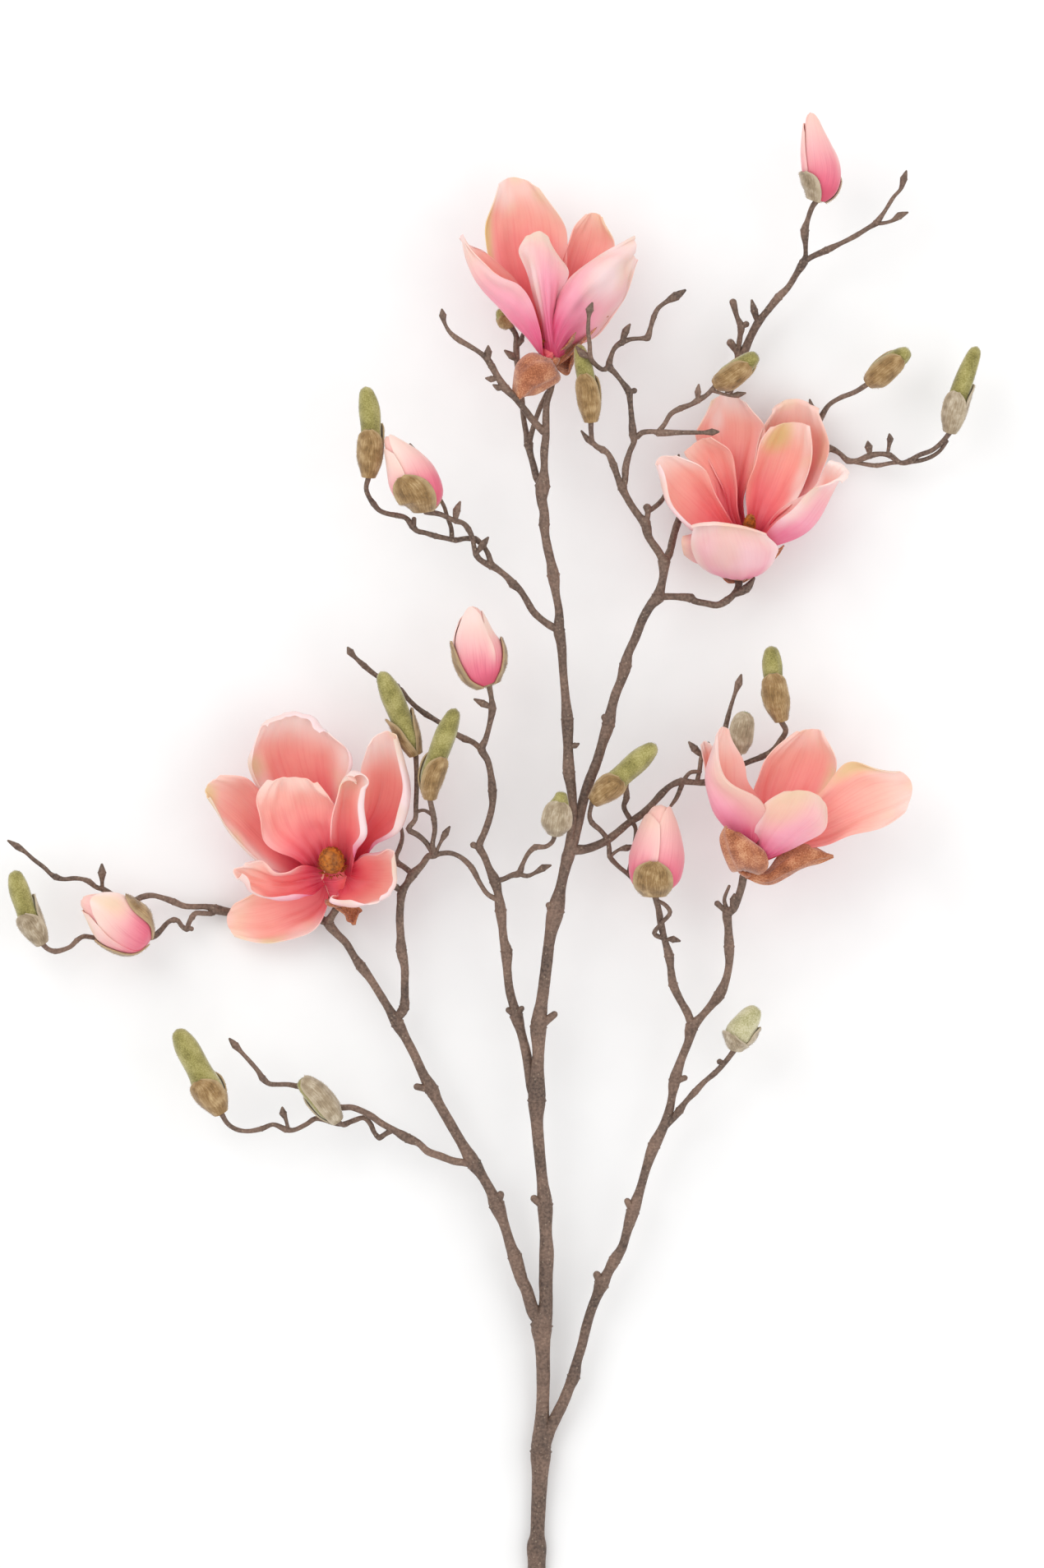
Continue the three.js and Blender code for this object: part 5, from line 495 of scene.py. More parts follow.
# Each petal and bract has its left edge, its middle and its right edge, as rows of [across, down,
# height] from near its foot to its tip. The blooms' petals are listed from the back to the front.
BLOOMS = {
    "top_bloom": {
        "base": [336, 221, 61],
        "heart": [333, 216.5, 62],
        "core": 5,
        "petals": [
            [[[315, 186, 54], [299, 157, 50], [295, 136, 48], [302, 116.5, 52]],
             [[324, 184, 46], [320, 150, 40], [318, 131, 40], [313, 108, 47]],
             [[334, 181, 54], [343.5, 159, 50], [344, 141.5, 48], [333.5, 118.5, 51]]],
            [[[339, 184, 54], [342.5, 159, 50], [347.5, 141.5, 48], [354, 133, 49]],
             [[346.5, 183, 47], [353.5, 162.5, 42], [359, 145, 41], [361.5, 129.5, 46]],
             [[354, 184, 54], [366.5, 165, 50], [374, 149, 48], [369, 135, 49]]],
            [[[326, 200, 76], [313, 176, 80], [299, 165.5, 79], [281, 143, 68]],
             [[320.5, 206, 67], [304, 188.5, 68], [288, 168.5, 68], [280.5, 144.5, 66]],
             [[322.5, 196, 58], [311, 170, 55], [295, 154, 57], [282, 145.5, 64]]],
            [[[336.5, 196, 70], [340.5, 177, 70], [345, 166.5, 69], [336, 150, 66]],
             [[332.5, 195, 78], [330, 172.5, 81], [328.5, 155, 80], [328, 142.5, 73]],
             [[328.5, 193, 70], [323, 175, 71], [317, 157, 71], [316, 148, 68]]],
            [[[345.5, 206, 66], [360, 193, 65], [377, 177, 65], [384.5, 160.5, 67]],
             [[341, 198, 76], [351.5, 181.5, 81], [367.5, 164, 82], [386, 151.5, 74]],
             [[336.5, 193, 71], [342, 181, 74], [354, 166, 77], [387, 143, 77]]],
            [[[331, 192.5, 44], [327.5, 170, 37], [328.5, 152.5, 34], [333, 141, 35]],
             [[336, 192.5, 39], [337.5, 169, 29], [338.5, 151.5, 27], [339, 137, 31]],
             [[342, 192.5, 44], [348, 174, 38], [349.5, 157.5, 36], [345, 149, 36]]],
        ],
        "bracts": [
            [[[334, 219, 66], [322.5, 217, 69], [313, 223.5, 68], [311, 234, 63]],
             [[336.5, 224.5, 72], [328, 227.5, 78], [320, 232.5, 78], [314.5, 242.5, 70]],
             [[340, 230, 64], [333.5, 236.5, 66], [326, 239.5, 66], [318.5, 242.5, 65]]],
            [[[345, 211, 63], [353, 199.5, 63], [362, 191.5, 61], [368.5, 190.5, 59]],
             [[347, 213, 57], [355.5, 202.5, 56], [364, 195, 55], [370, 192, 57.5]],
             [[349, 214.5, 61], [357.5, 204.5, 61], [365.5, 196.5, 59], [369.5, 194, 59]]],
            [[[341, 220, 54], [344.5, 214, 51], [347, 209, 50]],
             [[345, 223, 53], [348.5, 217, 49], [349.5, 210, 48]],
             [[345, 227.5, 58], [347.5, 222, 58], [348, 215, 57]]],
        ],
        "centre": {"foot": [332.7, 213, 62.3], "tip": [332, 192, 63], "radius": 3, "stamenCount": 3},
    },
    "left_bloom": {
        "base": [205, 548, 22],
        "heart": [203, 533, 29],
        "core": 8,
        "petals": [
            [[[183, 504, 32], [161, 482.5, 37], [150, 462.5, 44], [155.5, 444.5, 51]],
             [[194, 501, 25], [183, 475, 25], [177, 452.5, 32], [180, 432.5, 48]],
             [[203, 500, 31], [210, 480, 37], [215.5, 464, 45], [203, 448, 52]]],
            [[[181, 521, 39], [162, 510, 47], [156, 491.5, 55], [160.5, 477.5, 59]],
             [[192, 515, 34], [184, 501, 39], [180, 486, 46], [177.5, 472.5, 55]],
             [[200.5, 512, 38], [203, 500, 46], [203.5, 488, 54], [198, 477.5, 58]]],
            [[[175, 531, 30], [155, 522.5, 35], [138.5, 506, 42], [128, 489, 51]],
             [[176, 518.5, 25], [159, 503, 27], [142.5, 487.5, 35], [126, 478, 49]],
             [[178, 508, 30], [163, 487.5, 36], [151.5, 474, 45], [138, 471.5, 52]]],
            [[[186, 543, 34], [168.5, 546, 40], [153, 541, 47], [145.5, 535, 53]],
             [[185, 536.5, 29], [170, 538.5, 33], [156, 534, 42], [143.5, 530, 52]],
             [[185, 530, 34], [172.5, 532, 40], [161, 528.5, 47], [151.5, 524, 54]]],
            [[[197, 553, 21], [187, 566, 22], [167, 574.5, 21], [145, 572, 20]],
             [[193, 547, 16], [176, 555, 12], [156, 560.5, 12], [137.5, 560, 17]],
             [[189, 541, 21], [173, 543, 22], [156, 544, 20], [144.5, 547, 19]]],
            [[[217, 526, 34], [224, 520.5, 40], [233, 517, 48], [238.5, 515.5, 57]],
             [[216.5, 536.5, 26], [224.5, 539, 28], [233, 540, 37], [241.5, 539, 51]],
             [[207, 544, 31], [201, 549.5, 39], [211, 552.5, 46], [229, 550, 52]]],
            [[[215.5, 510, 34], [221.5, 492.5, 38], [220.5, 472.5, 45], [220, 457.5, 55]],
             [[222, 508, 28], [233.5, 489, 30], [237, 467.5, 41], [233.5, 445.5, 61]],
             [[227, 515, 37], [246, 506, 48], [252.5, 484, 58], [244, 452.5, 66]]],
            [[[203.5, 516, 41], [202.5, 502.5, 51], [205.5, 487.5, 57], [207.5, 474, 63]],
             [[209.5, 518, 37], [210, 502.5, 44], [211, 486, 50], [215, 466.5, 61]],
             [[215, 519, 47], [223, 506, 60], [222, 487.5, 66], [224, 473, 66]]],
        ],
        "bracts": [
            [[[205, 553, 22], [210, 558, 23], [213.5, 562, 24]],
             [[211, 552.5, 20], [213.5, 557, 20], [214.5, 563, 23]],
             [[218.5, 553.5, 22], [218.5, 556, 23], [215.5, 562, 24]]],
            [[[199, 540, 15], [194, 531, 13], [192, 522.5, 14]],
             [[195, 538, 13], [189, 528, 11], [187, 518, 13]],
             [[192, 540, 15], [185, 532, 13], [183, 523, 14]]],
        ],
        "centre": {"foot": [202.5, 529, 32], "tip": [201, 519, 50], "radius": 6.5, "stamenCount": 8},
    },
    "upper_right_bloom": {
        "base": [449.5, 350, 25],
        "heart": [454, 332, 32],
        "core": 5.5,
        "petals": [
            [[[442, 301, 28], [433, 280, 25], [422.5, 263, 25], [431, 248.5, 30]],
             [[446.5, 300, 22], [445, 280, 15], [444, 259, 14], [442.5, 239, 24]],
             [[451.5, 302, 28], [459.5, 282.5, 25], [465, 262, 26], [458.5, 247.5, 30]]],
            [[[456, 312, 34], [456, 294, 32], [460.5, 276, 32], [466, 262, 36]],
             [[463, 311, 28], [470, 293, 22], [476.5, 275, 20], [481.5, 256.5, 30]],
             [[471, 314, 34], [484, 301, 34], [493.5, 283, 34], [496, 260.5, 38]]],
            [[[458, 307.5, 26], [459, 285, 24], [462, 267.5, 24], [467, 253.5, 28]],
             [[466, 306, 20], [476.5, 282.5, 13], [481.5, 262.5, 12], [484, 242.5, 21]],
             [[475, 307.5, 26], [495, 294, 25], [505, 274, 25], [499.5, 253, 29]]],
            [[[434, 324, 42], [419, 323, 51], [405.5, 309, 56], [399, 286, 60]],
             [[438, 318, 35], [427.5, 306, 38], [414, 292, 46], [402, 278.5, 58]],
             [[443, 316, 40], [436, 302.5, 46], [429.5, 288, 54], [417, 278.5, 60]]],
            [[[436, 311, 34], [433, 297.5, 34], [424, 283, 35], [414.5, 277, 38]],
             [[442, 308, 29], [439, 292.5, 26], [432, 277.5, 26], [425, 268, 32]],
             [[448, 310, 34], [447.5, 292.5, 34], [443.5, 274.5, 35], [435, 265.5, 38]]],
            [[[458.5, 350, 30], [468.5, 343, 38], [473.5, 335, 46], [469, 327, 54]],
             [[450, 352, 36], [448.5, 346, 52], [445.5, 335, 65], [440, 318, 73]],
             [[440, 350, 32], [428, 344, 44], [420.5, 334, 52], [420, 320.5, 59]]],
            [[[468, 321, 34], [485, 306, 36], [497.5, 293, 42], [501.5, 280, 50]],
             [[470, 332, 39], [491, 323, 43], [504, 306, 47], [512.5, 285, 57]],
             [[467.5, 326, 48], [481, 314, 56], [494, 298.5, 61], [506.5, 292, 63]]],
            [[[436, 332, 34], [425, 325, 41], [416, 325, 47]],
             [[436, 337, 40], [425, 333, 47], [414.5, 331, 50]],
             [[438, 346, 31], [427, 343, 35], [417, 340, 41]]],
        ],
        "bracts": [
            [[[457, 345, 26], [468, 337, 28], [478.5, 330, 33]],
             [[456, 349, 21], [467, 343, 24], [475.5, 334.5, 29]],
             [[454, 353, 24], [464, 347, 26], [472, 338, 30]]],
            [[[443, 353, 24], [438, 349.5, 24], [433, 345.5, 24]],
             [[441, 348, 18], [434, 343, 16], [429, 337, 16]],
             [[444, 344, 22], [439, 337, 20], [434, 331, 20]]],
        ],
        "centre": {"foot": [454.8, 328, 34], "tip": [456.5, 314, 44], "radius": 3, "stamenCount": 3},
    },
    "right_bloom": {
        "base": [452.5, 530, 58],
        "heart": [459.5, 520, 61],
        "core": 5,
        "petals": [
            [[[460.5, 503, 72], [457, 485, 80], [440, 474, 82], [434.5, 450.5, 71]],
             [[444, 507, 62], [433, 491, 65], [429.5, 469, 65], [439, 442.5, 64]],
             [[459, 500, 54], [454.5, 481, 52], [453, 465, 52], [444, 446, 58]]],
            [[[460.5, 500, 50], [459, 482.5, 48], [463, 466, 50], [478.5, 448.5, 54]],
             [[470, 500, 45], [478, 480, 40], [485.5, 461, 41], [493, 443.5, 50]],
             [[481, 500, 52], [500, 485, 52], [509, 465, 54], [504.5, 447, 56]]],
            [[[473, 519, 65], [487, 513, 71], [500, 505.5, 75], [504, 495.5, 75]],
             [[466.5, 517, 69], [477, 505, 81], [488.5, 493, 85], [493, 482, 81]],
             [[461, 515, 66], [460.5, 503, 73], [463, 490.5, 77], [471, 483.5, 77]]],
            [[[480, 500, 58], [501, 481.5, 62], [515.5, 464.5, 67], [538.5, 467.5, 69]],
             [[483, 510, 55], [505, 497.5, 57], [530, 485, 60], [554, 477.5, 63]],
             [[483, 516, 58], [505, 513, 62], [526, 505.5, 65], [545.5, 502, 67]]],
            [[[442.5, 500, 52], [432, 480, 49], [427.5, 463.5, 48], [427, 454, 49]],
             [[446, 498, 48], [436.5, 476, 44], [431.5, 461, 44], [428.5, 451, 47]],
             [[451, 496, 50], [443.5, 474, 47], [437, 458.5, 47], [433, 453, 49]]],
            [[[475, 500, 41], [487.5, 483, 38], [492.5, 473, 40], [498, 468, 43]],
             [[479, 503, 37], [492.5, 490.5, 30], [500, 480.5, 32], [505, 474, 37]],
             [[483, 508, 41], [500, 500.5, 38], [507.5, 490.5, 40], [508.5, 481, 43]]],
        ],
        "bracts": [
            [[[461, 531, 64], [465.5, 524.5, 68], [464, 516.5, 70], [454, 509, 71]],
             [[454, 528, 70], [451.5, 520, 76], [448, 511.5, 78], [443.5, 504.5, 76]],
             [[446.5, 529.5, 62], [441, 522.5, 66], [438.5, 511, 68], [439.5, 501, 70]]],
            [[[466, 537.5, 58], [479, 532.5, 58], [492.5, 527, 58], [506.5, 521.5, 59]],
             [[466, 534, 62], [478, 526.5, 64], [492, 520.5, 64], [506.5, 520.75, 60]],
             [[465, 530.5, 58], [475, 520.5, 58], [488, 513, 58], [506, 519.5, 59]]],
        ],
        "centre": {"foot": [461.3, 517.3, 61.5], "tip": [469, 503, 64], "radius": 3, "stamenCount": 3},
    },
}

# A bud is the rows of its body, as a route from its foot to its tip, and then its scales. A scale is
# [turn, width, length]: degrees round the bud from straight up, and mm.
PINK_BUDS = {
    "pink_bud_top": (
        [[496.5, 122, 51.5, 9], [499, 114, 53, 20], [499.5, 104, 55, 22], [496.5, 92, 57, 17.5],
         [494, 80, 58, 11], [492.5, 69, 59, 5]],
        [[-55, 20, 21], [145, 16, 16]],
    ),
    "pink_bud_upper_left": (
        [[258, 311.5, 77, 9], [257, 303, 78, 25], [251.5, 293, 79, 28], [245.5, 282, 80, 21],
         [239.5, 273, 81, 11.5], [235, 266.5, 81, 4]],
        [[-20, 24, 26], [165, 20, 22]],
    ),
    "pink_bud_centre_left": (
        [[297, 417, 60.5, 11], [294.5, 410, 61, 24], [292, 400, 61.5, 29], [289, 389, 62, 24],
         [288, 378, 62, 15.5], [287.5, 369, 62, 7]],
        [[-85, 19, 30], [95, 19, 26]],
    ),
    "pink_bud_far_left": (
        [[90, 570.5, 34.5, 10], [83, 567.5, 37.5, 28], [73, 562, 40, 31], [63, 555, 42, 25],
         [55, 550.5, 43, 14], [49, 548, 43, 5]],
        [[75, 22, 28], [-95, 18, 26]],
    ),
    "pink_bud_low_right": (
        [[398, 544.5, 54, 11], [398, 536, 55, 28], [399, 524, 56, 32], [400, 511, 57, 27],
         [401, 499, 57.5, 19], [402, 489.5, 58, 9]],
        [[-5, 24, 22], [170, 20, 18]],
    ),
}

# Green winter buds: a felted horn from foot to tip, its foot held by brown or grey felted scales.
GREEN_BUDS = {
    "bud_beside_top": (
        [[359.4, 257, 63, 5], [358.5, 245, 65, 11], [356.5, 232, 67, 10.5], [354.5, 222, 68, 8.5],
         [351.5, 210, 69, 4]],
        [[-10, 14.5, 30], [140, 13, 27]],
    ),
    "bud_above_bloom": (
        [[435.5, 234, 41, 5], [442, 230, 43.5, 13], [450, 224, 45.5, 12], [456.5, 219, 47, 8.5],
         [461, 216, 48, 4]],
        [[20, 15, 25], [170, 15, 28]],
    ),
    "bud_right": (
        [[528.5, 232.5, 34, 5], [534, 228, 36.5, 13], [542, 221, 38.5, 12.5], [549, 216, 40.5, 8.5],
         [553.5, 213, 41.5, 4]],
        [[15, 15, 27], [180, 15, 27]],
    ),
    "bud_far_right": (
        [[578, 262.5, 34, 5], [580.5, 252, 36.5, 12], [583.5, 240, 38.5, 11.5], [588, 227, 41, 9],
         [594.5, 210.5, 43, 5]],
        [[-15, 15, 26], [110, 14, 32]],
    ),
    "bud_upper_left": (
        [[224.5, 291, 72.5, 5], [225.5, 278, 74, 12.5], [226, 264, 76, 11.5], [225, 250, 78, 10.5],
         [222.5, 236, 79, 5]],
        [[-10, 18, 30], [130, 15, 32]],
    ),
    "bud_slim_left": (
        [[253, 459, 50, 5], [249, 449, 52, 12], [244, 437, 54, 12.5], [238, 422.5, 57, 11],
         [231.5, 408.5, 59, 5]],
        [[-80, 15, 27], [100, 14, 27]],
    ),
    "bud_centre_left": (
        [[261.5, 485.5, 59, 5], [262, 474, 63, 12], [266, 461, 66, 12], [271.5, 446, 69, 10.5],
         [277.5, 431, 72, 5]],
        [[25, 14.5, 29], [-150, 14, 27]],
    ),
    "bud_round": (
        [[337.5, 507, 64, 6], [338.5, 500, 66.5, 16], [339.5, 493, 67.5, 14], [341, 486, 68, 7.5],
         [341.5, 481.5, 68, 4]],
        [[0, 20, 20], [180, 18, 20]],
    ),
    "bud_broad": (
        [[360.5, 487.5, 62, 5], [369, 480, 64.5, 12.5], [379, 471, 66.5, 12.5], [389, 462, 68.5, 11],
         [399, 453, 70, 5]],
        [[10, 20, 23], [170, 17, 24]],
    ),
    "bud_above_right": (
        [[475.3, 438.5, 45, 5], [472.5, 427, 47, 12.5], [470.5, 415, 49, 11], [469.5, 404, 51, 10],
         [469, 393, 52, 5]],
        [[0, 18.5, 31], [-120, 13, 20]],
    ),
    "bud_grey_right": (
        [[450, 457.5, 39, 5], [450.5, 449, 41.5, 12], [452, 440, 43.5, 10.5], [454, 433, 44.5, 4.5]],
        [[0, 15.5, 25], [180, 14, 24]],
    ),
    "bud_low_right": (
        [[447, 638, 41.5, 6], [449.5, 630, 44, 17], [454, 622, 46, 14.5], [458, 616.5, 47, 9.5],
         [461, 613, 47.5, 4]],
        [[-25, 22, 10], [95, 15, 20]],
    ),
    "bud_far_left": (
        [[25.3, 574, 33.5, 5], [20, 564, 36, 12.5], [15, 552, 38, 12], [11, 540, 40, 10],
         [8.5, 529.5, 41, 5]],
        [[-20, 18, 22], [110, 15, 30]],
    ),
    "bud_lower_left": (
        [[134.3, 677, 41.5, 6], [128, 665, 44, 17], [121, 651, 46, 14.5], [113.5, 637, 48, 12],
         [107.5, 626, 49.5, 5.5]],
        [[-20, 24, 25], [150, 19, 24]],
    ),
    "bud_grey_left": (
        [[205.2, 682, 37.5, 5], [199.5, 675, 40, 12.5], [192, 666, 42, 12.5], [186, 660.5, 43, 8.5],
         [182, 657, 43.5, 4]],
        [[30, 15, 34], [-150, 14, 26]],
    ),
    "bud_behind_top": (
        [[310.5, 198, 35, 4], [308, 194.5, 35.5, 9], [305.5, 190.5, 36.5, 7.5], [303.5, 187.5, 37, 3]],
        [[0, 11, 9], [180, 10, 9]],
    ),
}

# How each petal lies, in the order of its bloom's petals. `ruffle` mm its rim waves, and `ribs` mm its
# ribs stand. `roll` and `tip` are the mm of its left rim, right rim and tip that curl over, inwards or,
# below 0, outwards. `wide` times its width, `narrow` how much its tip narrows and `full` how much its
# foot swells. `pale` is how pale its left rim, right rim and tip get, and `pale_from` where rim and tip
# start to. The highlight patches are pale patches of painted highlight and `gold` gives golden ones, as
# [side, rise, width, height, strength], and `shift` moves its colour up or down.
PLAIN_HABIT = {"ruffle": 0.8, "ribs": 0.14, "roll": (0, 0), "tip": 0, "wide": 1, "narrow": 0.22,
               "full": 0.16, "pale": (0.5, 0.5, 0.6), "pale_from": (0.55, 0.76), "highlight_patches": (), "gold": (),
               "shift": 0}
# The highlight patches in these habits are painted highlights: pale spots put where light falls on a petal.
PETAL_HABITS = {
    "top_bloom": [
        {"ruffle": 1.0, "pale": (0.4, 0.3, 0.95), "gold": [(-0.95, 0.68, 0.3, 0.36, 0.9)],
         "highlight_patches": [(-0.3, 0.9, 0.4, 0.2, 0.9)]},
        {"ruffle": 1.0, "pale": (0.2, 0.6, 0.4), "narrow": 0.35},
        {"ruffle": 2.0, "roll": (0, 1.5), "ribs": 0.3, "pale": (0.4, 0.2, 0.8), "narrow": 0.5},
        {"ruffle": 1.1, "ribs": 0.45, "pale": (0.6, 0.9, 0.8), "highlight_patches": [(0.6, 0.55, 0.7, 0.5, 0.8)]},
        {"ruffle": 2.4, "roll": (-2, 2), "ribs": 0.45, "pale": (0.7, 0.5, 0.9), "narrow": 0.5, "wide": 1.35,
         "highlight_patches": [(-0.2, 0.75, 0.6, 0.3, 0.9)]},
        {"ruffle": 0.8, "shift": -0.2},
    ],
    "left_bloom": [
        {"ruffle": 2.1, "roll": (3, 6), "tip": 6, "pale": (1.0, 0.9, 1.0), "pale_from": (0.36, 0.64),
         "ribs": 0.25},
        {"ruffle": 3.0, "pale": (0.3, 0.2, 0.5), "shift": -0.2, "ribs": 0.45},
        {"ruffle": 1.1, "roll": (2, 0), "pale": (1.0, 0.2, 0.4), "pale_from": (0.4, 0.7),
         "gold": [(-0.4, 1.0, 0.9, 0.16, 0.7)]},
        {"ruffle": 2.4, "roll": (3, 0), "pale": (0.8, 0.5, 0.7), "ribs": 0.35, "wide": 1.25,
         "shift": -0.05},
        {"ruffle": 1.3, "pale": (0.95, 0.1, 0.5), "shift": -0.14, "pale_from": (0.45, 0.7)},
        {"ruffle": 1.0, "roll": (2, 6), "tip": 4, "pale": (0.5, 1.0, 0.9), "shift": -0.05},
        {"ruffle": 1.3, "roll": (0, 8), "pale": (0.2, 1.0, 0.9), "pale_from": (0.4, 0.7)},
        {"ruffle": 0.6, "roll": (0, 9), "tip": 13, "pale": (0.5, 1.0, 1.0), "pale_from": (0.25, 0.62),
         "shift": -0.12, "wide": 1.15},
    ],
    "upper_right_bloom": [
        {"ruffle": 1.2, "ribs": 0.35, "pale": (0.5, 0.4, 0.95), "highlight_patches": [(-0.3, 0.85, 0.3, 0.25, 0.8)]},
        {"ruffle": 1.0, "pale": (0.2, 0.8, 0.4), "gold": [(-0.35, 0.9, 0.75, 0.22, 0.9)],
         "highlight_patches": [(0.75, 0.75, 0.3, 0.4, 0.8)]},
        {"ruffle": 1.1, "tip": -3, "pale": (0.7, 0.5, 0.8)},
        {"ruffle": 0.8, "roll": (5, 0), "pale": (1.0, 0.2, 0.8), "shift": -0.18},
        {"ruffle": 1.0, "pale": (0.2, 0.2, 0.2), "shift": -0.26},
        {"ruffle": 0.8, "tip": -6, "pale": (0.7, 0.7, 0.7), "highlight_patches": [(0, 0.6, 1.0, 0.4, 0.5)]},
        {"ruffle": 1.4, "tip": -5, "pale": (0.8, 0.8, 1.0), "shift": -0.05},
        {"ruffle": 0.5, "pale": (0.0, 0.0, 0.0), "shift": -0.6},
    ],
    "right_bloom": [
        {"ruffle": 1.0, "roll": (1.5, 0), "pale": (0.5, 0.3, 0.6), "gold": [(-0.9, 0.55, 0.6, 0.5, 0.35)]},
        # this petal's strong right-rim paleness is mostly a painted highlight
        {"ruffle": 1.2, "pale": (0.3, 0.95, 0.6), "ribs": 0.35, "narrow": 0.4},
        {"ruffle": 1.0, "pale": (0.1, 0.4, 0.4), "gold": [(0.5, 0.8, 0.8, 0.5, 0.4)]},
        {"ruffle": 1.9, "pale": (0.4, 0.1, 0.7), "gold": [(-0.85, 0.8, 0.35, 0.3, 0.75)], "shift": 0.1},
        {"ruffle": 0.8, "pale": (0.5, 0.5, 0.8)},
        {"ruffle": 0.8, "shift": -0.25},
    ],
}
BRACT_HABIT = {"ruffle": 0.9, "ribs": 0.3, "narrow": 0.4}
BUD_HABIT = {"pale": (0.4, 0.8, 0.9), "pale_from": (0.6, 0.25), "shift": 0.05}
BUD_HABITS = {
    "pink_bud_top": {"pale": (0.5, 0.5, 0.4), "shift": -0.06},
    "pink_bud_far_left": {"pale": (0.6, 0.5, 0.9), "gold": [(0.2, 0.8, 0.6, 0.4, 0.35)], "shift": 0.14},
    "pink_bud_low_right": {"pale": (0.2, 0.5, 0.3), "shift": -0.16},
}
PALE_HORNS = ("bud_low_right",)
GREY_SCALES = ("bud_grey_right", "bud_grey_left", "bud_round", "bud_far_left", "bud_far_right",
               "bud_low_right", "pink_bud_top")

# ------------------------------------------------------------------ lines through places


def filled(route):
    """The route with every left-out thickness filled in, evenly between its neighbours."""
    known = [i for i, row in enumerate(route) if len(row) > 3]
    rows = []
    for i, row in enumerate(route):
        before = max([k for k in known if k <= i], default=known[0])
        after = min([k for k in known if k >= i], default=known[-1])
        share = 0 if after == before else (i - before) / (after - before)
        thickness = route[before][3] * (1 - share) + route[after][3] * share
        rows.append((row[0], row[1], row[2], thickness))
    return rows


class Line:
    """A smooth line through points, each point a Vector of any length. A share runs from 0 to 1."""

    def __init__(self, points):
        self.points = points

    def at(self, share):
        last = len(self.points) - 1
        where = min(max(share, 0.0), 1.0) * last
        start = min(int(where), last - 1)
        rest = where - start
        b, c = self.points[start], self.points[start + 1]
        a = self.points[start - 1] if start > 0 else b * 2 - c
        d = self.points[start + 2] if start + 2 <= last else c * 2 - b
        near, span, far = [max((q - p).length, 1e-6) ** 0.5 for p, q in ((a, b), (b, c), (c, d))]
        leave = ((b - a) / near - (c - a) / (near + span) + (c - b) / span) * span
        arrive = ((c - b) / span - (d - b) / (span + far) + (d - c) / far) * span
        bend = (c - b) * 3 - leave * 2 - arrive
        turn = (b - c) * 2 + leave + arrive
        return b + leave * rest + bend * rest ** 2 + turn * rest ** 3

    def along(self, share, step=1e-4):
        return (self.at(min(share + step, 1)) - self.at(max(share - step, 0))).normalized()


class Ruler:
    """Measures a line: which share lies so many metres from its start."""

    def __init__(self, line, parts):
        fine = [line.at(i / parts).xyz for i in range(parts + 1)]
        self.reached = [0.0]
        for p, q in zip(fine, fine[1:]):
            self.reached.append(self.reached[-1] + (q - p).length)
        self.run = self.reached[-1]

    def share(self, length):
        parts = len(self.reached) - 1
        goal = min(max(length, 0), self.run)
        for k in range(parts):
            if self.reached[k + 1] >= goal:
                gap = self.reached[k + 1] - self.reached[k]
                return (k + (goal - self.reached[k]) / max(gap, LEAST_GAP)) / parts
        return 1.0


def eased(value, low, high):
    """0 below `low`, 1 above `high`, and a soft step between."""
    part = min(1.0, max(0.0, (value - low) / (high - low)))
    return part * part * (3 - 2 * part)

# ------------------------------------------------------------------ modelling help


def start_clean():
    """Leaves edit mode and selects nothing."""
    if bpy.context.mode != "OBJECT":
        bpy.ops.object.mode_set(mode="OBJECT")
    bpy.ops.object.select_all(action="DESELECT")


def pick(*objects):
    """Selects these objects alone and returns the first."""
    start_clean()
    for piece in objects:
        piece.select_set(True)
    bpy.context.view_layer.objects.active = objects[0]
    return objects[0]


def pick_faces(piece):
    """Goes into edit mode with all of the piece selected."""
    pick(piece)
    bpy.ops.object.mode_set(mode="EDIT")
    bpy.ops.mesh.select_all(action="SELECT")


def joined(name, pieces):
    """The pieces as one object, at the origin."""
    whole = pick(*pieces)
    if len(pieces) > 1:
        bpy.ops.object.join()
    whole.name = name
    whole.data.name = name
    bpy.ops.object.transform_apply(location=True, rotation=True, scale=True)
    return whole


def modified(piece, kind, **settings):
    """Adds a modifier with its settings and applies it."""
    pick(piece)
    modifier = piece.modifiers.new(kind.lower(), kind)
    for key, value in settings.items():
        setattr(modifier, key, value)
    bpy.ops.object.modifier_apply(modifier=modifier.name)
    return piece


def finish_piece(piece, materials, node, crease=60):
    """Gives a piece its materials and smooth shading up to `crease` degrees, and hides the imported `node`.
    """
    marks = [face.material_index for face in piece.data.polygons]
    piece.data.materials.clear()
    for material in materials:
        piece.data.materials.append(material)
    for face, mark in zip(piece.data.polygons, marks):
        face.material_index = min(mark, len(materials) - 1)
    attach(piece, "root")
    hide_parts(node)
    pick(piece)
    bpy.ops.object.shade_smooth_by_angle(angle=math.radians(crease))


def grid(columns, rows, number):
    """A flat grid whose points are then moved. Its map counts on by one from piece to piece."""
    start_clean()
    bpy.ops.mesh.primitive_grid_add(x_subdivisions=columns, y_subdivisions=rows, size=2)
    sheet = bpy.context.object
    for spot in sheet.data.uv_layers.active.data:
        spot.uv.x += number
    return sheet


def egg(place, along, width, length, rings=24):
    """A ball drawn out to an egg, its long side along `along`."""
    start_clean()
    bpy.ops.mesh.primitive_uv_sphere_add(segments=rings, ring_count=rings // 2, radius=1)
    ball = bpy.context.object
    put(ball, place, along, width / 2, length / 2)
    return ball


def put(piece, place, along, half_width, half_length):
    """Sizes a piece made round the origin, and puts it at `place` with its long side along `along`."""
    turn = along.to_track_quat("Z", "Y").to_matrix().to_4x4()
    size = Matrix.Diagonal((half_width, half_width, half_length, 1))
    piece.data.transform(Matrix.Translation(place) @ turn @ size)

# ------------------------------------------------------------------ wood


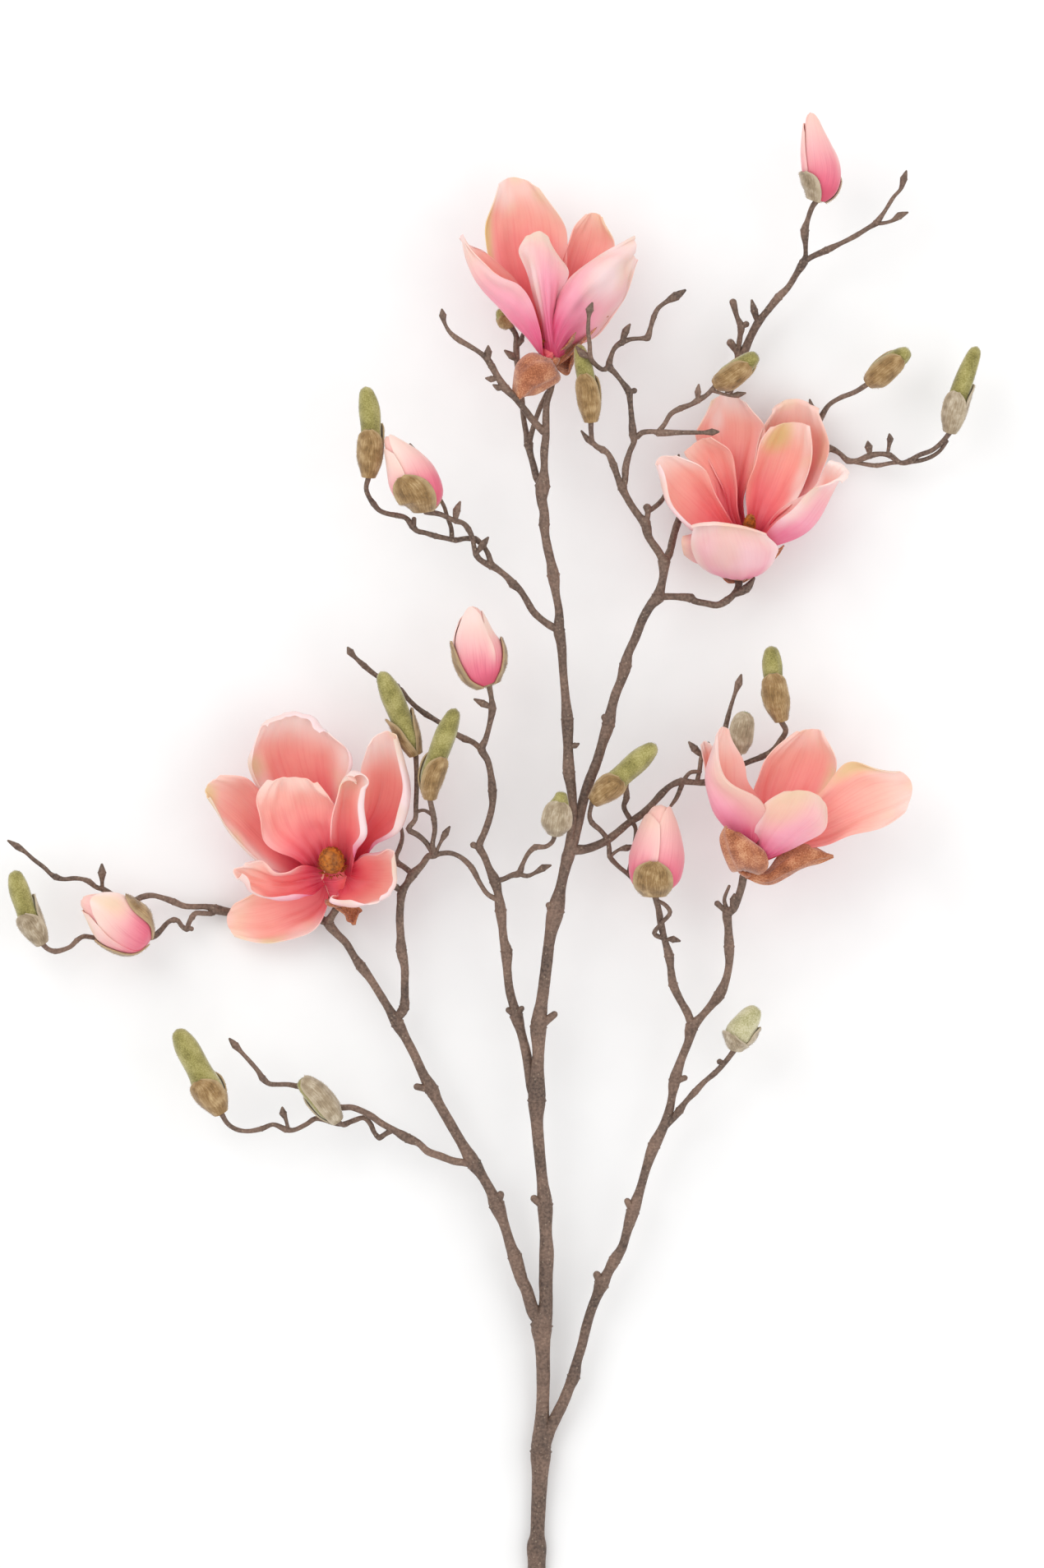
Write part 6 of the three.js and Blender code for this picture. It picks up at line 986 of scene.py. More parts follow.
def node_places(rows, line):
    """Where the wood has a node, and how much of the line 1 mm is there."""
    last = len(rows) - 1
    found = []
    for i in range(1, last):
        if rows[i].w > NODE_SWELL * max(rows[i - 1].w, rows[i + 1].w):
            speed = (line.at((i + 0.1) / last).xyz - line.at((i - 0.1) / last).xyz).length / (0.2 / last)
            found.append((i / last, MM / speed))
    return found


def ring_places(rows, line, step):
    """The shares of a line that get a ring, with each ring's swell: even, and close round the nodes."""
    ruler = Ruler(line, 400)
    count = max(3, round(ruler.run / (step * MM)))
    stops = {ruler.share(ruler.run * i / count): 1.0 for i in range(count + 1)}
    clear = NODE_RING[-1][0]
    for share, millimetre in node_places(rows, line):
        for near in [stop for stop in stops if abs(stop - share) < clear * millimetre and 0 < stop < 1]:
            del stops[near]
        for away, swell in NODE_RING:
            if 0 < share + away * millimetre < 1:
                stops[share + away * millimetre] = swell
    return sorted(stops.items())


def round_end(ring, inner):
    """The small rings that close a stem's end."""
    place, radius = ring
    out = (place - inner[0]).normalized()
    return [(place + out * radius * far, radius * thick) for far, thick in ROUND_END]


def stem(route, step, sides, rough, round_start=True):
    """A stem along a route, as a bevelled curve made a mesh. Its ends are rounded, or its start is cut."""
    rows = [Vector((*on_sheet(x, y, z), thick * MM / 2)) for x, y, z, thick in filled(route)]
    line = Line(rows)
    rings = []
    for share, swell in ring_places(rows, line, step):
        spot = line.at(share)
        knobs = rough * noise.noise(spot.xyz * BROAD_KNOBS)
        knobs += rough * 0.7 * noise.noise(spot.xyz * FINE_KNOBS)
        rings.append((spot.xyz, spot.w * (swell * (1 + knobs))))
    if round_start:
        rings = round_end(rings[0], rings[1])[::-1] + rings
    rings += round_end(rings[-1], rings[-2])
    start_clean()
    bpy.ops.curve.primitive_nurbs_path_add()
    wood = bpy.context.object
    curve = wood.data
    curve.splines.clear()
    spline = curve.splines.new("POLY")
    spline.points.add(len(rings) - 1)
    for point, (place, radius) in zip(spline.points, rings):
        point.co = (*place, 1)
        point.radius = radius / MM
    curve.dimensions = "3D"
    curve.bevel_depth = MM
    curve.bevel_resolution = sides
    curve.use_fill_caps = True
    pick(wood)
    bpy.ops.object.convert(target="MESH")
    pick_faces(wood)
    bpy.ops.mesh.remove_doubles(threshold=1e-7)
    bpy.ops.mesh.normals_make_consistent(inside=False)
    bpy.ops.object.mode_set(mode="OBJECT")
    return wood


def grown_together(name, stems):
    """All the stems as one closed body."""
    while len(stems) > 1:
        for kept, added in zip(stems[::2], stems[1::2]):
            modified(kept, "BOOLEAN", operation="UNION", solver="MANIFOLD", object=added)
            bpy.data.objects.remove(added)
        stems = stems[::2]
    return joined(name, stems)


def make_wood():
    stems = [stem(TRUNK, **TRUNK_STEM, round_start=False)]
    limbs = (LEFT_TRUNK, RIGHT_TRUNK, LEFT_LIMB, CENTRE_LIMB, RIGHT_LIMB)
    for routes, kind in ((limbs, LIMB_STEM), (TWIGS.values(), TWIG_STEM), (SPURS, SPUR_STEM)):
        stems += [stem(route, **kind) for route in routes]
    wood = grown_together("bark_wood", stems)
    # where it rests, its underside is cut level with the table
    pick_faces(wood)
    bpy.ops.mesh.bisect(plane_co=(0, 0, 0), plane_no=(0, 0, 1), use_fill=True, clear_inner=True,
                        threshold=TABLE_TOUCH)
    bpy.ops.object.mode_set(mode="OBJECT")
    cut_end = min(vertex.co.y for vertex in wood.data.vertices) + CUT_RIM * MM
    for face in wood.data.polygons:
        face.material_index = 1 if face.normal.y < -0.9 and face.center.y < cut_end else 0
    finish_piece(wood, [LOOK["bark"], LOOK["cut_wood"]], "branch_wood")

# ------------------------------------------------------------------ petals and bracts


class BladeRow:
    """One row across a blade. u is -1 at its left edge and 1 at its right."""

    def __init__(self, lines, share):
        self.spots = [line.at(share) for line in lines]
        before, after = max(share - 0.01, 0), min(share + 0.01, 1)
        self.runs = [line.at(after) - line.at(before) for line in lines]
        self.half = (self.spots[2] - self.spots[0]).length / 2

    def place(self, u, rows=None):
        left, middle, right = rows or self.spots
        return left * (u * (u - 1) / 2) + middle * (1 - u * u) + right * (u * (u + 1) / 2)

    def frame(self, u):
        """The directions across, along and inwards at u."""
        left, middle, right = self.spots
        across = (left * (u - 0.5) - middle * (2 * u) + right * (u + 0.5)).normalized()
        along = self.place(u, self.runs).normalized()
        return across, along, across.cross(along).normalized()


def blade_lines(edges, root):
    """A blade's left edge, middle and right edge, as lines that leave its root side by side."""
    sideways = (on_sheet(*edges[2][0]) - on_sheet(*edges[0][0])).normalized() * CLAW_HALF * MM
    feet = [root + sideways * (k - 1) for k in range(3)]
    return [Line([foot] + [on_sheet(*spot) for spot in edge]) for foot, edge in zip(feet, edges)]


def laid_out(reach, strip):
    """How far a face runs flat before its rim curls, and how far it runs in all."""
    flat = reach - abs(strip) / ROLL_TURN
    return flat, flat + abs(strip)


def turned_over(place, out, inward, beyond, strip):
    """A point `beyond` metres past a fold, on a rim strip that curls over inwards, or outwards."""
    radius = abs(strip) / ROLL_TURN
    angle = beyond / radius
    lift = radius * (1 - math.cos(angle)) * (1 if strip > 0 else -1)
    return place + out * radius * math.sin(angle) + inward * lift


def blade_half(row, share, habit):
    """Half the width of a blade at a share of its length, with its narrow tip and full foot."""
    half = row.half * (1 - habit["narrow"] * max(0, (share - 0.75) / 0.25) ** 2.5)
    half *= habit["wide"]
    return half * (1 + habit["full"] * eased(share, 0.0, 0.15) * (1 - eased(share, 0.3, 0.65)))


def blade_wave(side, share, number, habit):
    """How many mm a blade's face stands inwards: the waves of its rim, its ribs and loose folds."""
    ruffle, phase = habit["ruffle"], number * 1.7
    wave = ruffle * abs(side) ** 3 * math.sin(phase + 10 * share + 2.2 * side) * eased(share, 0.1, 0.6)
    rib = habit["ribs"] * math.sin(math.pi * share) + 0.35 * eased(share, 0.03, 0.15) * (1 - share) ** 3
    wave += rib * math.cos(side * 17 + phase + math.sin(5 * share)) * (1 - side ** 4)
    wave += 0.8 * ruffle * noise.noise(Vector((side * 1.5, share * 2.2, number * 3.1))) * share
    wave += ruffle * noise.noise(Vector((side * 4.2, share * 4.5, number * 5.3))) * eased(share, 0.2, 0.5)
    return wave


def petal_tint(side, share, habit):
    """How far a petal's colour is moved up, how pale it is with its painted highlights, and how golden."""
    left, right, tip = habit["pale"]
    rim, top = habit["pale_from"]
    pale = max(left * eased(-side, rim, rim + 0.4), right * eased(side, rim, rim + 0.4))
    pale *= eased(share, 0.2, 0.5)
    pale = max(pale, tip * eased(share + 0.08 * side * side, top, 1.0))
    spots = []
    # the first patches are painted highlights, which join the pale tint; the second are golden places
    for patches in (habit["highlight_patches"], habit["gold"]):
        shown = [much * eased(1 - math.hypot((side - u) / wide, (share - rise) / tall), 0, 0.8)
                 for u, rise, wide, tall, much in patches]
        spots.append(max(shown, default=0))
    return (habit["shift"], max(pale, spots[0]), spots[1], 1)


def new_tint(piece, colour=(0, 0, 0, 1)):
    """A colour for each point of a piece, which the petal materials read."""
    tint = piece.data.attributes.new("tint", "FLOAT_COLOR", "POINT")
    for spot in tint.data:
        spot.color = colour
    return tint


def blade(root, edges, number, thickness, size, habit, faces):
    """A thin blade on its three lines, with the waves, ribs and curled rims of its habit.

    `faces` is the material of its inner face and then, where it differs, that of its outer face."""
    habit = PLAIN_HABIT | habit
    lines = blade_lines(edges, root)
    length = sum((q - p).length for p, q in zip(lines[1].points, lines[1].points[1:]))
    tip_strip = habit["tip"] * MM
    flat_length, whole_length = laid_out(length, tip_strip)
    sheet = grid(*size, number)
    for face in faces:
        sheet.data.materials.append(face)
    tint = new_tint(sheet)
    made = {}
    for vertex in sheet.data.vertices:
        side, rise = vertex.co.x, (vertex.co.y + 1) / 2
        share = rise * (1.4 - 0.4 * rise)
        run = share * whole_length
        level = round(min(run, flat_length) / length, 6)
        if level not in made:
            made[level] = BladeRow(lines, level)
        row = made[level]
        strip = habit["roll"][side > 0] * MM * eased(share, 0.15, 0.4)
        if tip_strip:
            strip *= 1 - eased(share, 0.7, 0.9)
        half = blade_half(row, share, habit)
        strip = math.copysign(min(abs(strip), half * 0.5), strip)
        flat, whole = laid_out(half, strip)
        reach = whole * (1 - (1 - abs(side)) ** 1.3)
        u = math.copysign(min(reach, flat) / max(row.half, 1e-6), side)
        across, along, inward = row.frame(u)
        place = row.place(u)
        if reach > flat and strip:
            place = turned_over(place, across * math.copysign(1, side), inward, reach - flat, strip)
        if run > flat_length and tip_strip:
            place = turned_over(place, along, inward, run - flat_length, tip_strip)
        vertex.co = place + inward * blade_wave(side, share, number, habit) * MM
        tint.data[vertex.index].color = petal_tint(side, share, habit)
    modified(sheet, "SOLIDIFY", thickness=thickness * MM, offset=0, material_offset=len(faces) - 1)
    return sheet


def stalk_end(foot, heart, along, core):
    """The swollen end of the stalk that a bloom's petals spring from."""
    rows = [(foot + along * CUP_HEIGHT * MM, core * 1.2), (foot.lerp(heart, 0.6), core * 1.5),
            (heart, core * 1.9), (heart + along * core * 0.45 * MM, core * 1.5)]
    route = [(place.x / MM + SHEET_ACROSS, SHEET_DOWN - place.y / MM, place.z / MM, thick)
             for place, thick in rows]
    end = stem(route, **STALK_STEM)
    new_tint(end, STALK_TINT)
    return end


def make_bloom(name, bloom):
    foot, heart, core = on_sheet(*bloom["base"]), on_sheet(*bloom["heart"]), bloom["core"]
    along = (heart - foot).normalized()
    faces = [LOOK["petal_inside"], LOOK["petal_outside"]]
    petals = [stalk_end(foot, heart, along, core)]
    for face in faces:
        petals[0].data.materials.append(face)
    for number, edges in enumerate(bloom["petals"]):
        out = on_sheet(*edges[1][0]) - heart
        out = (out - along * out.dot(along)).normalized() * core * CLAW_RING * MM
        habit = PETAL_HABITS[name][number]
        petals.append(blade(heart + out, edges, number + 1, PETAL_THICKNESS, PETAL_GRID, habit, faces))
    finish_piece(joined(f"{name}_petal_whorl", petals), faces, f"{name}_petals")

    bracts = [egg(foot, along, core * 2 * MM, CUP_HEIGHT * 2 * MM)]
    for number, edges in enumerate(bloom["bracts"]):
        bracts.append(blade(foot, edges, number + 1, BRACT_THICKNESS, BRACT_GRID, BRACT_HABIT,
                            [LOOK["bract"]]))
    husk = joined(f"{name}_felt_bracts", bracts)
    husk = joined(f"{name}_felt_bracts", [husk, fur(husk, 900, 0.9, along, 11)])
    finish_piece(husk, [LOOK["bract"]], f"{name}_bracts")

# ------------------------------------------------------------------ hairs, cones and stamens


def fur(piece, count, length, toward, seed, grows_on=None, lean=1.6):
    """Short fine hairs that stand on a piece's faces and lean `toward` its tip by `lean`.

    They grow on the faces for which `grows_on(centre, normal)` holds, or on all."""
    draw = random.Random(seed)
    mesh = piece.data
    faces = [f for f in mesh.polygons if grows_on is None or grows_on(f.center, f.normal)]
    points, sides = [], []
    for face in draw.choices(faces, [f.area for f in faces], k=count):
        corners = [mesh.vertices[i].co for i in face.vertices]
        weights = [draw.random() + 0.05 for _ in corners]
        spot = sum((c * w for c, w in zip(corners, weights)), Vector()) / sum(weights)
        lie = toward - face.normal * toward.dot(face.normal)
        stray = Vector((draw.uniform(-1, 1), draw.uniform(-1, 1), draw.uniform(-1, 1))) * HAIR_STRAY
        out = (face.normal + lie * lean + stray).normalized()
        if out.dot(face.normal) < 0.15:
            out = (out + face.normal * 0.5).normalized()
        tall = length * MM * draw.uniform(*HAIR_LENGTHS)
        wide = out.orthogonal().normalized() * HAIR_HALF_WIDTH * MM
        start = spot - face.normal * HAIR_ROOT * MM
        base = len(points)
        for k in range(3):
            points.append(start + Matrix.Rotation(k * 2 * math.pi / 3, 3, out) @ wide)
        points.append(start + out * tall - Vector((0, 0, HAIR_DROOP * tall)))
        sides += [(base, base + 2, base + 1), (base, base + 1, base + 3),
                  (base + 1, base + 2, base + 3), (base + 2, base, base + 3)]
    coat = bpy.data.meshes.new("coat")
    coat.from_pydata(points, [], sides)
    coat.uv_layers.new(name="UVMap")
    for face in coat.polygons:
        face.material_index = FUR_MARK
    hairs = bpy.data.objects.new("coat", coat)
    bpy.context.scene.collection.objects.link(hairs)
    return hairs


def stuck(pattern, root, along, half_width, half_length, mark):
    """A copy of a small piece, with its own mesh, stuck on at `root` along `along`."""
    copy = pattern.copy()
    copy.data = pattern.data.copy()
    bpy.context.scene.collection.objects.link(copy)
    put(copy, root, along, half_width * MM, half_length * MM)
    for face in copy.data.polygons:
        face.material_index = mark
    return copy


def make_cone(name, bloom):
    """The cone of carpels, each a small leaning point, and the ring of stamens at its foot."""
    cone = bloom["centre"]
    foot, tip, radius = on_sheet(*cone["foot"]), on_sheet(*cone["tip"]), cone["radius"] * MM
    along = (tip - foot).normalized()
    tall = (tip - foot).length
    side = along.orthogonal().normalized()
    parts = [egg(foot + along * tall * 0.55, along, radius * 2.4, tall * 0.95, 20)]
    start_clean()
    bpy.ops.mesh.primitive_cone_add(vertices=6, radius1=1, radius2=0.25, depth=2)
    thorn = bpy.context.object
    thorn.data.transform(Matrix.Translation((0, 0, 1)))
    for k in range(CARPELS):
        rise = (k + 0.5) / CARPELS
        out = Matrix.Rotation(k * GOLDEN_TURN, 3, along) @ side
        height = 0.3 + 0.68 * rise
        wide = radius * 1.12 * math.sqrt(max(0.02, 1 - ((height - 0.55) / 0.475) ** 2))
        lean = (out * 0.45 + along * (0.75 + rise)).normalized()
        parts.append(stuck(thorn, foot + along * tall * height + out * wide, lean, *CARPEL_SIZE, 0))
    for k in range(STAMENS):
        out = Matrix.Rotation(k * GOLDEN_TURN, 3, along) @ side
        root = foot + out * radius * 1.0 + along * (0.12 + 0.03 * (k % 3)) * tall
        lean = (out * 0.9 + along * (0.5 + 0.25 * (k % 3))).normalized()
        parts.append(stuck(thorn, root, lean, STAMEN_WIDTH, STAMEN_LENGTHS[k % 4], 1))
    bpy.data.objects.remove(thorn)
    whole = joined(f"{name}_seed_cone", parts)
    finish_piece(whole, [LOOK["cone"], LOOK["stamen"]], f"{name}_cone", crease=40)

# ------------------------------------------------------------------ buds


class BudForm:
    """A bud's middle line, its girth and the directions round it."""

    def __init__(self, body):
        self.line = Line([on_sheet(*row[:3]) for row in body])
        self.girths = Line([Vector((k, row[3] / 2 * MM, 0)) for k, row in enumerate(body)])
        self.ruler = Ruler(self.line, 200)
        self.middle = self.line.along(0.5)

    def out(self, share, turn):
        """The direction away from the middle line, `turn` radians round from straight up."""
        along = self.line.along(share)
        up = Vector((0, 0, 1)) - along * along.z
        return Matrix.Rotation(turn, 3, along) @ up.normalized()

    def girth(self, share):
        return self.girths.at(share).y

    def on_skin(self, share, turn, stand=0.0):
        return self.line.at(share) + self.out(share, turn) * (self.girth(share) + stand)


def bud_body(form, shrink=0.0, swell=None):
    """A closed bud: a tube along the bud's line, drawn to a point at both ends."""
    start_clean()
    bpy.ops.mesh.primitive_uv_sphere_add(segments=28, ring_count=40, radius=1)
    body = bpy.context.object
    for vertex in body.data.vertices:
        share = math.acos(max(-1, min(1, -vertex.co.z))) / math.pi
        turn = math.atan2(-vertex.co.x, vertex.co.y)
        ends = min(1, (share / 0.05)) ** 0.5 * (1 - max(0, 1 - (1 - share) / 0.07) ** 2) ** 0.5
        radius = max(0, (form.girth(share) - shrink * MM)) * ends
        if swell:
            radius *= swell(share, turn)
        vertex.co = form.line.at(share) + form.out(share, turn) * radius
    return body


def wrapped_petal(form, number, turn, high, habit):
    """A petal that wraps round a closed bud, one edge under its neighbour and one over it."""
    low, spread, twist, stand = 0.02, 1.25, 0.5, 0.25
    sheet = grid(*WRAP_GRID, number)
    tint = new_tint(sheet)
    for vertex in sheet.data.vertices:
        u, rise = vertex.co.x, (vertex.co.y + 1) / 2
        top = high - 0.1 * abs(u) ** 2.2
        share = form.ruler.share((low + (top - low) * rise) * form.ruler.run)
        angle = turn + u * spread * (1 - 0.25 * rise ** 3) + twist * rise
        away = (stand + (u + 1) * 0.75) * (0.25 + 0.75 * eased(rise, 0.2, 0.6) * (1 - 0.5 * rise ** 3))
        away += 0.25 * math.sin(number + 5 * rise) * abs(u) ** 3
        vertex.co = form.on_skin(share, angle, away * MM)
        tint.data[vertex.index].color = petal_tint(u, rise, habit)
    modified(sheet, "SOLIDIFY", thickness=WRAP_THICKNESS * MM, offset=0, material_offset=0)
    return sheet


def spoon_scale(form, number, scale, clear):
    """A furry spoon-shaped scale with a raised rim and a low ridge, `clear` mm off the bud it hugs."""
    turn, width, length = scale
    sheet = grid(*SCALE_GRID, number)
    for vertex in sheet.data.vertices:
        u, rise = vertex.co.x, (vertex.co.y + 1) / 2
        share = form.ruler.share(length * MM * rise)
        girth = max(form.girth(share), 2.2 * MM)
        if rise < 0.4:
            wide = 0.62 + 0.38 * math.sin(math.pi / 2 * rise / 0.4)
        else:
            wide = max(0.04, 1 - ((rise - 0.4) / 0.6) ** 2.3) ** 0.6
        spread = min(width / 2 * MM / girth, 2.4) * wide
        angle = math.radians(turn) + u * spread
        stand = clear + 0.15 * (number % 2) + rise ** 2 * (1 - 0.4 * u * u)
        rim = max(eased(abs(u), 0.66, 0.95), eased(rise, 0.86, 1.0)) * eased(rise, 0.05, 0.3)
        stand += 0.45 * rim + 0.35 * math.exp(-(u / 0.16) ** 2) * (1 - rise)
        stand += 0.18 * math.sin(7 * rise + number)
        stand += 0.2 * noise.noise(Vector((u * 3, rise * 5, number * 4.7)))
        vertex.co = form.on_skin(share, angle, stand * MM)
    modified(sheet, "SOLIDIFY", thickness=SCALE_THICKNESS * MM, offset=1, material_offset=0)
    return sheet


def make_scales(name, form, scales, clear, seed):
    """The husk of a bud: its scales, the collar that they spring from, and their hairs."""
    spoons = [spoon_scale(form, k + 1, scale, clear) for k, scale in enumerate(scales)]
    collar = egg(form.line.at(0.04), form.line.along(0.0), form.girth(0.0) * 2.6, 4.5 * MM, 16)
    husk = joined(f"{name}_furry_scales", spoons + [collar])

    def faces_out(centre, normal):
        share = form.ruler.share((centre - form.line.at(0)).dot(form.line.along(0.3)))
        return normal.dot(centre - form.line.at(share)) > 0

    area = sum(width * length for _, width, length in scales)
    hairs = fur(husk, int(area * 2.2), 1.3, form.middle, seed, faces_out)
    husk = joined(f"{name}_furry_scales", [husk, hairs])
    skin = LOOK["grey_scale"] if name in GREY_SCALES else LOOK["brown_scale"]
    finish_piece(husk, [skin, LOOK["pale_fur"]], f"{name}_scales")


def make_pink_bud(name, bud, seed):
    body, scales = bud
    form = BudForm(body)
    habit = PLAIN_HABIT | BUD_HABIT | BUD_HABITS.get(name, {})
    core = bud_body(form, shrink=0.3)
    new_tint(core, CORE_TINT)
    wraps = []
    for k in range(3):
        turn = math.radians(scales[0][0] + 40 + k * 122)
        wraps.append(wrapped_petal(form, k + 1, turn, 0.99 - 0.05 * k, habit))
    petals = joined(f"{name}_wrapped_petals", [core] + wraps)
    finish_piece(petals, [LOOK["bud_petal"]], f"{name}_petals")
    make_scales(name, form, scales, 1.0, seed)


def make_green_bud(name, bud, seed):
    body, scales = bud
    form = BudForm(body)
    seam_turn = math.radians(scales[0][0]) + 0.9

    def swell(share, turn):
        """Fuller towards the tip, with one long seam."""
        seam = 1 - 0.1 * math.exp(-((math.sin((turn - seam_turn) / 2)) / 0.07) ** 2) * min(1, share * 2)
        return seam * (1.04 + 0.3 * eased(share, 0.45, 0.95))

    horn = bud_body(form, swell=swell)
    coat = fur(horn, int(form.ruler.run / MM * 22), 1.1, form.middle, seed, lean=2.2)
    horn = joined(f"{name}_furry_horn", [horn, coat])
    skin = LOOK["pale_horn"] if name in PALE_HORNS else LOOK["green_horn"]
    finish_piece(horn, [skin, LOOK["pale_fur"]], f"{name}_horn")
    make_scales(name, form, scales, 0.6, seed + 50)

# ------------------------------------------------------------------ materials


def linear(code):
    """An sRGB hex colour as linear values."""
    parts = [int(code[i:i + 2], 16) / 255 for i in (1, 3, 5)]
    return (*[p / 12.92 if p <= 0.04045 else ((p + 0.055) / 1.055) ** 2.4 for p in parts], 1)


def feed(node, inputs):
    """Gives a node's inputs their values or links. A whole node stands for its first output."""
    for key, value in inputs.items():
        source = value.outputs[0] if isinstance(value, bpy.types.Node) else value
        if isinstance(source, bpy.types.NodeSocket):
            node.id_data.links.new(source, node.inputs[key])
        else:
            node.inputs[key].default_value = source


def add_node(material, kind, inputs=None, stops=None, **settings):
    """One node with its settings, its inputs and its colour stops, as hex colours or grey values."""
    node = material.node_tree.nodes.new(kind)
    for key, value in settings.items():
        setattr(node, key, value)
    if stops:
        ramp = node.color_ramp
        while len(ramp.elements) < len(stops):
            ramp.elements.new(0.5)
        for element, (place, colour) in zip(ramp.elements, stops):
            element.position = place
            element.color = linear(colour) if isinstance(colour, str) else (colour, colour, colour, 1)
    feed(node, inputs or {})
    return node


def new_material(name, **constants):
    """A material with its shader's constant values, that shader, and the place in metres."""
    material = bpy.data.materials.new(name)
    material.use_nodes = True
    shader = material.node_tree.nodes["Principled BSDF"]
    feed(shader, {key.replace("_", " "): value for key, value in constants.items()})
    return material, shader, add_node(material, "ShaderNodeTexCoord").outputs["Object"]


def per_mm(size):
    """The scale of a pattern whose features are `size` mm."""
    return 1 / (size * MM)


def magnolia_bark():
    """Smooth thin bark: grey-brown, dull and mottled, with pale warts about 1 mm across."""
    material, shader, place = new_material("smooth_magnolia_bark", Roughness=0.6)
    broad = add_node(material, "ShaderNodeTexNoise", {"Vector": place, "Scale": per_mm(22), "Detail": 4.0})
    tone = add_node(material, "ShaderNodeValToRGB", {"Fac": broad},
                    stops=[(0.3, "#42322A"), (0.5, "#664F42"), (0.7, "#8A6D5C")])
    fine = add_node(material, "ShaderNodeTexNoise", {"Vector": place, "Scale": per_mm(1.6), "Detail": 6.0})
    grain = add_node(material, "ShaderNodeValToRGB", {"Fac": fine},
                     stops=[(0.35, "#38291F"), (0.65, "#9A7F6C")])
    mixed = add_node(material, "ShaderNodeMixRGB", {"Fac": 0.38, "Color1": tone, "Color2": grain})
    cells = add_node(material, "ShaderNodeTexVoronoi", {"Vector": place, "Scale": per_mm(3.4)})
    wart = add_node(material, "ShaderNodeValToRGB", {"Fac": cells}, stops=[(0.08, 0.7), (0.2, 0.0)])
    flecked = add_node(material, "ShaderNodeMixRGB", {"Fac": wart, "Color1": mixed,
                                                      "Color2": linear("#A08C77")})
    height = add_node(material, "ShaderNodeMath", {0: fine, 1: wart}, operation="ADD")
    bump = add_node(material, "ShaderNodeBump", {"Height": height, "Strength": 0.6, "Distance": 0.4 * MM})
    feed(shader, {"Base Color": flecked, "Normal": bump})
    return material


def cut_wood():
    """The sawn end: dull pale sapwood with faint rings round its middle."""
    material, shader, place = new_material("sawn_sapwood", Roughness=0.8)
    moved = add_node(material, "ShaderNodeMapping", {"Vector": place, "Location": -on_sheet(*TRUNK[0][:3])})
    rings = add_node(material, "ShaderNodeTexWave", {"Vector": moved, "Scale": per_mm(7),
                                                     "Distortion": 1.5},
                     wave_type="RINGS", rings_direction="Y")
    tone = add_node(material, "ShaderNodeValToRGB", {"Fac": rings.outputs["Fac"]},
                    stops=[(0.2, "#D9C6A0"), (0.8, "#B79B70")])
    feed(shader, {"Base Color": tone})
    return material


def petal_face(name, rough, stops, streak, rim):
    """Living petal: soft, slightly waxy, deep at its foot, with fine veins that run to the tip."""
    material, shader, place = new_material(
        name, Roughness=rough, Specular_IOR_Level=0.35, Sheen_Weight=0.15, Sheen_Roughness=0.4,
        Subsurface_Weight=0.12, Subsurface_Radius=(1.0, 0.4, 0.3), Subsurface_Scale=1.5 * MM)
    spot = add_node(material, "ShaderNodeSeparateXYZ", {"Vector": add_node(material, "ShaderNodeUVMap",
                                                                           uv_map="UVMap")})
    rise = spot.outputs["Y"]
    tint = add_node(material, "ShaderNodeSeparateColor", {"Color": add_node(material, "ShaderNodeAttribute",
                                                                            attribute_name="tint")})
    # its colour from foot to tip, which drifts over about 26 mm
    cloud = add_node(material, "ShaderNodeTexNoise", {"Vector": place, "Scale": per_mm(26), "Detail": 3.0})
    drift = add_node(material, "ShaderNodeMath", {0: cloud, 1: 0.3, 2: -0.15}, operation="MULTIPLY_ADD")
    moved = add_node(material, "ShaderNodeMath", {0: drift, 1: tint}, operation="ADD")
    shifted = add_node(material, "ShaderNodeMath", {0: rise, 1: moved}, operation="ADD")
    ground = add_node(material, "ShaderNodeValToRGB", {"Fac": shifted}, stops=stops)
    # veins about 1 mm apart across a petal some 45 mm wide
    along = add_node(material, "ShaderNodeCombineXYZ", {"X": spot, "Y": rise})
    stretched = add_node(material, "ShaderNodeMapping", {"Vector": along, "Scale": (34, 1.6, 1)})
    veins = add_node(material, "ShaderNodeTexNoise", {"Vector": stretched, "Scale": 1.0, "Detail": 4.0,
                                                      "Roughness": 0.6})
    vein = add_node(material, "ShaderNodeMapRange", {"Value": veins, "From Min": 0.48, "From Max": 0.68,
                                                     "To Min": 0.0, "To Max": 0.5})
    fade = add_node(material, "ShaderNodeMapRange", {"Value": rise, "From Min": 0.1, "From Max": 0.95,
                                                     "To Min": 1.0, "To Max": 0.3})
    much = add_node(material, "ShaderNodeMath", {0: vein, 1: fade}, operation="MULTIPLY")
    veined = add_node(material, "ShaderNodeMixRGB", {"Fac": much, "Color1": ground,
                                                     "Color2": linear(streak)})
    # its pale places, painted highlights among them, and its golden places
    blotch = add_node(material, "ShaderNodeTexNoise", {"Vector": place, "Scale": per_mm(30), "Detail": 1.0})
    tipped = add_node(material, "ShaderNodeValToRGB", {"Fac": blotch}, stops=rim)
    paled = add_node(material, "ShaderNodeMixRGB", {"Fac": tint.outputs["Green"], "Color1": veined,
                                                    "Color2": tipped})
    gilded = add_node(material, "ShaderNodeMixRGB", {"Fac": tint.outputs["Blue"], "Color1": paled,
                                                     "Color2": linear("#DFC584")})
    bump = add_node(material, "ShaderNodeBump", {"Height": veins, "Strength": 0.35, "Distance": 0.35 * MM})
    feed(shader, {"Base Color": gilded, "Normal": bump})
    return material


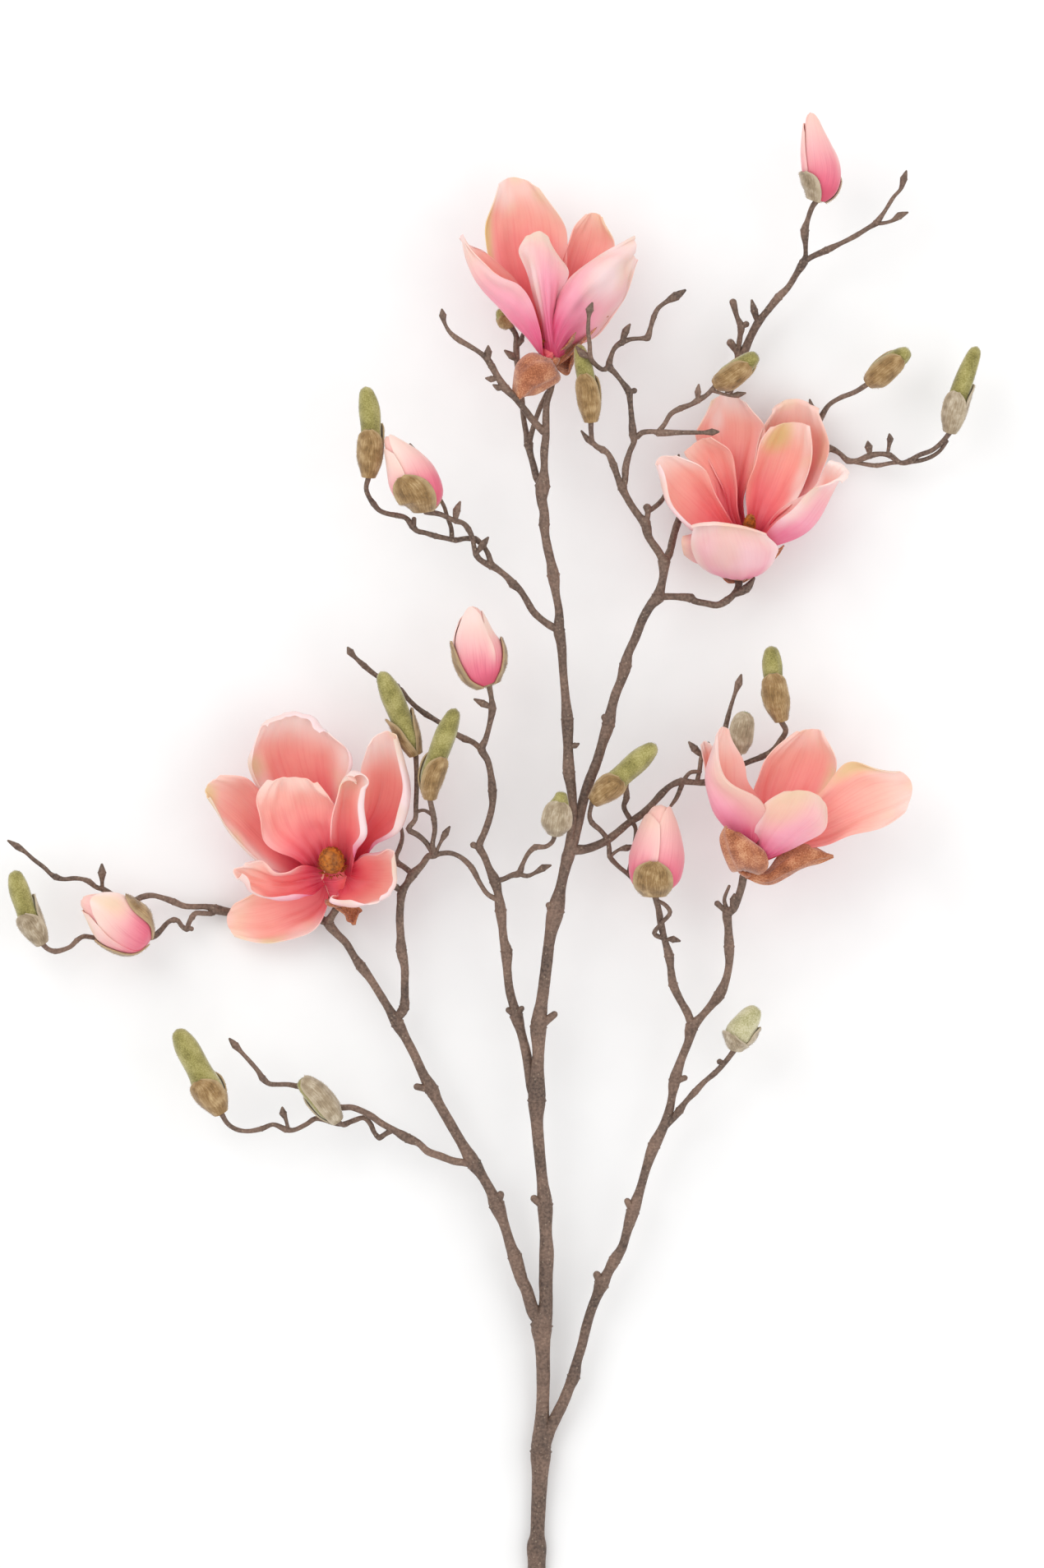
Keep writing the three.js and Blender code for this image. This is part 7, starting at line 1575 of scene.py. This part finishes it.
def felt(name, grain_mm, dark, middle, pale):
    """Skin under short dense hairs: no gloss, a pale bloom at glancing angles."""
    material, shader, place = new_material(name, Roughness=0.95, Specular_IOR_Level=0.2, Sheen_Weight=0.6,
                                           Sheen_Roughness=0.5)
    broad = add_node(material, "ShaderNodeTexNoise", {"Vector": place, "Scale": per_mm(9), "Detail": 3.0})
    fine = add_node(material, "ShaderNodeTexNoise", {"Vector": place, "Scale": per_mm(grain_mm),
                                                     "Detail": 5.0})
    half = add_node(material, "ShaderNodeMath", {0: fine, 1: 0.5}, operation="MULTIPLY")
    both = add_node(material, "ShaderNodeMath", {0: broad, 1: 0.5, 2: half}, operation="MULTIPLY_ADD")
    tone = add_node(material, "ShaderNodeValToRGB", {"Fac": both},
                    stops=[(0.36, dark), (0.5, middle), (0.64, pale)])
    bump = add_node(material, "ShaderNodeBump", {"Height": fine, "Strength": 0.5, "Distance": 0.3 * MM})
    feed(shader, {"Base Color": tone, "Normal": bump})
    return material


def scale_felt(name, dark, middle, pale, rim):
    """A bud scale: brown skin under silky hairs that lie along it in streaks, with a paler rim."""
    material, shader, place = new_material(name, Roughness=0.85, Specular_IOR_Level=0.25, Sheen_Weight=0.5,
                                           Sheen_Roughness=0.45)
    spot = add_node(material, "ShaderNodeSeparateXYZ", {"Vector": add_node(material, "ShaderNodeUVMap",
                                                                           uv_map="UVMap")})
    # streaks of hair about 0.6 mm apart across a scale some 15 mm wide
    laid = add_node(material, "ShaderNodeCombineXYZ", {"X": spot, "Y": spot.outputs["Y"]})
    stretched = add_node(material, "ShaderNodeMapping", {"Vector": laid, "Scale": (26, 4.5, 1)})
    streaks = add_node(material, "ShaderNodeTexNoise", {"Vector": stretched, "Scale": 1.0, "Detail": 5.0,
                                                        "Roughness": 0.65})
    broad = add_node(material, "ShaderNodeTexNoise", {"Vector": place, "Scale": per_mm(6), "Detail": 4.0})
    half = add_node(material, "ShaderNodeMath", {0: broad, 1: 0.5}, operation="MULTIPLY")
    both = add_node(material, "ShaderNodeMath", {0: streaks, 1: 0.5, 2: half}, operation="MULTIPLY_ADD")
    tone = add_node(material, "ShaderNodeValToRGB", {"Fac": both},
                    stops=[(0.34, dark), (0.5, middle), (0.66, pale)])
    # its map counts on by one from scale to scale, so the part after the point runs across one scale
    part = add_node(material, "ShaderNodeMath", {0: spot}, operation="FRACT")
    side = add_node(material, "ShaderNodeMath", {0: part, 1: 2.0, 2: -1.0}, operation="MULTIPLY_ADD")
    out = add_node(material, "ShaderNodeMath", {0: side}, operation="ABSOLUTE")
    edge = add_node(material, "ShaderNodeMapRange", {"Value": out, "From Min": 0.7, "From Max": 0.95,
                                                     "To Min": 0.0, "To Max": 0.75})
    rimmed = add_node(material, "ShaderNodeMixRGB", {"Fac": edge, "Color1": tone, "Color2": linear(rim)})
    bump = add_node(material, "ShaderNodeBump", {"Height": both, "Strength": 0.6, "Distance": 0.4 * MM})
    feed(shader, {"Base Color": rimmed, "Normal": bump})
    return material


def cloudy(name, rough, size, detail, low, high):
    """A plain dull skin whose colour varies a little over `size` mm, between two (place, colour) stops."""
    material, shader, place = new_material(name, Roughness=rough)
    cloud = add_node(material, "ShaderNodeTexNoise", {"Vector": place, "Scale": per_mm(size),
                                                      "Detail": detail})
    tone = add_node(material, "ShaderNodeValToRGB", {"Fac": cloud}, stops=[low, high])
    feed(shader, {"Base Color": tone})
    return material


LOOK = {
    "bark": magnolia_bark(),
    "cut_wood": cut_wood(),
    # the petals' inner faces: peach pink over a crimson foot, with cream rims; the crimson foot is
    # partly the petal's own colour and partly painted shade in the throat between the petals
    "petal_inside": petal_face(
        "fresh_petal_inner_face", 0.42,
        [(0.03, "#BE2440"), (0.13, "#E04C5E"), (0.3, "#F47D7E"), (0.58, "#F8A598"), (0.92, "#F9C1AE")],
        "#EC6E74", [(0.4, "#F9E0D8"), (0.55, "#F8D0C4"), (0.68, "#E9D2AC")]),
    # their outer faces: a cooler and deeper rose, and duller
    "petal_outside": petal_face(
        "fresh_petal_outer_face", 0.45,
        [(0.0, "#C22E56"), (0.16, "#DE5C82"), (0.4, "#F09FB0"), (0.72, "#F0BAB6"), (1.0, "#E6BDA8")],
        "#E5859B", [(0.42, "#F5D9D8"), (0.6, "#EBD0BE")]),
    # the closed pink buds: between the two
    "bud_petal": petal_face(
        "closed_bud_petal_face", 0.42,
        [(0.0, "#D0405F"), (0.25, "#E66E84"), (0.6, "#F2A2A6"), (0.95, "#F5C0B2")],
        "#D25A74", [(0.4, "#F9DDD4"), (0.7, "#F5D2BF")]),
    # the felts: rusty bracts, green horns that are paler on one bud, and brown or grey scales
    "bract": felt("rusty_bract_felt", 0.9, "#85492E", "#B46E4A", "#D69C74"),
    "green_horn": felt("green_bud_felt", 0.8, "#78703A", "#9C9354", "#B9AF73"),
    "pale_horn": felt("pale_green_bud_felt", 0.8, "#9F9A69", "#C3BC92", "#DBD4B4"),
    "brown_scale": scale_felt("brown_scale_felt", "#674E2E", "#9B7A4E", "#C9AC7F", "#C0A77F"),
    "grey_scale": scale_felt("grey_scale_felt", "#7C6A50", "#A8957A", "#D5C8B0", "#CBBBA0"),
    # the buds' hairs stand pale against the felt, the carpels are orange brown and the stamens cream
    "pale_fur": cloudy("pale_bud_hairs", 0.8, 6, 3.0, (0.35, "#CFC8A6"), (0.65, "#E6E0C8")),
    "cone": cloudy("ripe_carpel_skin", 0.6, 3, 3.0, (0.35, "#82460C"), (0.65, "#C4711A")),
    "stamen": cloudy("cream_stamen", 0.5, 3, 3.0, (0.35, "#E8C9A8"), (0.65, "#F6E6CB")),
    # the studio table: warm white paper without gloss, so that the spray's shadow stays faint
    "paper": cloudy("pale_studio_paper", 0.9, 60, 2.0, (0.3, "#F6F5F3"), (0.7, "#FAF9F7")),
}

# ------------------------------------------------------------------ the spray on its table

make_wood()
for bloom_name, bloom in BLOOMS.items():
    make_bloom(bloom_name, bloom)
    make_cone(bloom_name, bloom)
for number, (bud_name, bud) in enumerate(PINK_BUDS.items()):
    make_pink_bud(bud_name, bud, 100 + number)
for number, (bud_name, bud) in enumerate(GREEN_BUDS.items()):
    make_green_bud(bud_name, bud, 200 + number)

start_clean()
bpy.ops.mesh.primitive_plane_add(size=8, location=(0, 0, 0))
table = bpy.context.object
table.name = "studio_table"
table.data.materials.append(LOOK["paper"])
